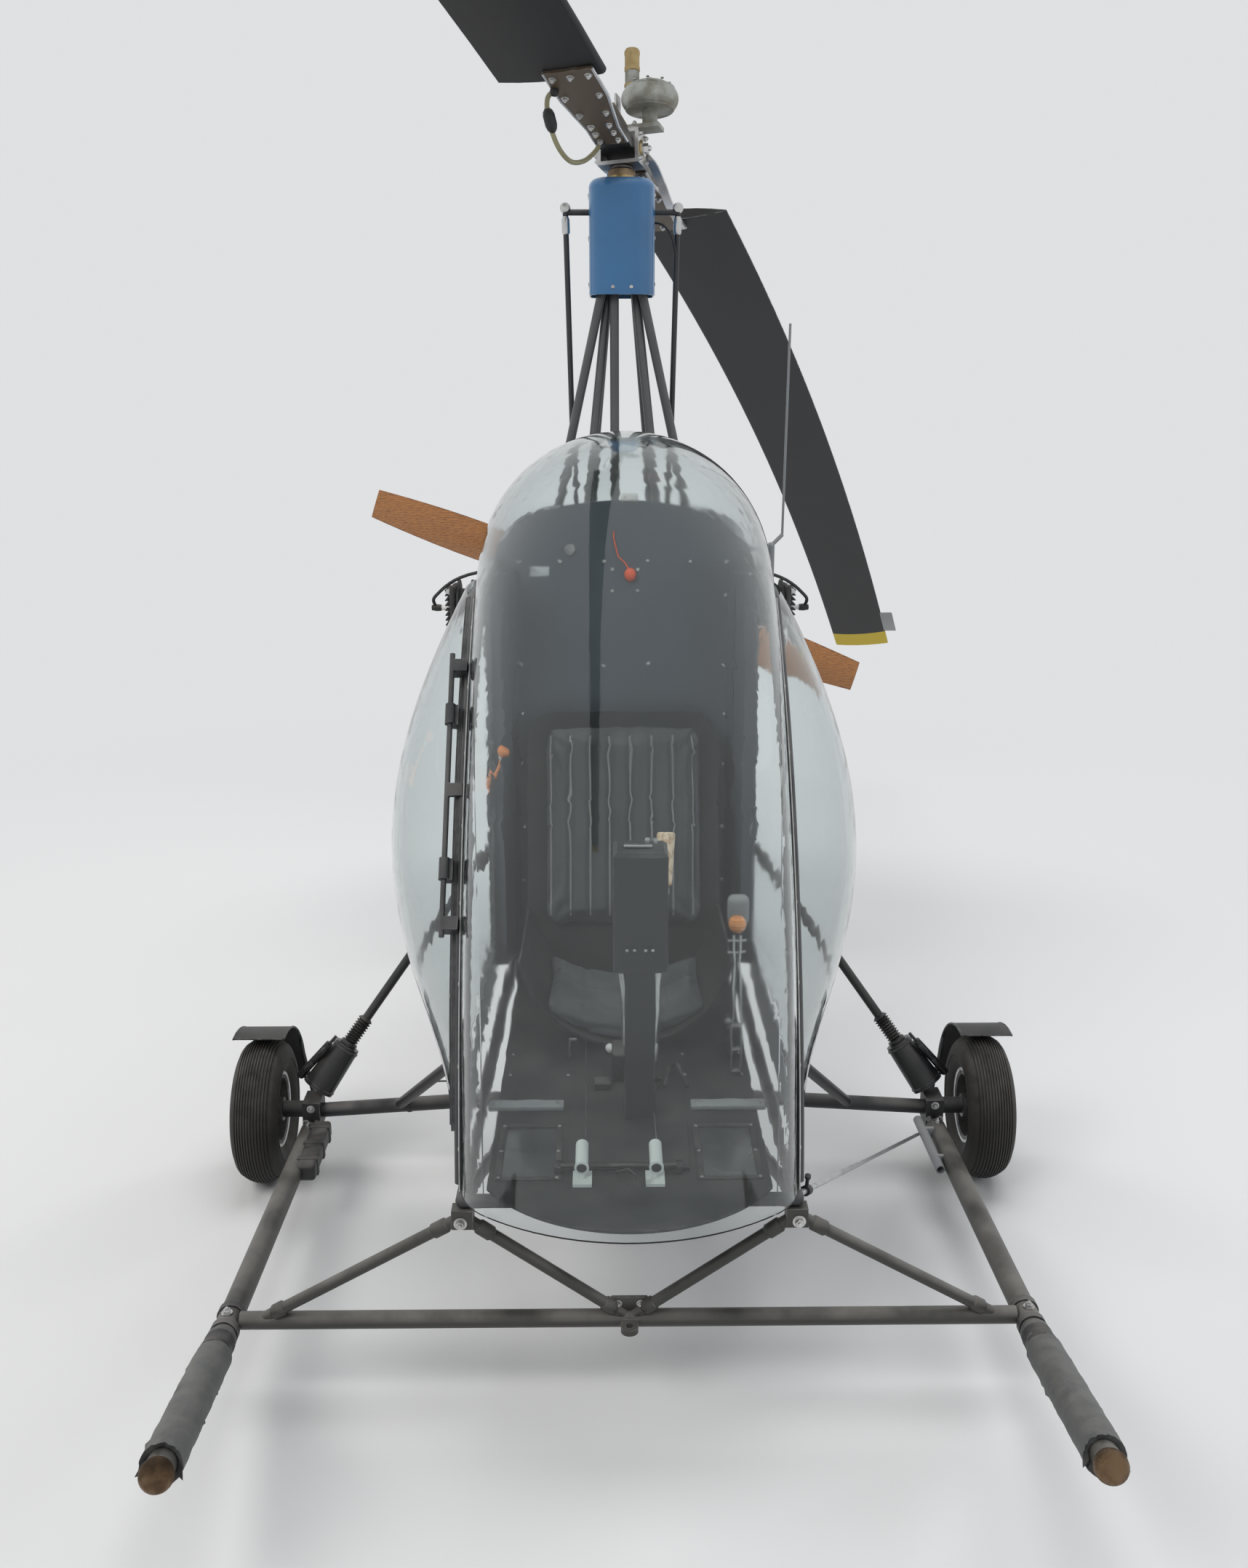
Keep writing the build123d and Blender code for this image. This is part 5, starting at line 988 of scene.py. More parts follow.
        rod.done("bracing_tube", Look.ALLOY)
        clamp = Shape().ring(mm(4.6, -8, 8.5, -8, 8.5, 8, 4.6, 8), (0.281, -0.892, 0.3752), (0.4198, 0.847, -0.3258),
                             20)
        clamp.rod([(0.281, -0.892, 0.382), (0.281, -0.9, 0.402)], 0.003, 10)
        clamp.lathe(mm(0, -4, 5, -2, 5, 3, 0, 5), (0.281, -0.901, 0.404), (0, -0.3, 1.0), 14)
        clamp.done("bracing_clamp", Look.DARK)

    def _skid(self, name: str, sign: int) -> None:
        """Wraps the sleeve, tears its front end, and clamps the skid to the cross tube and the hub bracket."""
        chance = random.Random(40 + sign)
        knee = vec(sign * self.skid_x, -0.96, 0.142)
        toe = vec(sign * 0.612, -1.38, 0.262)
        way_back = (vec(sign * self.skid_x, -0.196, 0.118) - knee).normalized()
        way_out = (toe - knee).normalized()
        reach, steps, thick_from = 0.03, 40, -0.99
        start, end = knee + way_back * reach, knee + way_out * reach
        path = [start * (1 - t) ** 2 + knee * (2 * t * (1 - t)) + end * t ** 2 for t in (k / 12 for k in range(13))]
        span = (toe - knee).length - 0.018
        path += [knee + way_out * (reach + (span - reach) * k / 46) for k in range(1, 47)]
        teeth = {round(steps * turn / 360) % steps: out
                 for turn, out in ((200, 0.012), (275, 0.01), (335, 0.013), (95, 0.009))}
        last = len(path) - 1

        def directions(behind: int, ahead: int) -> tuple[Vector, Vector, Vector]:
            """The path's way between two of its points, and the two ways square to it."""
            along = (path[ahead] - path[behind]).normalized()
            across = (Vector(LEFT) - along * along.x).normalized()
            return along, across, along.cross(across)

        rings = []
        for index, point in enumerate(path):
            along, across, up = directions(max(index - 1, 0), min(index + 1, last))
            thick = point.y <= thick_from
            full = 0.0284 if thick else 0.0236
            ring = []
            for k in range(steps):
                turn = 2 * pi * k / steps
                radius = full + (sin(turn + index * 0.62) * 0.0004 if thick else 0)
                radius += chance.uniform(-0.0004, 0.0004)
                if thick and chance.random() < 0.012:
                    radius += chance.uniform(0.0012, 0.003)
                fray = 0
                if index == last:
                    fray = chance.uniform(-0.005, 0.003) + teeth.get(k, 0)
                    radius += 0.4 * teeth.get(k, 0)
                ring.append(point + along * fray + (across * cos(turn) + up * sin(turn)) * radius)
            rings.append(ring)
        for index, behind, mouth, inset in ((0, 0, 0.0205, 0), (last, last - 1, 0.0206, 0.006)):
            along, across, up = directions(behind, behind + 1)
            lip = [path[index] - along * inset + (across * cos(turn) + up * sin(turn)) * mouth
                   for turn in (2 * pi * k / steps for k in range(steps))]
            rings.insert(0 if index == 0 else len(rings), lip)
        wrap = Shape().sheet(rings, closed=True).done(f"wrapped_sleeve_{name}", Look.SLEEVE, smooth=75.0)
        if sign > 0:
            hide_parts("skid_sleeves")
        clamps = Shape()
        spot = vec(sign * self.skid_x, -0.89, 0.1398)
        for step in (-0.024, 0.024):
            clamps.lathe(mm(20.3, -7, 23.2, -7, 23.2, 7, 20.3, 7), spot + way_back * step, way_back, 32)
        clamps.done(f"skid_clamps_{name}", Look.GEAR)
        tape = Shape()
        for place in (-0.948, -0.962, -0.976):
            lift, slope = (0.0005, -0.03) if place > knee.y else ((knee.y - place) * 0.286 + 0.0012, -0.16)
            tape.ring(mm(20.5, -6.6, 24.6, -6.2, 25, 0, 24.6, 6.2, 20.5, 6.6), (knee.x, place, knee.z + lift),
                      (0, 1.0, slope), 36)
        tape.done(f"skid_tape_{name}", Look.TAPE)
        heads = Shape().bolts([(sign * 0.6505, -0.89, 0.1602)], UP, 0.0062)
        heads.bolts([(sign * 0.65, -0.214, 0.1386)], UP, 0.0058).done(f"skid_bolts_{name}", Look.STEEL)

    def _cross_tube(self) -> None:
        """Adds gussets, strut fork ends and bolts on the front gear frame, and the mudguards' rolled edges."""
        gussets, heads, beads = Shape(), Shape(), Shape()
        for _, sign in sides():
            lug = vec(sign * 0.26, -0.935, 0.3587)
            for foot in (vec(0, -0.89, 0.146), vec(sign * 0.6, -0.89, 0.146)):
                along = (lug - foot).normalized()
                gussets.lathe(mm(9.8, 0, 12.2, 3, 12.2, 26, 9.8, 29), lug - along * 0.058, along, 20)
                gussets.lathe(mm(9.8, 0, 12.5, 4, 12.5, 20, 9.8, 24), foot + along * 0.03, along, 20)
            heads.bolts([lug + vec(sign * 0.003, -0.0128, -0.005)], FORWARD, 0.0072)
            heads.bolts([lug + vec(0, 0.0128, 0)], AFT, 0.0055)
            for x in (0.6965, 0.7995):
                beads.rod([(sign * x, -0.16 + 0.1693 * sin(a), 0.15 + 0.1693 * cos(a))
                           for a in (radians(-8 + 102 * k / 30) for k in range(31))], 0.0022, 8)
        gussets.block((0, -0.89, 0.171), (0.06, 0.006, 0.03))
        heads.bolts([(x, -0.893, 0.174) for x in (-0.018, 0.018)], FORWARD, 0.0045)
        gussets.done("gear_frame_collars", Look.TUBE)
        heads.done("gear_frame_bolts", Look.STEEL)
        beads.done("mudguard_edges", Look.GUARD)


@dataclass
class Cabin(Assembly):
    """Beading, fastenings and fittings of the cabin.

    Attributes:
        half_width: The side hoops' place across.
        bulkhead_y: The bulkhead's front face.
        pedal_places: The pedal tubes' places across.
        knob_places: The white knobs' places across.
        bulkhead_screws: The screws' places across and up.
    """

    half_width: float = 0.262
    bulkhead_y: float = 0.005
    pedal_places: tuple[float, float] = (-0.074, 0.04)
    knob_places: tuple[float, float] = (-0.029, 0.049)
    bulkhead_screws: tuple[tuple[float, float], ...] = (
        (-0.212, 1.27), (-0.127, 1.27), (-0.038, 1.27), (0.051, 1.27), (0.138, 1.27), (0.212, 1.27),
        (-0.022, 1.253), (0.032, 1.253), (-0.021, 1.212), (0.031, 1.212), (-0.039, 1.061), (0.052, 1.061),
        (-0.213, 1.062), (-0.213, 0.957), (-0.213, 0.851), (-0.213, 0.717), (-0.213, 0.596),
        (0.213, 1.202), (0.213, 1.058), (0.213, 0.955), (0.213, 0.849), (0.213, 0.714), (0.213, 0.596))

    def build(self) -> None:
        """Builds everything in and on the cabin."""
        self._edges()
        self._bulkhead()
        self._floor()
        self._instrument()
        self._stick()
        self._pedals()
        self._throttle()
        self._seat()

    def _edges(self) -> None:
        """Runs a dark beading with screws and a bright line along both edges of the windscreen."""
        beads, lines, heads = Shape(), Shape(), Shape()
        aims = ((0.402, -4.0), (0.64, 17.0), (0.88, 31.0), (1.09, 44.0), (1.25, 63.0))
        for _, sign in sides():
            rows = []
            for k in range(49):
                middle = hoop_point(170.4 - (170.4 - 126.5) * k / 48)
                aim = next(a + (b - a) * min(1.0, (middle.z - za) / (zb - za))
                           for (za, a), (zb, b) in zip(aims, aims[1:]) if middle.z <= zb or zb == aims[-1][0])
                out = vec(0, -cos(radians(aim)), sin(radians(aim)))
                face = vec(sign * self.half_width, middle.y, middle.z)
                step = vec(sign, 0, 0)
                rows.append([face + out * reach + step * lift for reach, lift in
                             ((0.0129, 0.0006), (0.0129, 0.0024), (0.0245, 0.0024), (0.0252, 0.0006))])
                if k % 6 == 3:
                    heads.lathe(mm(4, 0, 4, 1.2, 2.8, 2.4, 0, 2.7), face + out * 0.0188 + step * 0.0022, step, 12)
            beads.sheet(rows, closed=True)
            lines.rod([row[2] for row in rows], 0.0011, 6)
        lines.done("windscreen_edge_lines", Look.STEEL)
        beads.done("windscreen_beading", Look.BEADING)
        heads.done("windscreen_screws", Look.STEEL)

    def _bulkhead(self) -> None:
        """Puts the screws, the button, the blank plate, the sealed cord, the top block and the jambs' seams."""
        face = self.bulkhead_y
        heads = Shape().screws([(x, face, z) for x, z in self.bulkhead_screws], FORWARD, 0.0043, 0.0022)
        heads.done("bulkhead_screws", Look.STEEL)
        plate = Shape().block((-0.169, face - 0.0006, 1.25), (0.04, 0.0012, 0.021), 0.0004)
        plate.lathe(mm(11.8, 0, 11.8, 4, 10, 5.6, 0, 6.2), (-0.107, face, 1.294), FORWARD, 28)
        plate.done("bulkhead_plate_and_button", Look.ALLOY)
        seal = Shape().lathe(mm(12.5, 0, 12.8, 4, 9.8, 8.2, 4.5, 10, 0, 10.4), (0.016, face, 1.244), FORWARD, 26)
        seal.rod([(x, face - off, z) for x, off, z in (
            (0.013, 0.004, 1.254), (0.003, 0.004, 1.268), (-0.009, 0.003, 1.28), (-0.013, 0.003, 1.292),
            (-0.016, 0.003, 1.31), (-0.019, 0.002, 1.331))], 0.0014, 8)
        seal.done("sealed_red_cord", Look.SEAL)
        block = Shape().block((0.014, 0.006, 1.3985), (0.034, 0.016, 0.017), 0.004, steps=3)
        block.screws([(x, -0.002, 1.3985) for x in (0.005, 0.023)], FORWARD, 0.0022, 0.0012)
        block.done("white_top_block", Look.WHITE)
        seams = Shape()
        for _, sign in sides():
            seams.block((sign * 0.2305, -0.029, 0.85), (0.0022, 0.01, 0.76), 0.0008,
                        Matrix.Rotation(radians(-sign * 20.0), 3, "Z"))
        seams.done("jamb_seams", Look.BEADING)

    def _floor(self) -> None:
        """Adds floor screws, the lookouts' frames, opaque dark panes painted with the shade seen through the
        lookouts, and the cross bars.
        """
        frames, panes, bars, heads = Shape(), Shape(), Shape(), Shape()
        for _, sign in sides():
            spot = floor_spot(sign * 0.16, -0.82)
            for x, y, wide, deep in ((0, 0.0805, 0.096, 0.01), (0, -0.0805, 0.096, 0.01),
                                     (0.047, 0, 0.01, 0.171), (-0.047, 0, 0.01, 0.171)):
                frames.block(spot.at(x, y, 0.001), (wide, deep, 0.002), 0.0006, spot.turn)
            heads.screws([spot.at(x, y, 0.002) for x in (-0.046, 0.046) for y in (-0.079, 0, 0.079)], spot.z, 0.003,
                         0.0014)
            # Painted shade: the pane is opaque and dark where the shaded floor below would show through.
            panes.block(spot.at(0, 0, -0.0012), (0.0838, 0.1498, 0.002), 0.0004, spot.turn)
        frames.done("lookout_frames", Look.BEADING)
        panes.done("lookout_shade_panes", Look.LOOKOUT_SHADE)
        for _, sign in sides():
            spot = floor_spot(sign * 0.173, -0.677)
            bars.block(spot.at(0, 0, 0.0045), (0.128, 0.026, 0.009), 0.0025, spot.turn)
            heads.screws([spot.at(x, 0, 0.009) for x in (-0.052, 0.052)], spot.z, 0.0035, 0.0018)
        bars.done("floor_cross_bars", Look.PLATE_GREY)
        heads.screws([floor_spot(x, y).origin for x in (-0.208, -0.104, 0.104, 0.208) for y in (-0.56, -0.48)],
                     floor_spot(0, 0).z, 0.0035, 0.0016)
        heads.done("floor_screws", Look.STEEL)

    def _instrument(self) -> None:
        """Dresses the instrument head and its post."""
        low, high = (Vector(p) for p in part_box("instrument_post"))
        middle = (low + high) / 2
        top = high.z
        bright = Shape().block((middle.x - 0.004, middle.y - 0.012, top + 0.0022), (0.046, 0.01, 0.005), 0.0015)
        for x, y in ((0.012, 0.014), (0.024, 0.01)):
            bright.lathe(mm(4.2, 0, 4.2, 6, 3, 8.5, 0, 9), (middle.x + x, middle.y + y, top - 0.0005), UP, 14)
        bright.done("instrument_top_bar", Look.ALLOY)
        Shape().lathe(mm(27, 0, 27.5, 3, 24.5, 4.5, 23.5, 1.8, 0, 1.8), (middle.x, high.y, top - 0.04), AFT,
                      40).done("instrument_bezel", Look.DARK)
        Shape().screws([(middle.x + x, low.y, top - 0.165) for x in (-0.022, -0.01, 0.008, 0.02)], FORWARD, 0.0028,
                       0.0016).done("instrument_screws", Look.STEEL)

    def _stick(self) -> None:
        """Adds the grip's end cap and ferrule, the boot's folds and the trim lever beside the stick."""
        foot = floor_spot(0.04, -0.6, 0.0003).origin
        top = vec(0.066, -0.47, 0.742)
        run = (top - foot).normalized()
        bright = Shape().lathe(mm(9.5, 0, 13, 2, 13, 12, 9.5, 15), top - run * 0.016, run, 24)
        bright.lathe(mm(9.5, 0, 12.5, 3, 12.5, 30, 9.5, 34), foot + run * 0.04, run, 24)
        bright.done("stick_ferrule", Look.STEEL)
        folds = [fold for k in range(6) for fold in ((0.0235 - 0.002 * k, 0.0142 + 0.005 * k),
                                                     (0.02 - 0.002 * k, 0.0167 + 0.005 * k))]
        Shape().lathe(folds, foot, run, 30).done("stick_boot", Look.DARK)
        base = floor_spot(-0.006, -0.56)
        Shape().block(base.at(0, 0, 0.028), (0.04, 0.06, 0.056), 0.006, base.turn, 3).done("trim_box", Look.DARK)
        arm = Shape().rod([base.at(0.004, 0, 0.05), base.at(0.002, 0.018, 0.135), base.at(-0.004, 0.03, 0.185)],
                          [0.0058, 0.0055, 0.005], 16)
        arm.lathe(mm(0, -8, 8.5, -4, 10, 2, 8, 9, 0, 12), base.at(-0.004, 0.03, 0.19), (0, 0.1, 1.0), 20)
        arm.block(base.at(0.014, 0.004, 0.062), (0.006, 0.026, 0.03), 0.002, base.turn)
        arm.done("trim_lever", Look.STEEL)

    def _pedals(self) -> None:
        """Adds the pedal tubes' hollow ends, their cross shaft and the cables."""
        ends, bore, cables = Shape(), Shape(), Shape()
        way = vec(0, -1.0, -0.09).normalized()
        for x in self.pedal_places:
            tip = vec(x, -0.961, 0.456)
            ends.ring(mm(7.8, -4, 11, -4, 11.2, 1, 8, 1.2), tip, way, 24)
            bore.lathe(mm(7.8, 0, 7.8, 0.6, 0, 0.6), tip, way, 20)
            cables.rod([floor_spot(x + 0.006, -0.897, 0.026).origin, floor_spot(x + 0.004, -0.76, 0.018).origin,
                        floor_spot(x, -0.44, 0.006).origin], 0.0012, 6)
        ends.done("pedal_tube_ends", Look.CREAM)
        bore.done("pedal_tube_bores", Look.DARK)
        gear = Shape()
        spot = floor_spot(-0.017, -0.88)
        gear.rod([spot.at(-0.1, 0, 0.012), spot.at(0.1, 0, 0.012)], 0.0045, 14)
        for x in (-0.096, 0.096):
            gear.block(spot.at(x, 0, 0.008), (0.01, 0.022, 0.016), 0.002, spot.turn)
        gear.rod([spot.at(-0.004, -0.012, 0.006), spot.at(0.016, -0.03, 0.022), spot.at(0.03, -0.058, 0.026)],
                 0.0028, 10)
        gear.done("pedal_cross_shaft", Look.DARK_STEEL)
        cables.done("rudder_cables", Look.STEEL)

    def _throttle(self) -> None:
        """Gives the throttle its orange knob, cross handle, twin rods and fork."""
        top = vec(0.2, -0.5, 0.68)
        Shape().lathe(mm(0, -16.5, 8, -14.5, 14, -8.5, 16.4, 0, 14.8, 8, 9.2, 13.8, 0, 16), top, (0, -0.1, 1.0),
                      30).done("throttle_knob", Look.ORANGE)
        bright = Shape()
        for drop in (0.03, 0.052):
            bright.rod([top + vec(x, -0.002, -drop) for x in (-0.017, 0.017)], 0.0026, 10)
        for x in (-0.006, 0.006):
            bright.rod([top + Vector(p) for p in ((x, -0.003, -0.02), (x, -0.024, -0.11), (x * 1.5, -0.04, -0.175))],
                       0.0021, 10)
        bright.done("throttle_rods", Look.STEEL)
        fork = Shape()
        base = floor_spot(0.196, -0.56)
        for x in (-0.0085, 0.0085):
            fork.block(base.at(x, 0, 0.052), (0.003, 0.012, 0.094), 0.001, base.turn)
        for z in (0.008, 0.05, 0.096):
            fork.block(base.at(0, 0, z), (0.02, 0.012, 0.003), 0.001, base.turn)
        fork.lathe(mm(0, -5.5, 5, -3, 5.8, 1, 4, 5, 0, 6), base.at(-0.016, 0, 0.104), FORWARD, 16)
        fork.done("throttle_fork", Look.ALLOY)
        Shape().block((0.206, -0.452, 0.69), (0.04, 0.03, 0.056), 0.012, steps=4).done(
            "throttle_housing", Look.PLATE_GREY)

    def _seat(self) -> None:
        """Adds the two white knobs, the hanging switch and the loop under the seat's front."""
        knobs, stems, dark = Shape(), Shape(), Shape()
        for x in self.knob_places:
            spot = floor_spot(x, -0.484, 0.01)
            knobs.lathe(mm(0, -8.8, 5.6, -6.8, 8.6, -1, 7.8, 4.6, 4, 8, 0, 8.8), spot.at(0, 0, 0.004), spot.z, 22)
            spot = floor_spot(x, -0.484)
            stems.rod([spot.at(0, 0, -0.001), spot.at(0, 0, 0.008)], 0.0028, 10)
        knobs.done("white_knobs", Look.WHITE)
        spot = floor_spot(-0.104, -0.5)
        stems.block(spot.at(0, 0, 0.02), (0.0042, 0.003, 0.042), 0.001, spot.turn)
        stems.block(spot.at(0.006, 0, 0.04), (0.016, 0.005, 0.006), 0.0015, spot.turn)
        stems.done("knob_stems", Look.STEEL)
        spot = floor_spot(-0.042, -0.605)
        dark.block(spot.at(0, 0, 0.007), (0.03, 0.028, 0.014), 0.003, spot.turn)
        dark.rod([spot.at(0, 0.014, 0.01), spot.at(0.002, 0.05, 0.007), spot.at(0.003, 0.082, 0.004)], 0.0012, 8)
        hook = floor_spot(0.08, -0.6)
        for places in (((0, 0.06, 0.004), (0.01, 0.02, 0.03), (0.026, -0.016, 0.006)),
                       ((0, 0.06, 0.004), (-0.006, 0.016, 0.022), (-0.014, -0.014, 0.006))):
            dark.rod([hook.at(*p) for p in places], 0.003, 10)
        dark.done("floor_switch_and_hook", Look.DARK)


@dataclass
class Cushions(Assembly):
    """The seat's two cushions, swelled by a cloth simulation.

    Attributes:
        lean: The back's lean in degrees.
        ribs: Places across of the back cushion's sewn channels.
        frames: Frames that the simulation runs.
    """

    lean: float = 17.0
    ribs: tuple[float, ...] = (-0.147, -0.107, -0.067, -0.028, 0.014, 0.057, 0.1, 0.14)
    frames: int = 20

    def build(self) -> None:
        """Builds the back's cushion and the seat's."""
        turn = radians(self.lean)
        up = vec(0, sin(turn), cos(turn))
        out = vec(0, -up.z, up.y)
        back = Spot(vec(0, -0.205, 0.4366), Vector(LEFT), out)
        self._back(back)
        self._seat()

    def _pad(self, name: str, rows: Sequence[Sequence[Vector]], cap: float, towards: Vector) -> bpy.types.Object:
        """Swells a closed form with cloth pressure and keeps its resting side flat.

        Args:
            name: The piece's name.
            rows: Closed rows of points; the first and the last are capped.
            cap: The furthest that a point may move.
            towards: The way the pad faces; its rear side is held.

        Returns:
            The pad.
        """
        shape = Shape().sheet(rows, closed=True).cap(rows[0], 1).cap(rows[-1], -1)
        pad = shape.done(name, Look.CUSHION, smooth=180.0)
        remesh = pad.modifiers.new("fine", "REMESH")
        remesh.mode = "VOXEL"
        remesh.voxel_size = 0.0055
        self._apply(pad, remesh)
        start = [v.co.copy() for v in pad.data.vertices]
        floor = min(p.dot(towards) for p in start)
        held = pad.vertex_groups.new(name="held")
        held.add([v.index for v in pad.data.vertices if v.co.dot(towards) < floor + 0.004], 1.0, "REPLACE")
        cloth = pad.modifiers.new("swell", "CLOTH")
        for name, value in (("quality", 5), ("mass", 0.3), ("tension_stiffness", 15), ("compression_stiffness", 15),
                            ("bending_stiffness", 2.0), ("use_pressure", True), ("uniform_pressure_force", 4.0),
                            ("vertex_group_mass", "held")):
            setattr(cloth.settings, name, value)
        cloth.settings.effector_weights.gravity = 0
        cloth.point_cache.frame_start = 1
        cloth.point_cache.frame_end = self.frames
        scene = bpy.context.scene
        for frame in range(1, self.frames + 1):
            scene.frame_set(frame)
        swollen = pad.evaluated_get(bpy.context.evaluated_depsgraph_get()).data
        moved = [v.co.copy() for v in swollen.vertices]
        pad.modifiers.remove(cloth)
        scene.frame_set(1)
        for vertex, home, away in zip(pad.data.vertices, start, moved):
            step = away - home
            if step.length > cap:
                step = step.normalized() * cap
            vertex.co = home + step
        pad.vertex_groups.clear()
        return pad

    @staticmethod
    def _apply(piece: bpy.types.Object, modifier: bpy.types.Modifier) -> None:
        """Makes a modifier's result the piece's own mesh."""
        made = bpy.data.meshes.new_from_object(piece.evaluated_get(bpy.context.evaluated_depsgraph_get()))
        piece.modifiers.remove(modifier)
        piece.data = made

    def _finish(self, pad: bpy.types.Object, node: str) -> None:
        smooth = pad.modifiers.new("smooth", "SUBSURF")
        smooth.levels = 1
        smooth.render_levels = 1
        self._apply(pad, smooth)
        pad.data.shade_smooth()
        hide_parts(node)
        log.info("%s has %d faces", pad.name, len(pad.data.polygons))

    def _back(self, spot: Spot) -> None:
        """Builds the back cushion with its sewn channels."""
        half, low, high, thick = 0.16, 0.126, 0.529, 0.034
        corner, middle = 0.032, (low + high) / 2
        rows = [[spot.at(x + corner * c, middle + y + corner * s, lift)
                 for x, y, c, s in round_corners(half - shrink, (high - low) / 2 - shrink, corner, 7)]
                for lift, shrink in ((0.0015, 0.01), (0.006, 0.003), (thick * 0.6, 0),
                                     (thick - 0.006, 0.004), (thick, 0.014))]
        pad = self._pad("ribbed_back_cushion", rows, 0.01, spot.z)
        for vertex in pad.data.vertices:
            away = vertex.co - spot.origin
            height = away.dot(spot.z)
            if height < 0.01:
                continue
            across = min(abs(away.x - rib) for rib in self.ribs)
            inside = min(1.0, max(0, (min(away.dot(spot.y) - low, high - away.dot(spot.y)) - 0.012) / 0.02))
            depth = 0.0105 * exp(-(across / 0.005) ** 2) * inside
            crown = 0.0035 * exp(-((across - 0.013) / 0.007) ** 2) * inside
            vertex.co += spot.z * (crown - depth)
        self._finish(pad, "back_cushion")
        self._piping(pad, spot, low + 0.022, high - 0.022)

    def _piping(self, pad: bpy.types.Object, spot: Spot, low: float, high: float) -> None:
        """Lays a pale cord in each sewn channel of the back cushion.

        Args:
            pad: The finished cushion.
            spot: The cushion's own directions.
            low: Where the cords start, up the back.
            high: Where they end.
        """
        places = [(p.x, (p - spot.origin).dot(spot.y), (p - spot.origin).dot(spot.z))
                  for p in (v.co for v in pad.data.vertices)]
        cords = Shape()
        for rib in self.ribs:
            near = [(up, height) for x, up, height in places if abs(x - rib) < 0.0035 and height > 0.012]
            route = []
            for k in range(25):
                level = low + (high - low) * k / 24
                heights = [height for up, height in near if abs(up - level) < 0.01]
                if heights:
                    route.append(spot.at(rib, level, sum(heights) / len(heights) + 0.0006))
            if len(route) > 2:
                cords.rod(route, 0.0017, 8)
        cords.done("cushion_piping", Look.PIPING)

    def _seat(self) -> None:
        """Builds the seat's cushion in the trough."""
        box = [Vector(p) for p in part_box("seat_cushion")]
        front, rear = box[0].y + 0.004, box[1].y - 0.004
        centre_z, radius = 0.4369 + 0.1953, 0.1953
        half = 0.142
        rows = []
        for along, shrink in ((front + 0.001, 0.012), (front + 0.007, 0.003), (front + 0.02, 0),
                              ((front + rear) / 2, 0), (rear - 0.02, 0), (rear - 0.007, 0.003),
                              (rear - 0.001, 0.012)):
            under, over = [], []
            for k in range(15):
                x = (half - shrink) * (-1 + 2 * k / 14)
                low = centre_z - sqrt(radius ** 2 - x ** 2) + 0.0012 + shrink * 0.8
                thick = (0.036 - shrink) * (1 - 0.35 * (x / half) ** 2) - shrink * 0.5
                under.append(vec(x, along, low))
                over.append(vec(x, along, low + max(0.006, thick)))
            rows.append(under + list(reversed(over)))
        pad = self._pad("seat_cushion_pad", rows, 0.01, Vector(UP))
        middle = (front + rear) / 2
        for vertex in pad.data.vertices:
            low = centre_z - sqrt(max(0, radius ** 2 - vertex.co.x ** 2))
            if vertex.co.z < low + 0.0008:
                vertex.co.z = low + 0.0008
            if vertex.co.z > low + 0.016:
                for seam in (-0.075, 0, 0.075):
                    vertex.co.z -= 0.005 * exp(-((vertex.co.x - seam) / 0.005) ** 2)
                vertex.co.z -= 0.004 * exp(-((vertex.co.y - middle) / 0.005) ** 2)
        self._finish(pad, "seat_cushion")


@dataclass
class Door(Assembly):
    """The door's beading, hinge hardware, handle and catch.

    Attributes:
        face_x: The outer face of the door's edge strip.
        rear_y: Its rear strip's middle.
    """

    face_x: float = -0.2796
    rear_y: float = -0.0905

    def build(self) -> None:
        """Builds what rides on the door and what the door meets."""
        bead, heads = Shape(), Shape()
        low, height, out = 0.486, 0.76, self.face_x - 0.0028
        bead.sheet([[vec(self.face_x - lift, edge_y(z) + 0.012 + step, z)
                     for lift, step in ((0.0002, 0), (0.003, 0.001), (0.003, 0.01), (0.0002, 0.011))]
                    for z in (low + height * k / 40 for k in range(41))], closed=True)
        bead.block((self.face_x - 0.0015, self.rear_y, 0.866), (0.0028, 0.008, 0.76), 0.001)
        bead.done("door_beading", Look.BEADING, Body.DOOR)
        for z in (low + height * k / 8 for k in range(1, 8)):
            heads.screws([(out, edge_y(z) + 0.0175, z), (out, self.rear_y, z)], RIGHT, 0.0034, 0.0018)
        heads.done("door_screws", Look.STEEL, Body.DOOR)
        fixings = Shape().screws([(-0.2743, -0.1173 + dy, 0.838 + dz) for dy, dz in (
            (-0.009, -0.01), (0.009, -0.01), (-0.009, 0.01), (0.009, 0.01))], LEFT, 0.0024, 0.0014)
        foot = vec(-0.2768, -0.122, 0.838)
        stem = vec(-0.243, -0.122, 0.908) - foot
        fixings.lathe(mm(4, 0, 6.2, 1, 6.2, 8, 4, 9), foot + stem * 0.8, stem, 20)
        fixings.done("door_handle_fixings", Look.STEEL, Body.DOOR)
        catch = Shape().block((self.face_x - 0.002, self.rear_y, 0.802), (0.005, 0.021, 0.02), 0.0012)
        catch.block((self.face_x - 0.002, self.rear_y, 0.718), (0.0044, 0.012, 0.012), 0.001)
        catch.done("door_catch_plates", Look.PLATE_GREY, Body.DOOR)


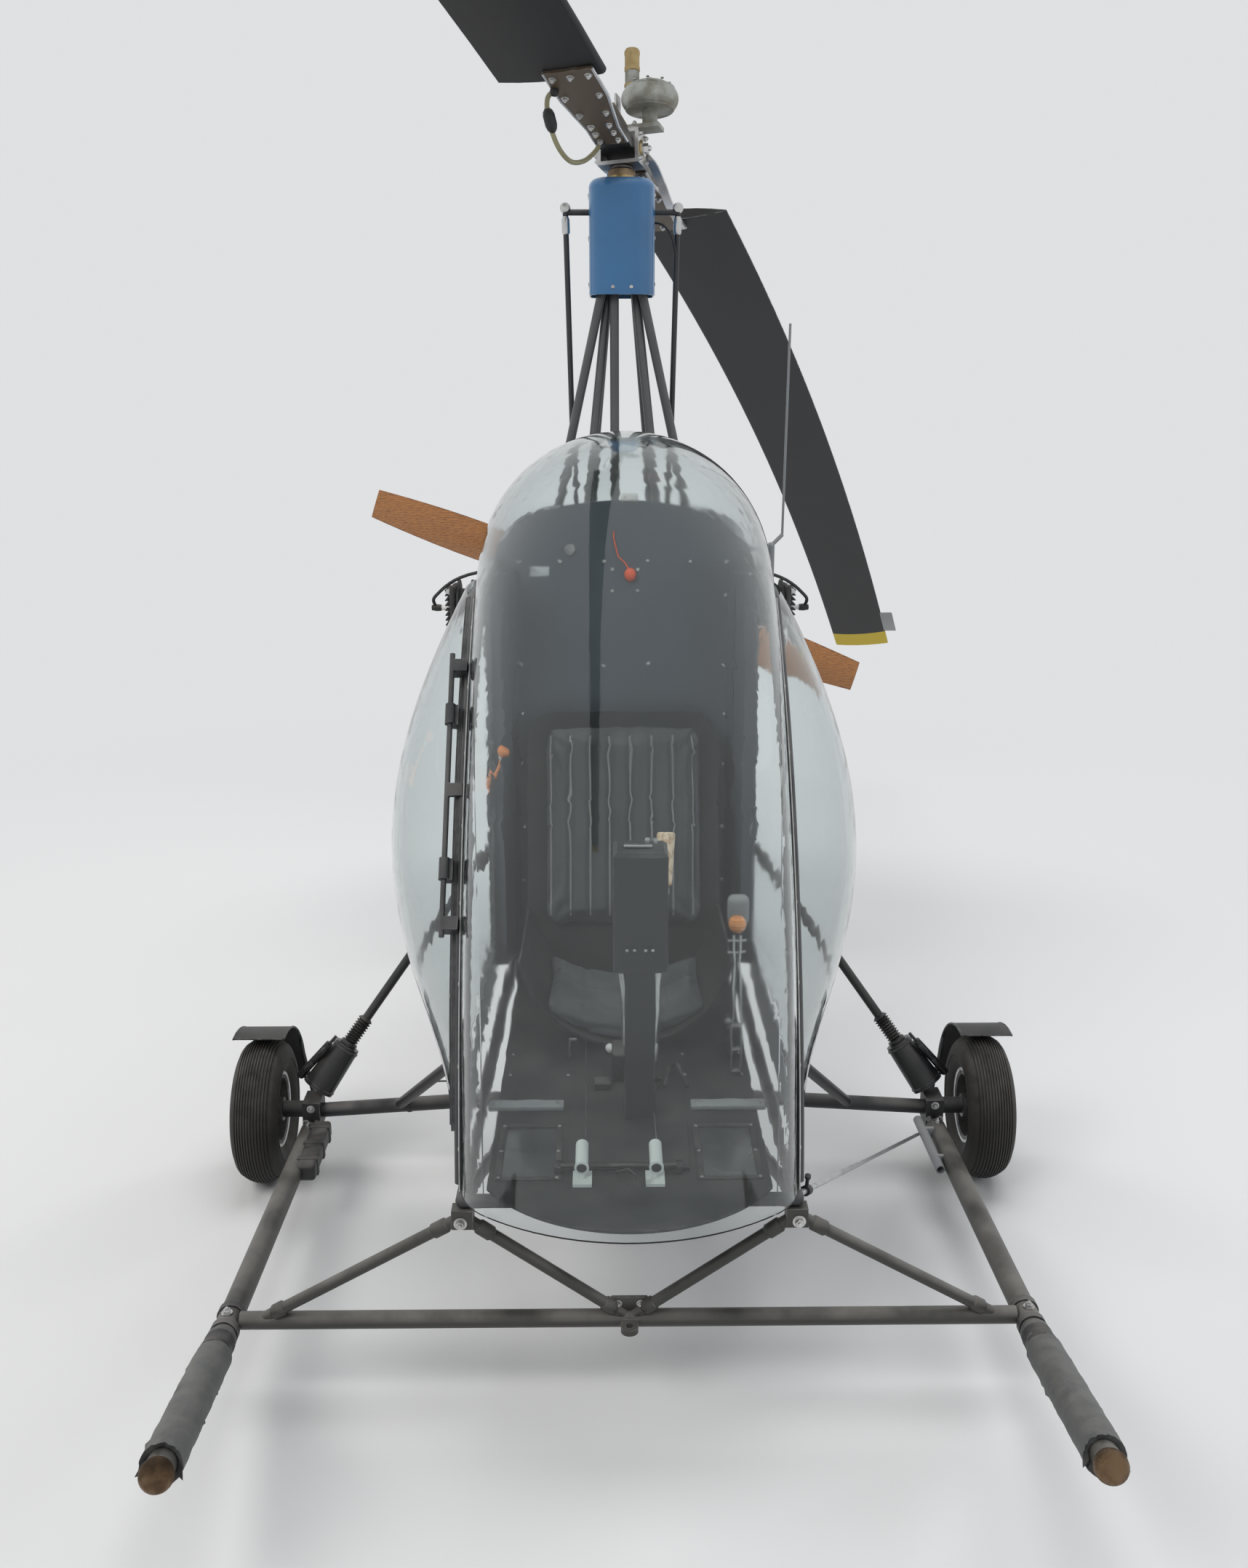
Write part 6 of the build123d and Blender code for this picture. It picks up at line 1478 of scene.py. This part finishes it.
@dataclass
class RotorHead(Assembly):
    """Fastenings, pipes and rods of the rotor head.

    Attributes:
        hub: The teeter point.
        tilt: How far the spin axis leans aft, in degrees.
        azimuth: The blades' turn from the centre line, in degrees.
        rest: The teeter angle at rest, in degrees.
        drum_y: The collector drum's place across the blades.
        cap_y: The filler neck's place across the blades.
        root: Where the blades begin to droop, out from the hub.
        arc_radius: The radius of their droop.
        spin: The spindle's own directions.
        bar: The hub bar's own directions.
    """

    hub: Point = (0, 0.14, 2.058)
    tilt: float = 10.0
    azimuth: float = 18.0
    rest: float = 9.0
    drum_y: float = -0.058
    cap_y: float = -0.022
    root: float = 0.29
    arc_radius: float = 9.5
    spin: Spot = field(init=False)
    bar: Spot = field(init=False)

    def __post_init__(self) -> None:
        """Works out the spindle's and the hub bar's own directions."""
        tilt, turn, rest = (radians(a) for a in (self.tilt, self.azimuth, self.rest))
        axis = vec(0, sin(tilt), cos(tilt))
        aft = vec(0, cos(tilt), -sin(tilt))
        level = aft * cos(turn) + Vector(LEFT) * sin(turn)
        span = level * cos(rest) - axis * sin(rest)
        rise = axis * cos(rest) + level * sin(rest)
        self.spin = Spot(Vector(self.hub), level, axis)
        self.bar = Spot(Vector(self.hub), span, rise)

    def build(self) -> None:
        """Builds the head, then the blades' fittings."""
        self._fairing()
        self._stack()
        self._collector()
        self._plates()
        self._feeds()
        self._blades()

    def _fairing(self) -> None:
        """Adds the bearing's brass ring, fairing screws, rod ends and cable."""
        Shape().lathe(mm(27.5, -14.5, 28.5, -12, 28.5, -3, 27.5, 0, 14.5, 0), self.spin.at(0, 0, -0.052),
                      self.spin.z, 40).done("bearing_ring", Look.BRASS)
        heads = Shape()
        for x in (-0.065, 0.065):
            heads.screws([(x, y, z) for z in (1.808, 1.895, 1.974) for y in (0.116, 0.164)],
                         (copysign(1.0, x), 0, 0), 0.0036, 0.0018)
        heads.screws([(x, 0.065, 1.8) for x in (-0.018, 0.018)], FORWARD, 0.0036, 0.0018)
        heads.done("fairing_screws", Look.STEEL)
        ends = Shape()
        for sign in (-1, 1):
            top = vec(sign * 0.112, 0.14, 1.953)
            ends.lathe(mm(0, -12, 8, -10, 10.5, -4, 10.5, 6, 8, 11, 0, 13), top, AFT, 20)
            foot = vec(sign * 0.092, 0.096, 1.18)
            along = (top - foot).normalized()
            for place, length in ((top - along * 0.05, 0.028), (foot + along * 0.004, 0.03)):
                ends.lathe([(0.0058, 0), (0.008, 0.003), (0.008, length), (0.0058, length + 0.006)], place, along, 16)
        ends.done("control_rod_ends", Look.STEEL)
        Shape().rod(along_offsets(vec(0, 0, 0), (
            (0.0645, 0.13, 1.925), (0.082, 0.124, 1.92), (0.098, 0.12, 1.9), (0.106, 0.128, 1.872),
            (0.1075, 0.134, 1.85)), 5), 0.0024, 10).done("head_cable", Look.DARK)

    def _stack(self) -> None:
        """Adds bolts, the teeter bolt's nuts and brass washers, the bridge's bright upright and the collar."""
        nuts, brass, spin = Shape(), Shape(), self.spin
        for sign in (1, -1):
            out = spin.y * sign
            brass.lathe(mm(16.5, 0, 17, 1, 16.5, 3, 0, 3), spin.at(0, sign * 0.0418, 0), out, 28)
            nuts.bolts([spin.at(0, sign * 0.0445, 0)], out, 0.01)
            nuts.bolts([spin.at(x, sign * 0.042, z) for x in (-0.019, 0.019) for z in (-0.022, 0.025)], out, 0.0046)
            nuts.bolts([spin.at(x * 0.8, sign * 0.031, 0.0342 if sign > 0 else 0.0424) for x in (-0.019, 0.019)],
                       spin.z, 0.0046)
        nuts.block(spin.at(0, 0.008, 0.074), (0.03, 0.0045, 0.066), 0.0012, spin.turn)
        nuts.block(spin.at(0, 0.002, 0.0445), (0.03, 0.016, 0.005), 0.0012, spin.turn)
        nuts.screws([spin.at(x, 0.01, z) for x in (-0.009, 0.009) for z in (0.058, 0.098)], spin.y, 0.0034, 0.002)
        nuts.done("teeter_bolts", Look.STEEL, Body.SPINDLE)
        brass.done("teeter_washers", Look.BRASS, Body.SPINDLE)
        Shape().lathe(mm(15, -38.6, 21.5, -38.6, 23.5, -36.6, 23.5, -32.5, 15, -31.2), spin.origin, spin.z,
                      36).done("spindle_collar", Look.DARK_STEEL, Body.SPINDLE)

    def _collector(self) -> None:
        """Adds the drum's rolled edges and screws, and the brass top of the filler neck."""
        rim, cap, spin = Shape(), Shape(), self.spin
        middle = spin.at(0, self.drum_y, 0)
        for profile in (((0.0452, 0.1108), (0.047, 0.1128), (0.0488, 0.1122), (0.048, 0.1096)),
                        ((0.0438, 0.0722), (0.0462, 0.0706), (0.048, 0.0722), (0.0462, 0.0746))):
            rim.ring(profile, middle, spin.z, 56)
        rim.screws([middle + spin.x * (0.038 * cos(turn)) + spin.y * (0.038 * sin(turn)) + spin.z * 0.1215
                    for turn in (radians(45 * k + 10) for k in range(8))], spin.z, 0.0032, 0.002)
        rim.lathe(mm(10.5, 120.5, 10.5, 129, 8.5, 131, 0, 131), middle, spin.z, 6)
        rim.done("collector_rims", Look.DRUM, Body.SPINDLE)
        neck = spin.at(0, self.cap_y, 0)
        cap.lathe(mm(13.8, 148, 15.2, 149.5, 15.2, 156, 14.4, 157.5, 14.4, 178, 15.2, 179.5, 15.2, 186, 12.5, 190.5,
                     6, 192.5, 0, 193), neck, spin.z, 40)
        cap.lathe(mm(13.8, 118, 15.6, 119.2, 15.6, 123.8, 13.8, 125), neck, spin.z)
        cap.done("collector_cap", Look.BRASS, Body.SPINDLE)

    def _plates(self) -> None:
        """Bolts the root plates to the hub bar and the blades, and turns their edges over."""
        heads, webs, bar = Shape(), Shape(), self.bar
        near = [(x, y) for x in (0.078, 0.106, 0.134) for y in (-0.018, 0.018)]
        far = ((0.178, -0.026), (0.178, 0.026), (0.24, -0.033), (0.24, 0.033), (0.306, -0.034), (0.306, 0),
               (0.306, 0.034))
        for way in (1, -1):
            for places, height, axis, size in ((near, -0.0163, -bar.z, 0.0052), (near, 0.0163, bar.z, 0.0062),
                                               (far, -0.0163, -bar.z, 0.005)):
                heads.bolts([bar.at(way * x, y, height) for x, y in places], axis, size)
            for y in (-1, 1):
                webs.rod([bar.at(way * x, y * half, -0.0142) for x, half in (
                    (0.063, 0.0308), (0.12, 0.0308), (0.23, 0.0458), (0.324, 0.0458))], 0.003, 10)
        heads.done("root_bolts", Look.STEEL, Body.ROTOR)
        webs.done("root_plate_edges", Look.ALLOY, Body.ROTOR)

    def _strip(self, shape: Shape, points: Sequence[Vector], wide: float, thick: float) -> None:
        """Sweeps a flat strip along points, its width across the hub bar.

        Args:
            shape: The shape that gets it.
            points: The points that it passes.
            wide: Its width.
            thick: Its thickness.
        """
        route = smooth_route(points, 6)
        rows = []
        for k, point in enumerate(route):
            along = (route[min(k + 1, len(route) - 1)] - route[max(k - 1, 0)]).normalized()
            face = along.cross(self.bar.y).normalized()
            rows.append([point + self.bar.y * (a * wide / 2) + face * (b * thick / 2)
                         for a, b in ((-1, -1), (1, -1), (1, 1), (-1, 1))])
        shape.sheet(rows, closed=True).cap(rows[0], -1).cap(rows[-1], 1)

    def _feeds(self) -> None:
        """Runs the silver strap to the rear root, and the hose loop with its bulb under the front one."""
        strap, bulb, bar = Shape(), Shape(), self.bar
        for wide, thick, places in (
                (0.017, 0.0055, ((0.034, -0.036, 0.008), (0.044, -0.05, -0.008), (0.078, -0.057, -0.026),
                                 (0.15, -0.056, -0.04), (0.235, -0.05, -0.034), (0.316, -0.04, -0.0185))),
                (0.009, 0.003, ((0.036, 0.033, 0.004), (0.044, 0.04, -0.014), (0.08, 0.042, -0.028),
                                 (0.16, 0.04, -0.03), (0.262, 0.038, -0.018)))):
            self._strip(strap, [bar.at(*p) for p in places], wide, thick)
        strap.done("root_straps", Look.ALLOY, Body.ROTOR)
        places = ((-0.272, 0.042, -0.0175), (-0.258, 0.06, -0.024), (-0.232, 0.066, -0.048), (-0.206, 0.056, -0.086),
                  (-0.168, 0.044, -0.098), (-0.122, 0.034, -0.076), (-0.086, 0.026, -0.042), (-0.07, 0.02, -0.017))
        Shape().rod(smooth_route([bar.at(*p) for p in places], 6), 0.0046, 12).done(
            "hose_loop", Look.HOSE, Body.ROTOR)
        top, low = bar.at(-0.246, 0.065, -0.034), bar.at(-0.216, 0.06, -0.072)
        bulb.lathe(mm(4.6, 0, 9, 5, 11.2, 12, 11.2, 30, 8.8, 38, 4.6, 43), top, low - top, 22)
        for place in (places[0], places[-1]):
            bulb.lathe(mm(7.5, -4, 8, 0, 8, 6, 6, 9), bar.at(*place), -bar.z, 18)
        bulb.done("hose_bulb", Look.DARK, Body.ROTOR)

    def _blades(self) -> None:
        """Adds the trim tab at the rear blade's trailing edge."""
        turn, bar = (3.02 - self.root) / self.arc_radius, self.bar
        out = bar.at(self.root + self.arc_radius * sin(turn), -0.1435, -self.arc_radius * (1 - cos(turn)))
        lay = Spot(out, bar.x * cos(turn) - bar.z * sin(turn), bar.z * cos(turn) + bar.x * sin(turn))
        tab = Shape().block(lay.at(0, -0.019, -0.001), (0.15, 0.046, 0.0026), 0.0009, lay.turn)
        tab.screws([lay.at(x, -0.003, 0.0004) for x in (-0.055, 0, 0.055)], lay.z, 0.003, 0.0016)
        tab.done("trim_tab", Look.TAB, Body.ROTOR)


@dataclass
class PowerUnit(Assembly):
    """Engine, exhaust, leads, propeller fastenings and tank fittings.

    Attributes:
        crank: The crankshaft's height.
        barrels_y: Where the barrels stand along the aircraft.
        reach: How far the barrels reach out.
        propeller_y: The propeller's middle.
    """

    crank: float = 1.12
    barrels_y: float = 0.415
    reach: float = 0.372
    propeller_y: float = 0.702

    def build(self) -> None:
        """Builds the engine's pieces, then the propeller's."""
        self._heads()
        self._pipes()
        self._propeller()
        self._tank()

    def _heads(self) -> None:
        """Adds head covers with fins, spark plugs and their leads."""
        covers, plugs, heads = Shape(), Shape(), Shape()
        for name, sign in sides():
            face, out = sign * self.reach, (sign, 0, 0)
            covers.block((face + sign * 0.008, self.barrels_y, self.crank), (0.016, 0.104, 0.104), 0.006, steps=3)
            for k in range(-4, 5):
                covers.block((face + sign * 0.02, self.barrels_y, self.crank + k * 0.0112), (0.014, 0.09, 0.003),
                             0.001, steps=1)
            heads.bolts([(face + sign * 0.016, self.barrels_y + y, self.crank + z) for y in (-0.042, 0.042)
                         for z in (-0.042, 0.042)], out, 0.0062)
            place = vec(face + sign * 0.014, self.barrels_y, self.crank)
            plugs.lathe(mm(10.5, 0, 10.5, 10, 6, 12, 5.8, 26, 3.6, 30, 0, 31), place, out, 20)
            tip = place + vec(sign * 0.026, 0, 0)
            lead = Shape().lathe(mm(7.4, 0, 8.2, 10, 6, 22, 0, 23), tip, out, 16)
            route = [tip + Vector(p) for p in ((sign * 0.014, 0, 0.002), (sign * 0.01, -0.014, 0.03),
                                               (-sign * 0.07, -0.05, 0.082))]
            route += [vec(sign * 0.15, 0.345, self.crank + 0.112), vec(sign * 0.048, 0.33, self.crank + 0.124)]
            lead.rod(smooth_route(route, 7), 0.0038, 10).done(f"plug_lead_{name}", Look.DARK)
        covers.done("head_covers", Look.IRON)
        plugs.done("spark_plugs", Look.WHITE)
        Shape().block((0, 0.33, self.crank + 0.1285), (0.112, 0.052, 0.036), 0.006, steps=3).done(
            "ignition_coil", Look.DARK)
        Shape().block((0, self.barrels_y, self.crank), (0.005, 0.234, 0.226), 0.0018).done(
            "crankcase_seam", Look.CASTING)
        for z in (-1, 1):
            heads.bolts([(0.014, self.barrels_y + y, self.crank + z * 0.11)
                         for y in (-0.09, -0.045, 0, 0.045, 0.09)], (0, 0, z), 0.0052)
        heads.done("engine_bolts", Look.STEEL)

    def _pipes(self) -> None:
        """Adds exhaust stubs, intake pipes and carburettors."""
        exhaust, intake, body = Shape(), Shape(), Shape()
        for _, sign in sides():
            port = vec(sign * 0.322, self.barrels_y, self.crank - 0.064)
            exhaust.rod(along_offsets(port, ((0, 0, 0), (0, 0, -0.03), (-sign * 0.006, 0.022, -0.066),
                                             (-sign * 0.016, 0.07, -0.092), (-sign * 0.02, 0.112, -0.098)), 6),
                        0.0185, 22)
            exhaust.lathe(mm(19, 0, 27, 1, 27, 6, 19, 8), port + vec(0, 0, -0.01), UP, 26)
            port = vec(sign * 0.262, self.barrels_y - 0.02, self.crank + 0.062)
            intake.rod(along_offsets(port, ((0, 0, 0), (0, -0.006, 0.026), (0, -0.044, 0.046), (0, -0.076, 0.048)),
                                     6), 0.015, 20)
            spot = port + vec(0, -0.096, 0.048)
            body.block(spot, (0.046, 0.044, 0.052), 0.006, steps=3)
            body.lathe(mm(19.5, 0, 20.5, 3, 20.5, 26, 18, 30, 0, 30), spot + vec(0, 0, 0.024), UP, 26)
            body.lathe(mm(16, 0, 17, 2, 17, 24, 0, 26), spot + vec(0, 0, -0.024), DOWN, 24)
        exhaust.done("exhaust_stubs", Look.EXHAUST)
        intake.done("intake_pipes", Look.CASTING)
        body.done("carburettors", Look.ALLOY)

    def _propeller(self) -> None:
        """Adds the face plate, six bolts and the shaft's nut."""
        centre = vec(0, self.propeller_y + 0.0221, self.crank)
        Shape().ring(mm(15.8, 0, 50, 0, 51, 1.2, 50, 4.8, 15.8, 4.8), centre, AFT,
                     48).done("propeller_plate", Look.STEEL, Body.PROPELLER)
        Shape().bolts([centre + vec(0.036 * cos(turn), 0.0048, 0.036 * sin(turn))
                       for turn in (radians(60 * k + 10) for k in range(6))], AFT, 0.007).done(
            "propeller_bolts", Look.STEEL, Body.PROPELLER)
        Shape().lathe(mm(13.5, 0, 13.5, 10, 11.5, 13, 0, 13), (0, self.propeller_y + 0.036, self.crank), AFT,
                      6).done("shaft_nut", Look.STEEL)

    def _tank(self) -> None:
        """Adds the tank's cap, straps and fuel line."""
        low, high = (Vector(p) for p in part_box("fuel_tank"))
        middle = (low + high) / 2
        straps = Shape()
        round_off = 0.024
        for x in (-0.078, 0.078):
            rows = [[vec(x + dx, middle.y + hy + (round_off + lift) * c, middle.z + hz + (round_off + lift) * s)
                     for hy, hz, c, s in round_corners((high.y - low.y) / 2, (high.z - low.z) / 2, round_off, 6)]
                    for dx, lift in ((-0.012, 0.0003), (-0.012, 0.0022), (0.012, 0.0022), (0.012, 0.0003))]
            straps.sheet([*rows, rows[0]], closed=True)
        straps.done("tank_straps", Look.STRAP)
        Shape().lathe(mm(22, 0, 22, 8, 28.5, 9, 28.5, 23, 25.5, 27, 0, 27), (0, middle.y + 0.02, high.z - 0.001),
                      UP).done("tank_cap", Look.DARK)
        start = vec(0.09, high.y - 0.026, high.z - 0.0005)
        route = [start, start + vec(0.004, 0.012, 0.04), start + vec(0.03, 0.06, 0.11), vec(0.18, 0.225, 1.06),
                 vec(0.24, 0.268, 1.14)]
        Shape().rod(smooth_route(route, 7), 0.0042, 12).done("fuel_line", Look.HOSE)


class Tail(Assembly):
    """Ribs, horns and fittings of the tail."""

    def build(self) -> None:
        """Builds the tail's trim."""
        for name, x, y, depth, body in (("fin", 0.013, 1.88, 0.17, Body.AIRFRAME),
                                        ("rudder", 0.012, 2.098, 0.15, Body.RUDDER)):
            tapes = Shape()
            for z in (0.52, 0.64, 0.76, 0.86):
                for sign in (1, -1):
                    tapes.block((sign * x, y, z), (0.0012, depth, 0.01), 0.0005)
            tapes.done(f"{name}_rib_tapes", Look.TAIL, body)
        Shape().block((0, 2.016, 0.432), (0.11, 0.024, 0.005)).done("rudder_horn", Look.STEEL, Body.RUDDER)
        Shape().bolts([(x, 2.014, 0.4348) for x in (-0.05, 0.05)], UP, 0.0048).done(
            "horn_bolts", Look.STEEL, Body.RUDDER)
        fittings = Shape().bolts([(x, y, 0.4243) for y in (1.352, 1.45, 1.548) for x in (0.022, -0.022)], UP, 0.0052)
        fittings.bolts([(x, y, 0.3328) for y in (1.732, 1.776) for x in (0.014, -0.014)], DOWN, 0.0055)
        fittings.done("tail_bolts", Look.STEEL)
        bands = Shape()
        for y in (0.12, 0.8, 1.33, 1.64, 1.96):
            bands.ring(mm(30.2, -9, 31.8, -8, 31.8, 8, 30.2, 9), (0, y, 0.372), AFT, 40)
        bands.ring(mm(0, 0, 30.2, 0, 30.6, 4, 0, 4.5), (0, 2.14, 0.372), AFT, 36)
        bands.done("boom_bands", Look.FRAME)


@dataclass
class Studio(Assembly):
    """Floor, backdrop, lamps and camera.

    Attributes:
        eye: The camera's place.
        pitch: How far it looks down, in degrees.
        yaw: Its turn towards the aircraft's right, in degrees.
        lens: Its focal length over a 36 mm side.
        backdrop: The colour behind the aircraft.
        sweep: Where the floor starts to fade into it, and where it has faded.
    """

    eye: Point = (-0.036, -3.01, 1.6)
    pitch: float = 14.74
    yaw: float = -0.74
    lens: float = 34.2
    backdrop: Colour = (0.74, 0.75, 0.76)
    sweep: tuple[float, float] = (1.3, 4.8)

    def build(self) -> None:
        """Sets up the world, the floor, the lamps and the camera."""
        self._world()
        self._floor()
        self._lamps()
        self._camera()

    @staticmethod
    def _seen(tree: Tree) -> Socket:
        """Gives 1 for the rays that look at the backdrop: camera, mirrored and clear-panel rays."""
        path = put(tree, "LightPath").outputs
        first = maths(tree, "MAXIMUM", path["Is Camera Ray"], path["Is Transmission Ray"])
        return maths(tree, "MAXIMUM", first, path["Is Glossy Ray"])

    def _world(self) -> None:
        """Lights all round softly, and shows a pale backdrop to the camera, in metal and through the panels."""
        world = bpy.data.worlds.new("studio_world")
        world.use_nodes = True
        tree = world.node_tree
        tree.nodes.clear()
        soft = put(tree, "Background", {"Color": (0.8, 0.83, 0.88, 1.0), "Strength": 0.34})
        pale = put(tree, "Background", {"Color": (*self.backdrop, 1.0), "Strength": 1.0})
        mix = put(tree, "MixShader", {0: self._seen(tree), 1: soft.outputs[0], 2: pale.outputs[0]})
        put(tree, "OutputWorld", {"Surface": mix.outputs[0]})
        bpy.context.scene.world = world
        bpy.context.scene.view_settings.view_transform = "Standard"

    def _floor(self) -> None:
        """Lays a pale floor that keeps the shadow and runs into the backdrop further out."""
        shape = Shape().sheet([[(-14.0, -14.0, 0.0), (14.0, -14.0, 0.0)], [(-14.0, 14.0, 0.0), (14.0, 14.0, 0.0)]])
        mesh = bpy.data.meshes.new("studio_floor")
        shape.mesh.to_mesh(mesh)
        shape.mesh.free()
        floor = bpy.data.objects.new("studio_floor", mesh)
        bpy.context.scene.collection.objects.link(floor)
        matt = bpy.data.materials.new("studio_floor_paint")
        matt.use_nodes = True
        tree = matt.node_tree
        shader = tree.nodes["Principled BSDF"]
        shader.inputs["Base Color"].default_value = (0.66, 0.66, 0.66, 1.0)
        shader.inputs["Roughness"].default_value = 0.8
        away = put(tree, "VectorMath", {0: own_place(tree)}, operation="LENGTH")
        share = maths(tree, "MULTIPLY", ramp(tree, away.outputs["Value"], *self.sweep), self._seen(tree))
        glow = put(tree, "Emission", {"Color": (*self.backdrop, 1.0), "Strength": 1.0})
        mix = put(tree, "MixShader", {0: share, 1: shader.outputs[0], 2: glow.outputs[0]})
        tree.links.new(mix.outputs[0], tree.nodes["Material Output"].inputs["Surface"])
        mesh.materials.append(matt)

    def _lamps(self) -> None:
        """Hangs a large soft key, a fill, one above and two behind, none of them mirrored in the panels."""
        table = (("key", (-3.2, -3.6, 4.6), (0.0, -0.1, 0.8), 3.2, 210.0, (1.0, 0.985, 0.96)),
                 ("fill", (4.2, -2.6, 2.6), (0.0, 0.0, 0.9), 3.0, 70.0, (0.94, 0.97, 1.0)),
                 ("back_left", (3.6, 4.2, 3.8), (0.0, 0.2, 1.2), 2.4, 130.0, (1.0, 1.0, 1.0)),
                 ("back_right", (-3.8, 3.6, 3.4), (0.0, 0.2, 1.0), 2.4, 90.0, (1.0, 0.98, 0.95)),
                 ("over", (0.4, 0.2, 5.6), (0.0, 0.2, 0.0), 3.6, 120.0, (1.0, 1.0, 1.0)))
        for name, place, aim, size, power, colour in table:
            lamp = bpy.data.lights.new(f"lamp_{name}", "AREA")
            lamp.shape = "DISK"
            lamp.size = size
            lamp.energy = power
            lamp.color = colour
            holder = bpy.data.objects.new(f"lamp_{name}", lamp)
            holder.location = place
            holder.rotation_euler = (Vector(aim) - Vector(place)).to_track_quat("-Z", "Y").to_euler()
            holder.visible_glossy = False
            holder.visible_transmission = False
            bpy.context.scene.collection.objects.link(holder)

    def _camera(self) -> None:
        """Sets the camera where the picture was taken."""
        lens = bpy.data.cameras.new("photo_camera")
        lens.sensor_fit = "VERTICAL"
        lens.sensor_height = 36.0
        lens.lens = self.lens
        lens.clip_start = 0.05
        lens.clip_end = 100.0
        camera = bpy.data.objects.new("photo_camera", lens)
        camera.location = self.eye
        camera.rotation_euler = (radians(90.0 - self.pitch), 0.0, radians(self.yaw))
        bpy.context.scene.collection.objects.link(camera)
        bpy.context.scene.camera = camera


@dataclass
class Autogyro:
    """The whole aircraft in its studio.

    Attributes:
        groups: The assemblies in the order that they are built.
    """

    frame: dict
    groups: list[Assembly] = field(default_factory=lambda: [
        RunningGear(), Cabin(), Cushions(), Door(), RotorHead(), PowerUnit(), Tail(), Studio()])

    def finish_nodes(self) -> None:
        """Gives each node its material."""
        nodes = self.frame["nodes"]
        table = {name: finish for finish, names in NODE_FINISHES.items() for name in names.split()}
        for name, node in sorted(nodes.items()):
            if name not in table:
                log.warning("%s has no finish in the table", name)
            node.data.materials.clear()
            node.data.materials.append(table.get(name, Look.FRAME).material())

    def build(self) -> None:
        """Builds every group."""
        self.finish_nodes()
        for group in self.groups:
            log.info("building %s", type(group).__name__)
            group.build()


def main() -> None:
    """Loads the frame and dresses the aircraft."""
    logging.basicConfig(level=logging.INFO, format="%(name)s: %(message)s")
    random.seed(11)
    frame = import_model()
    Autogyro(frame).build()


if __name__ == "__main__":
    main()
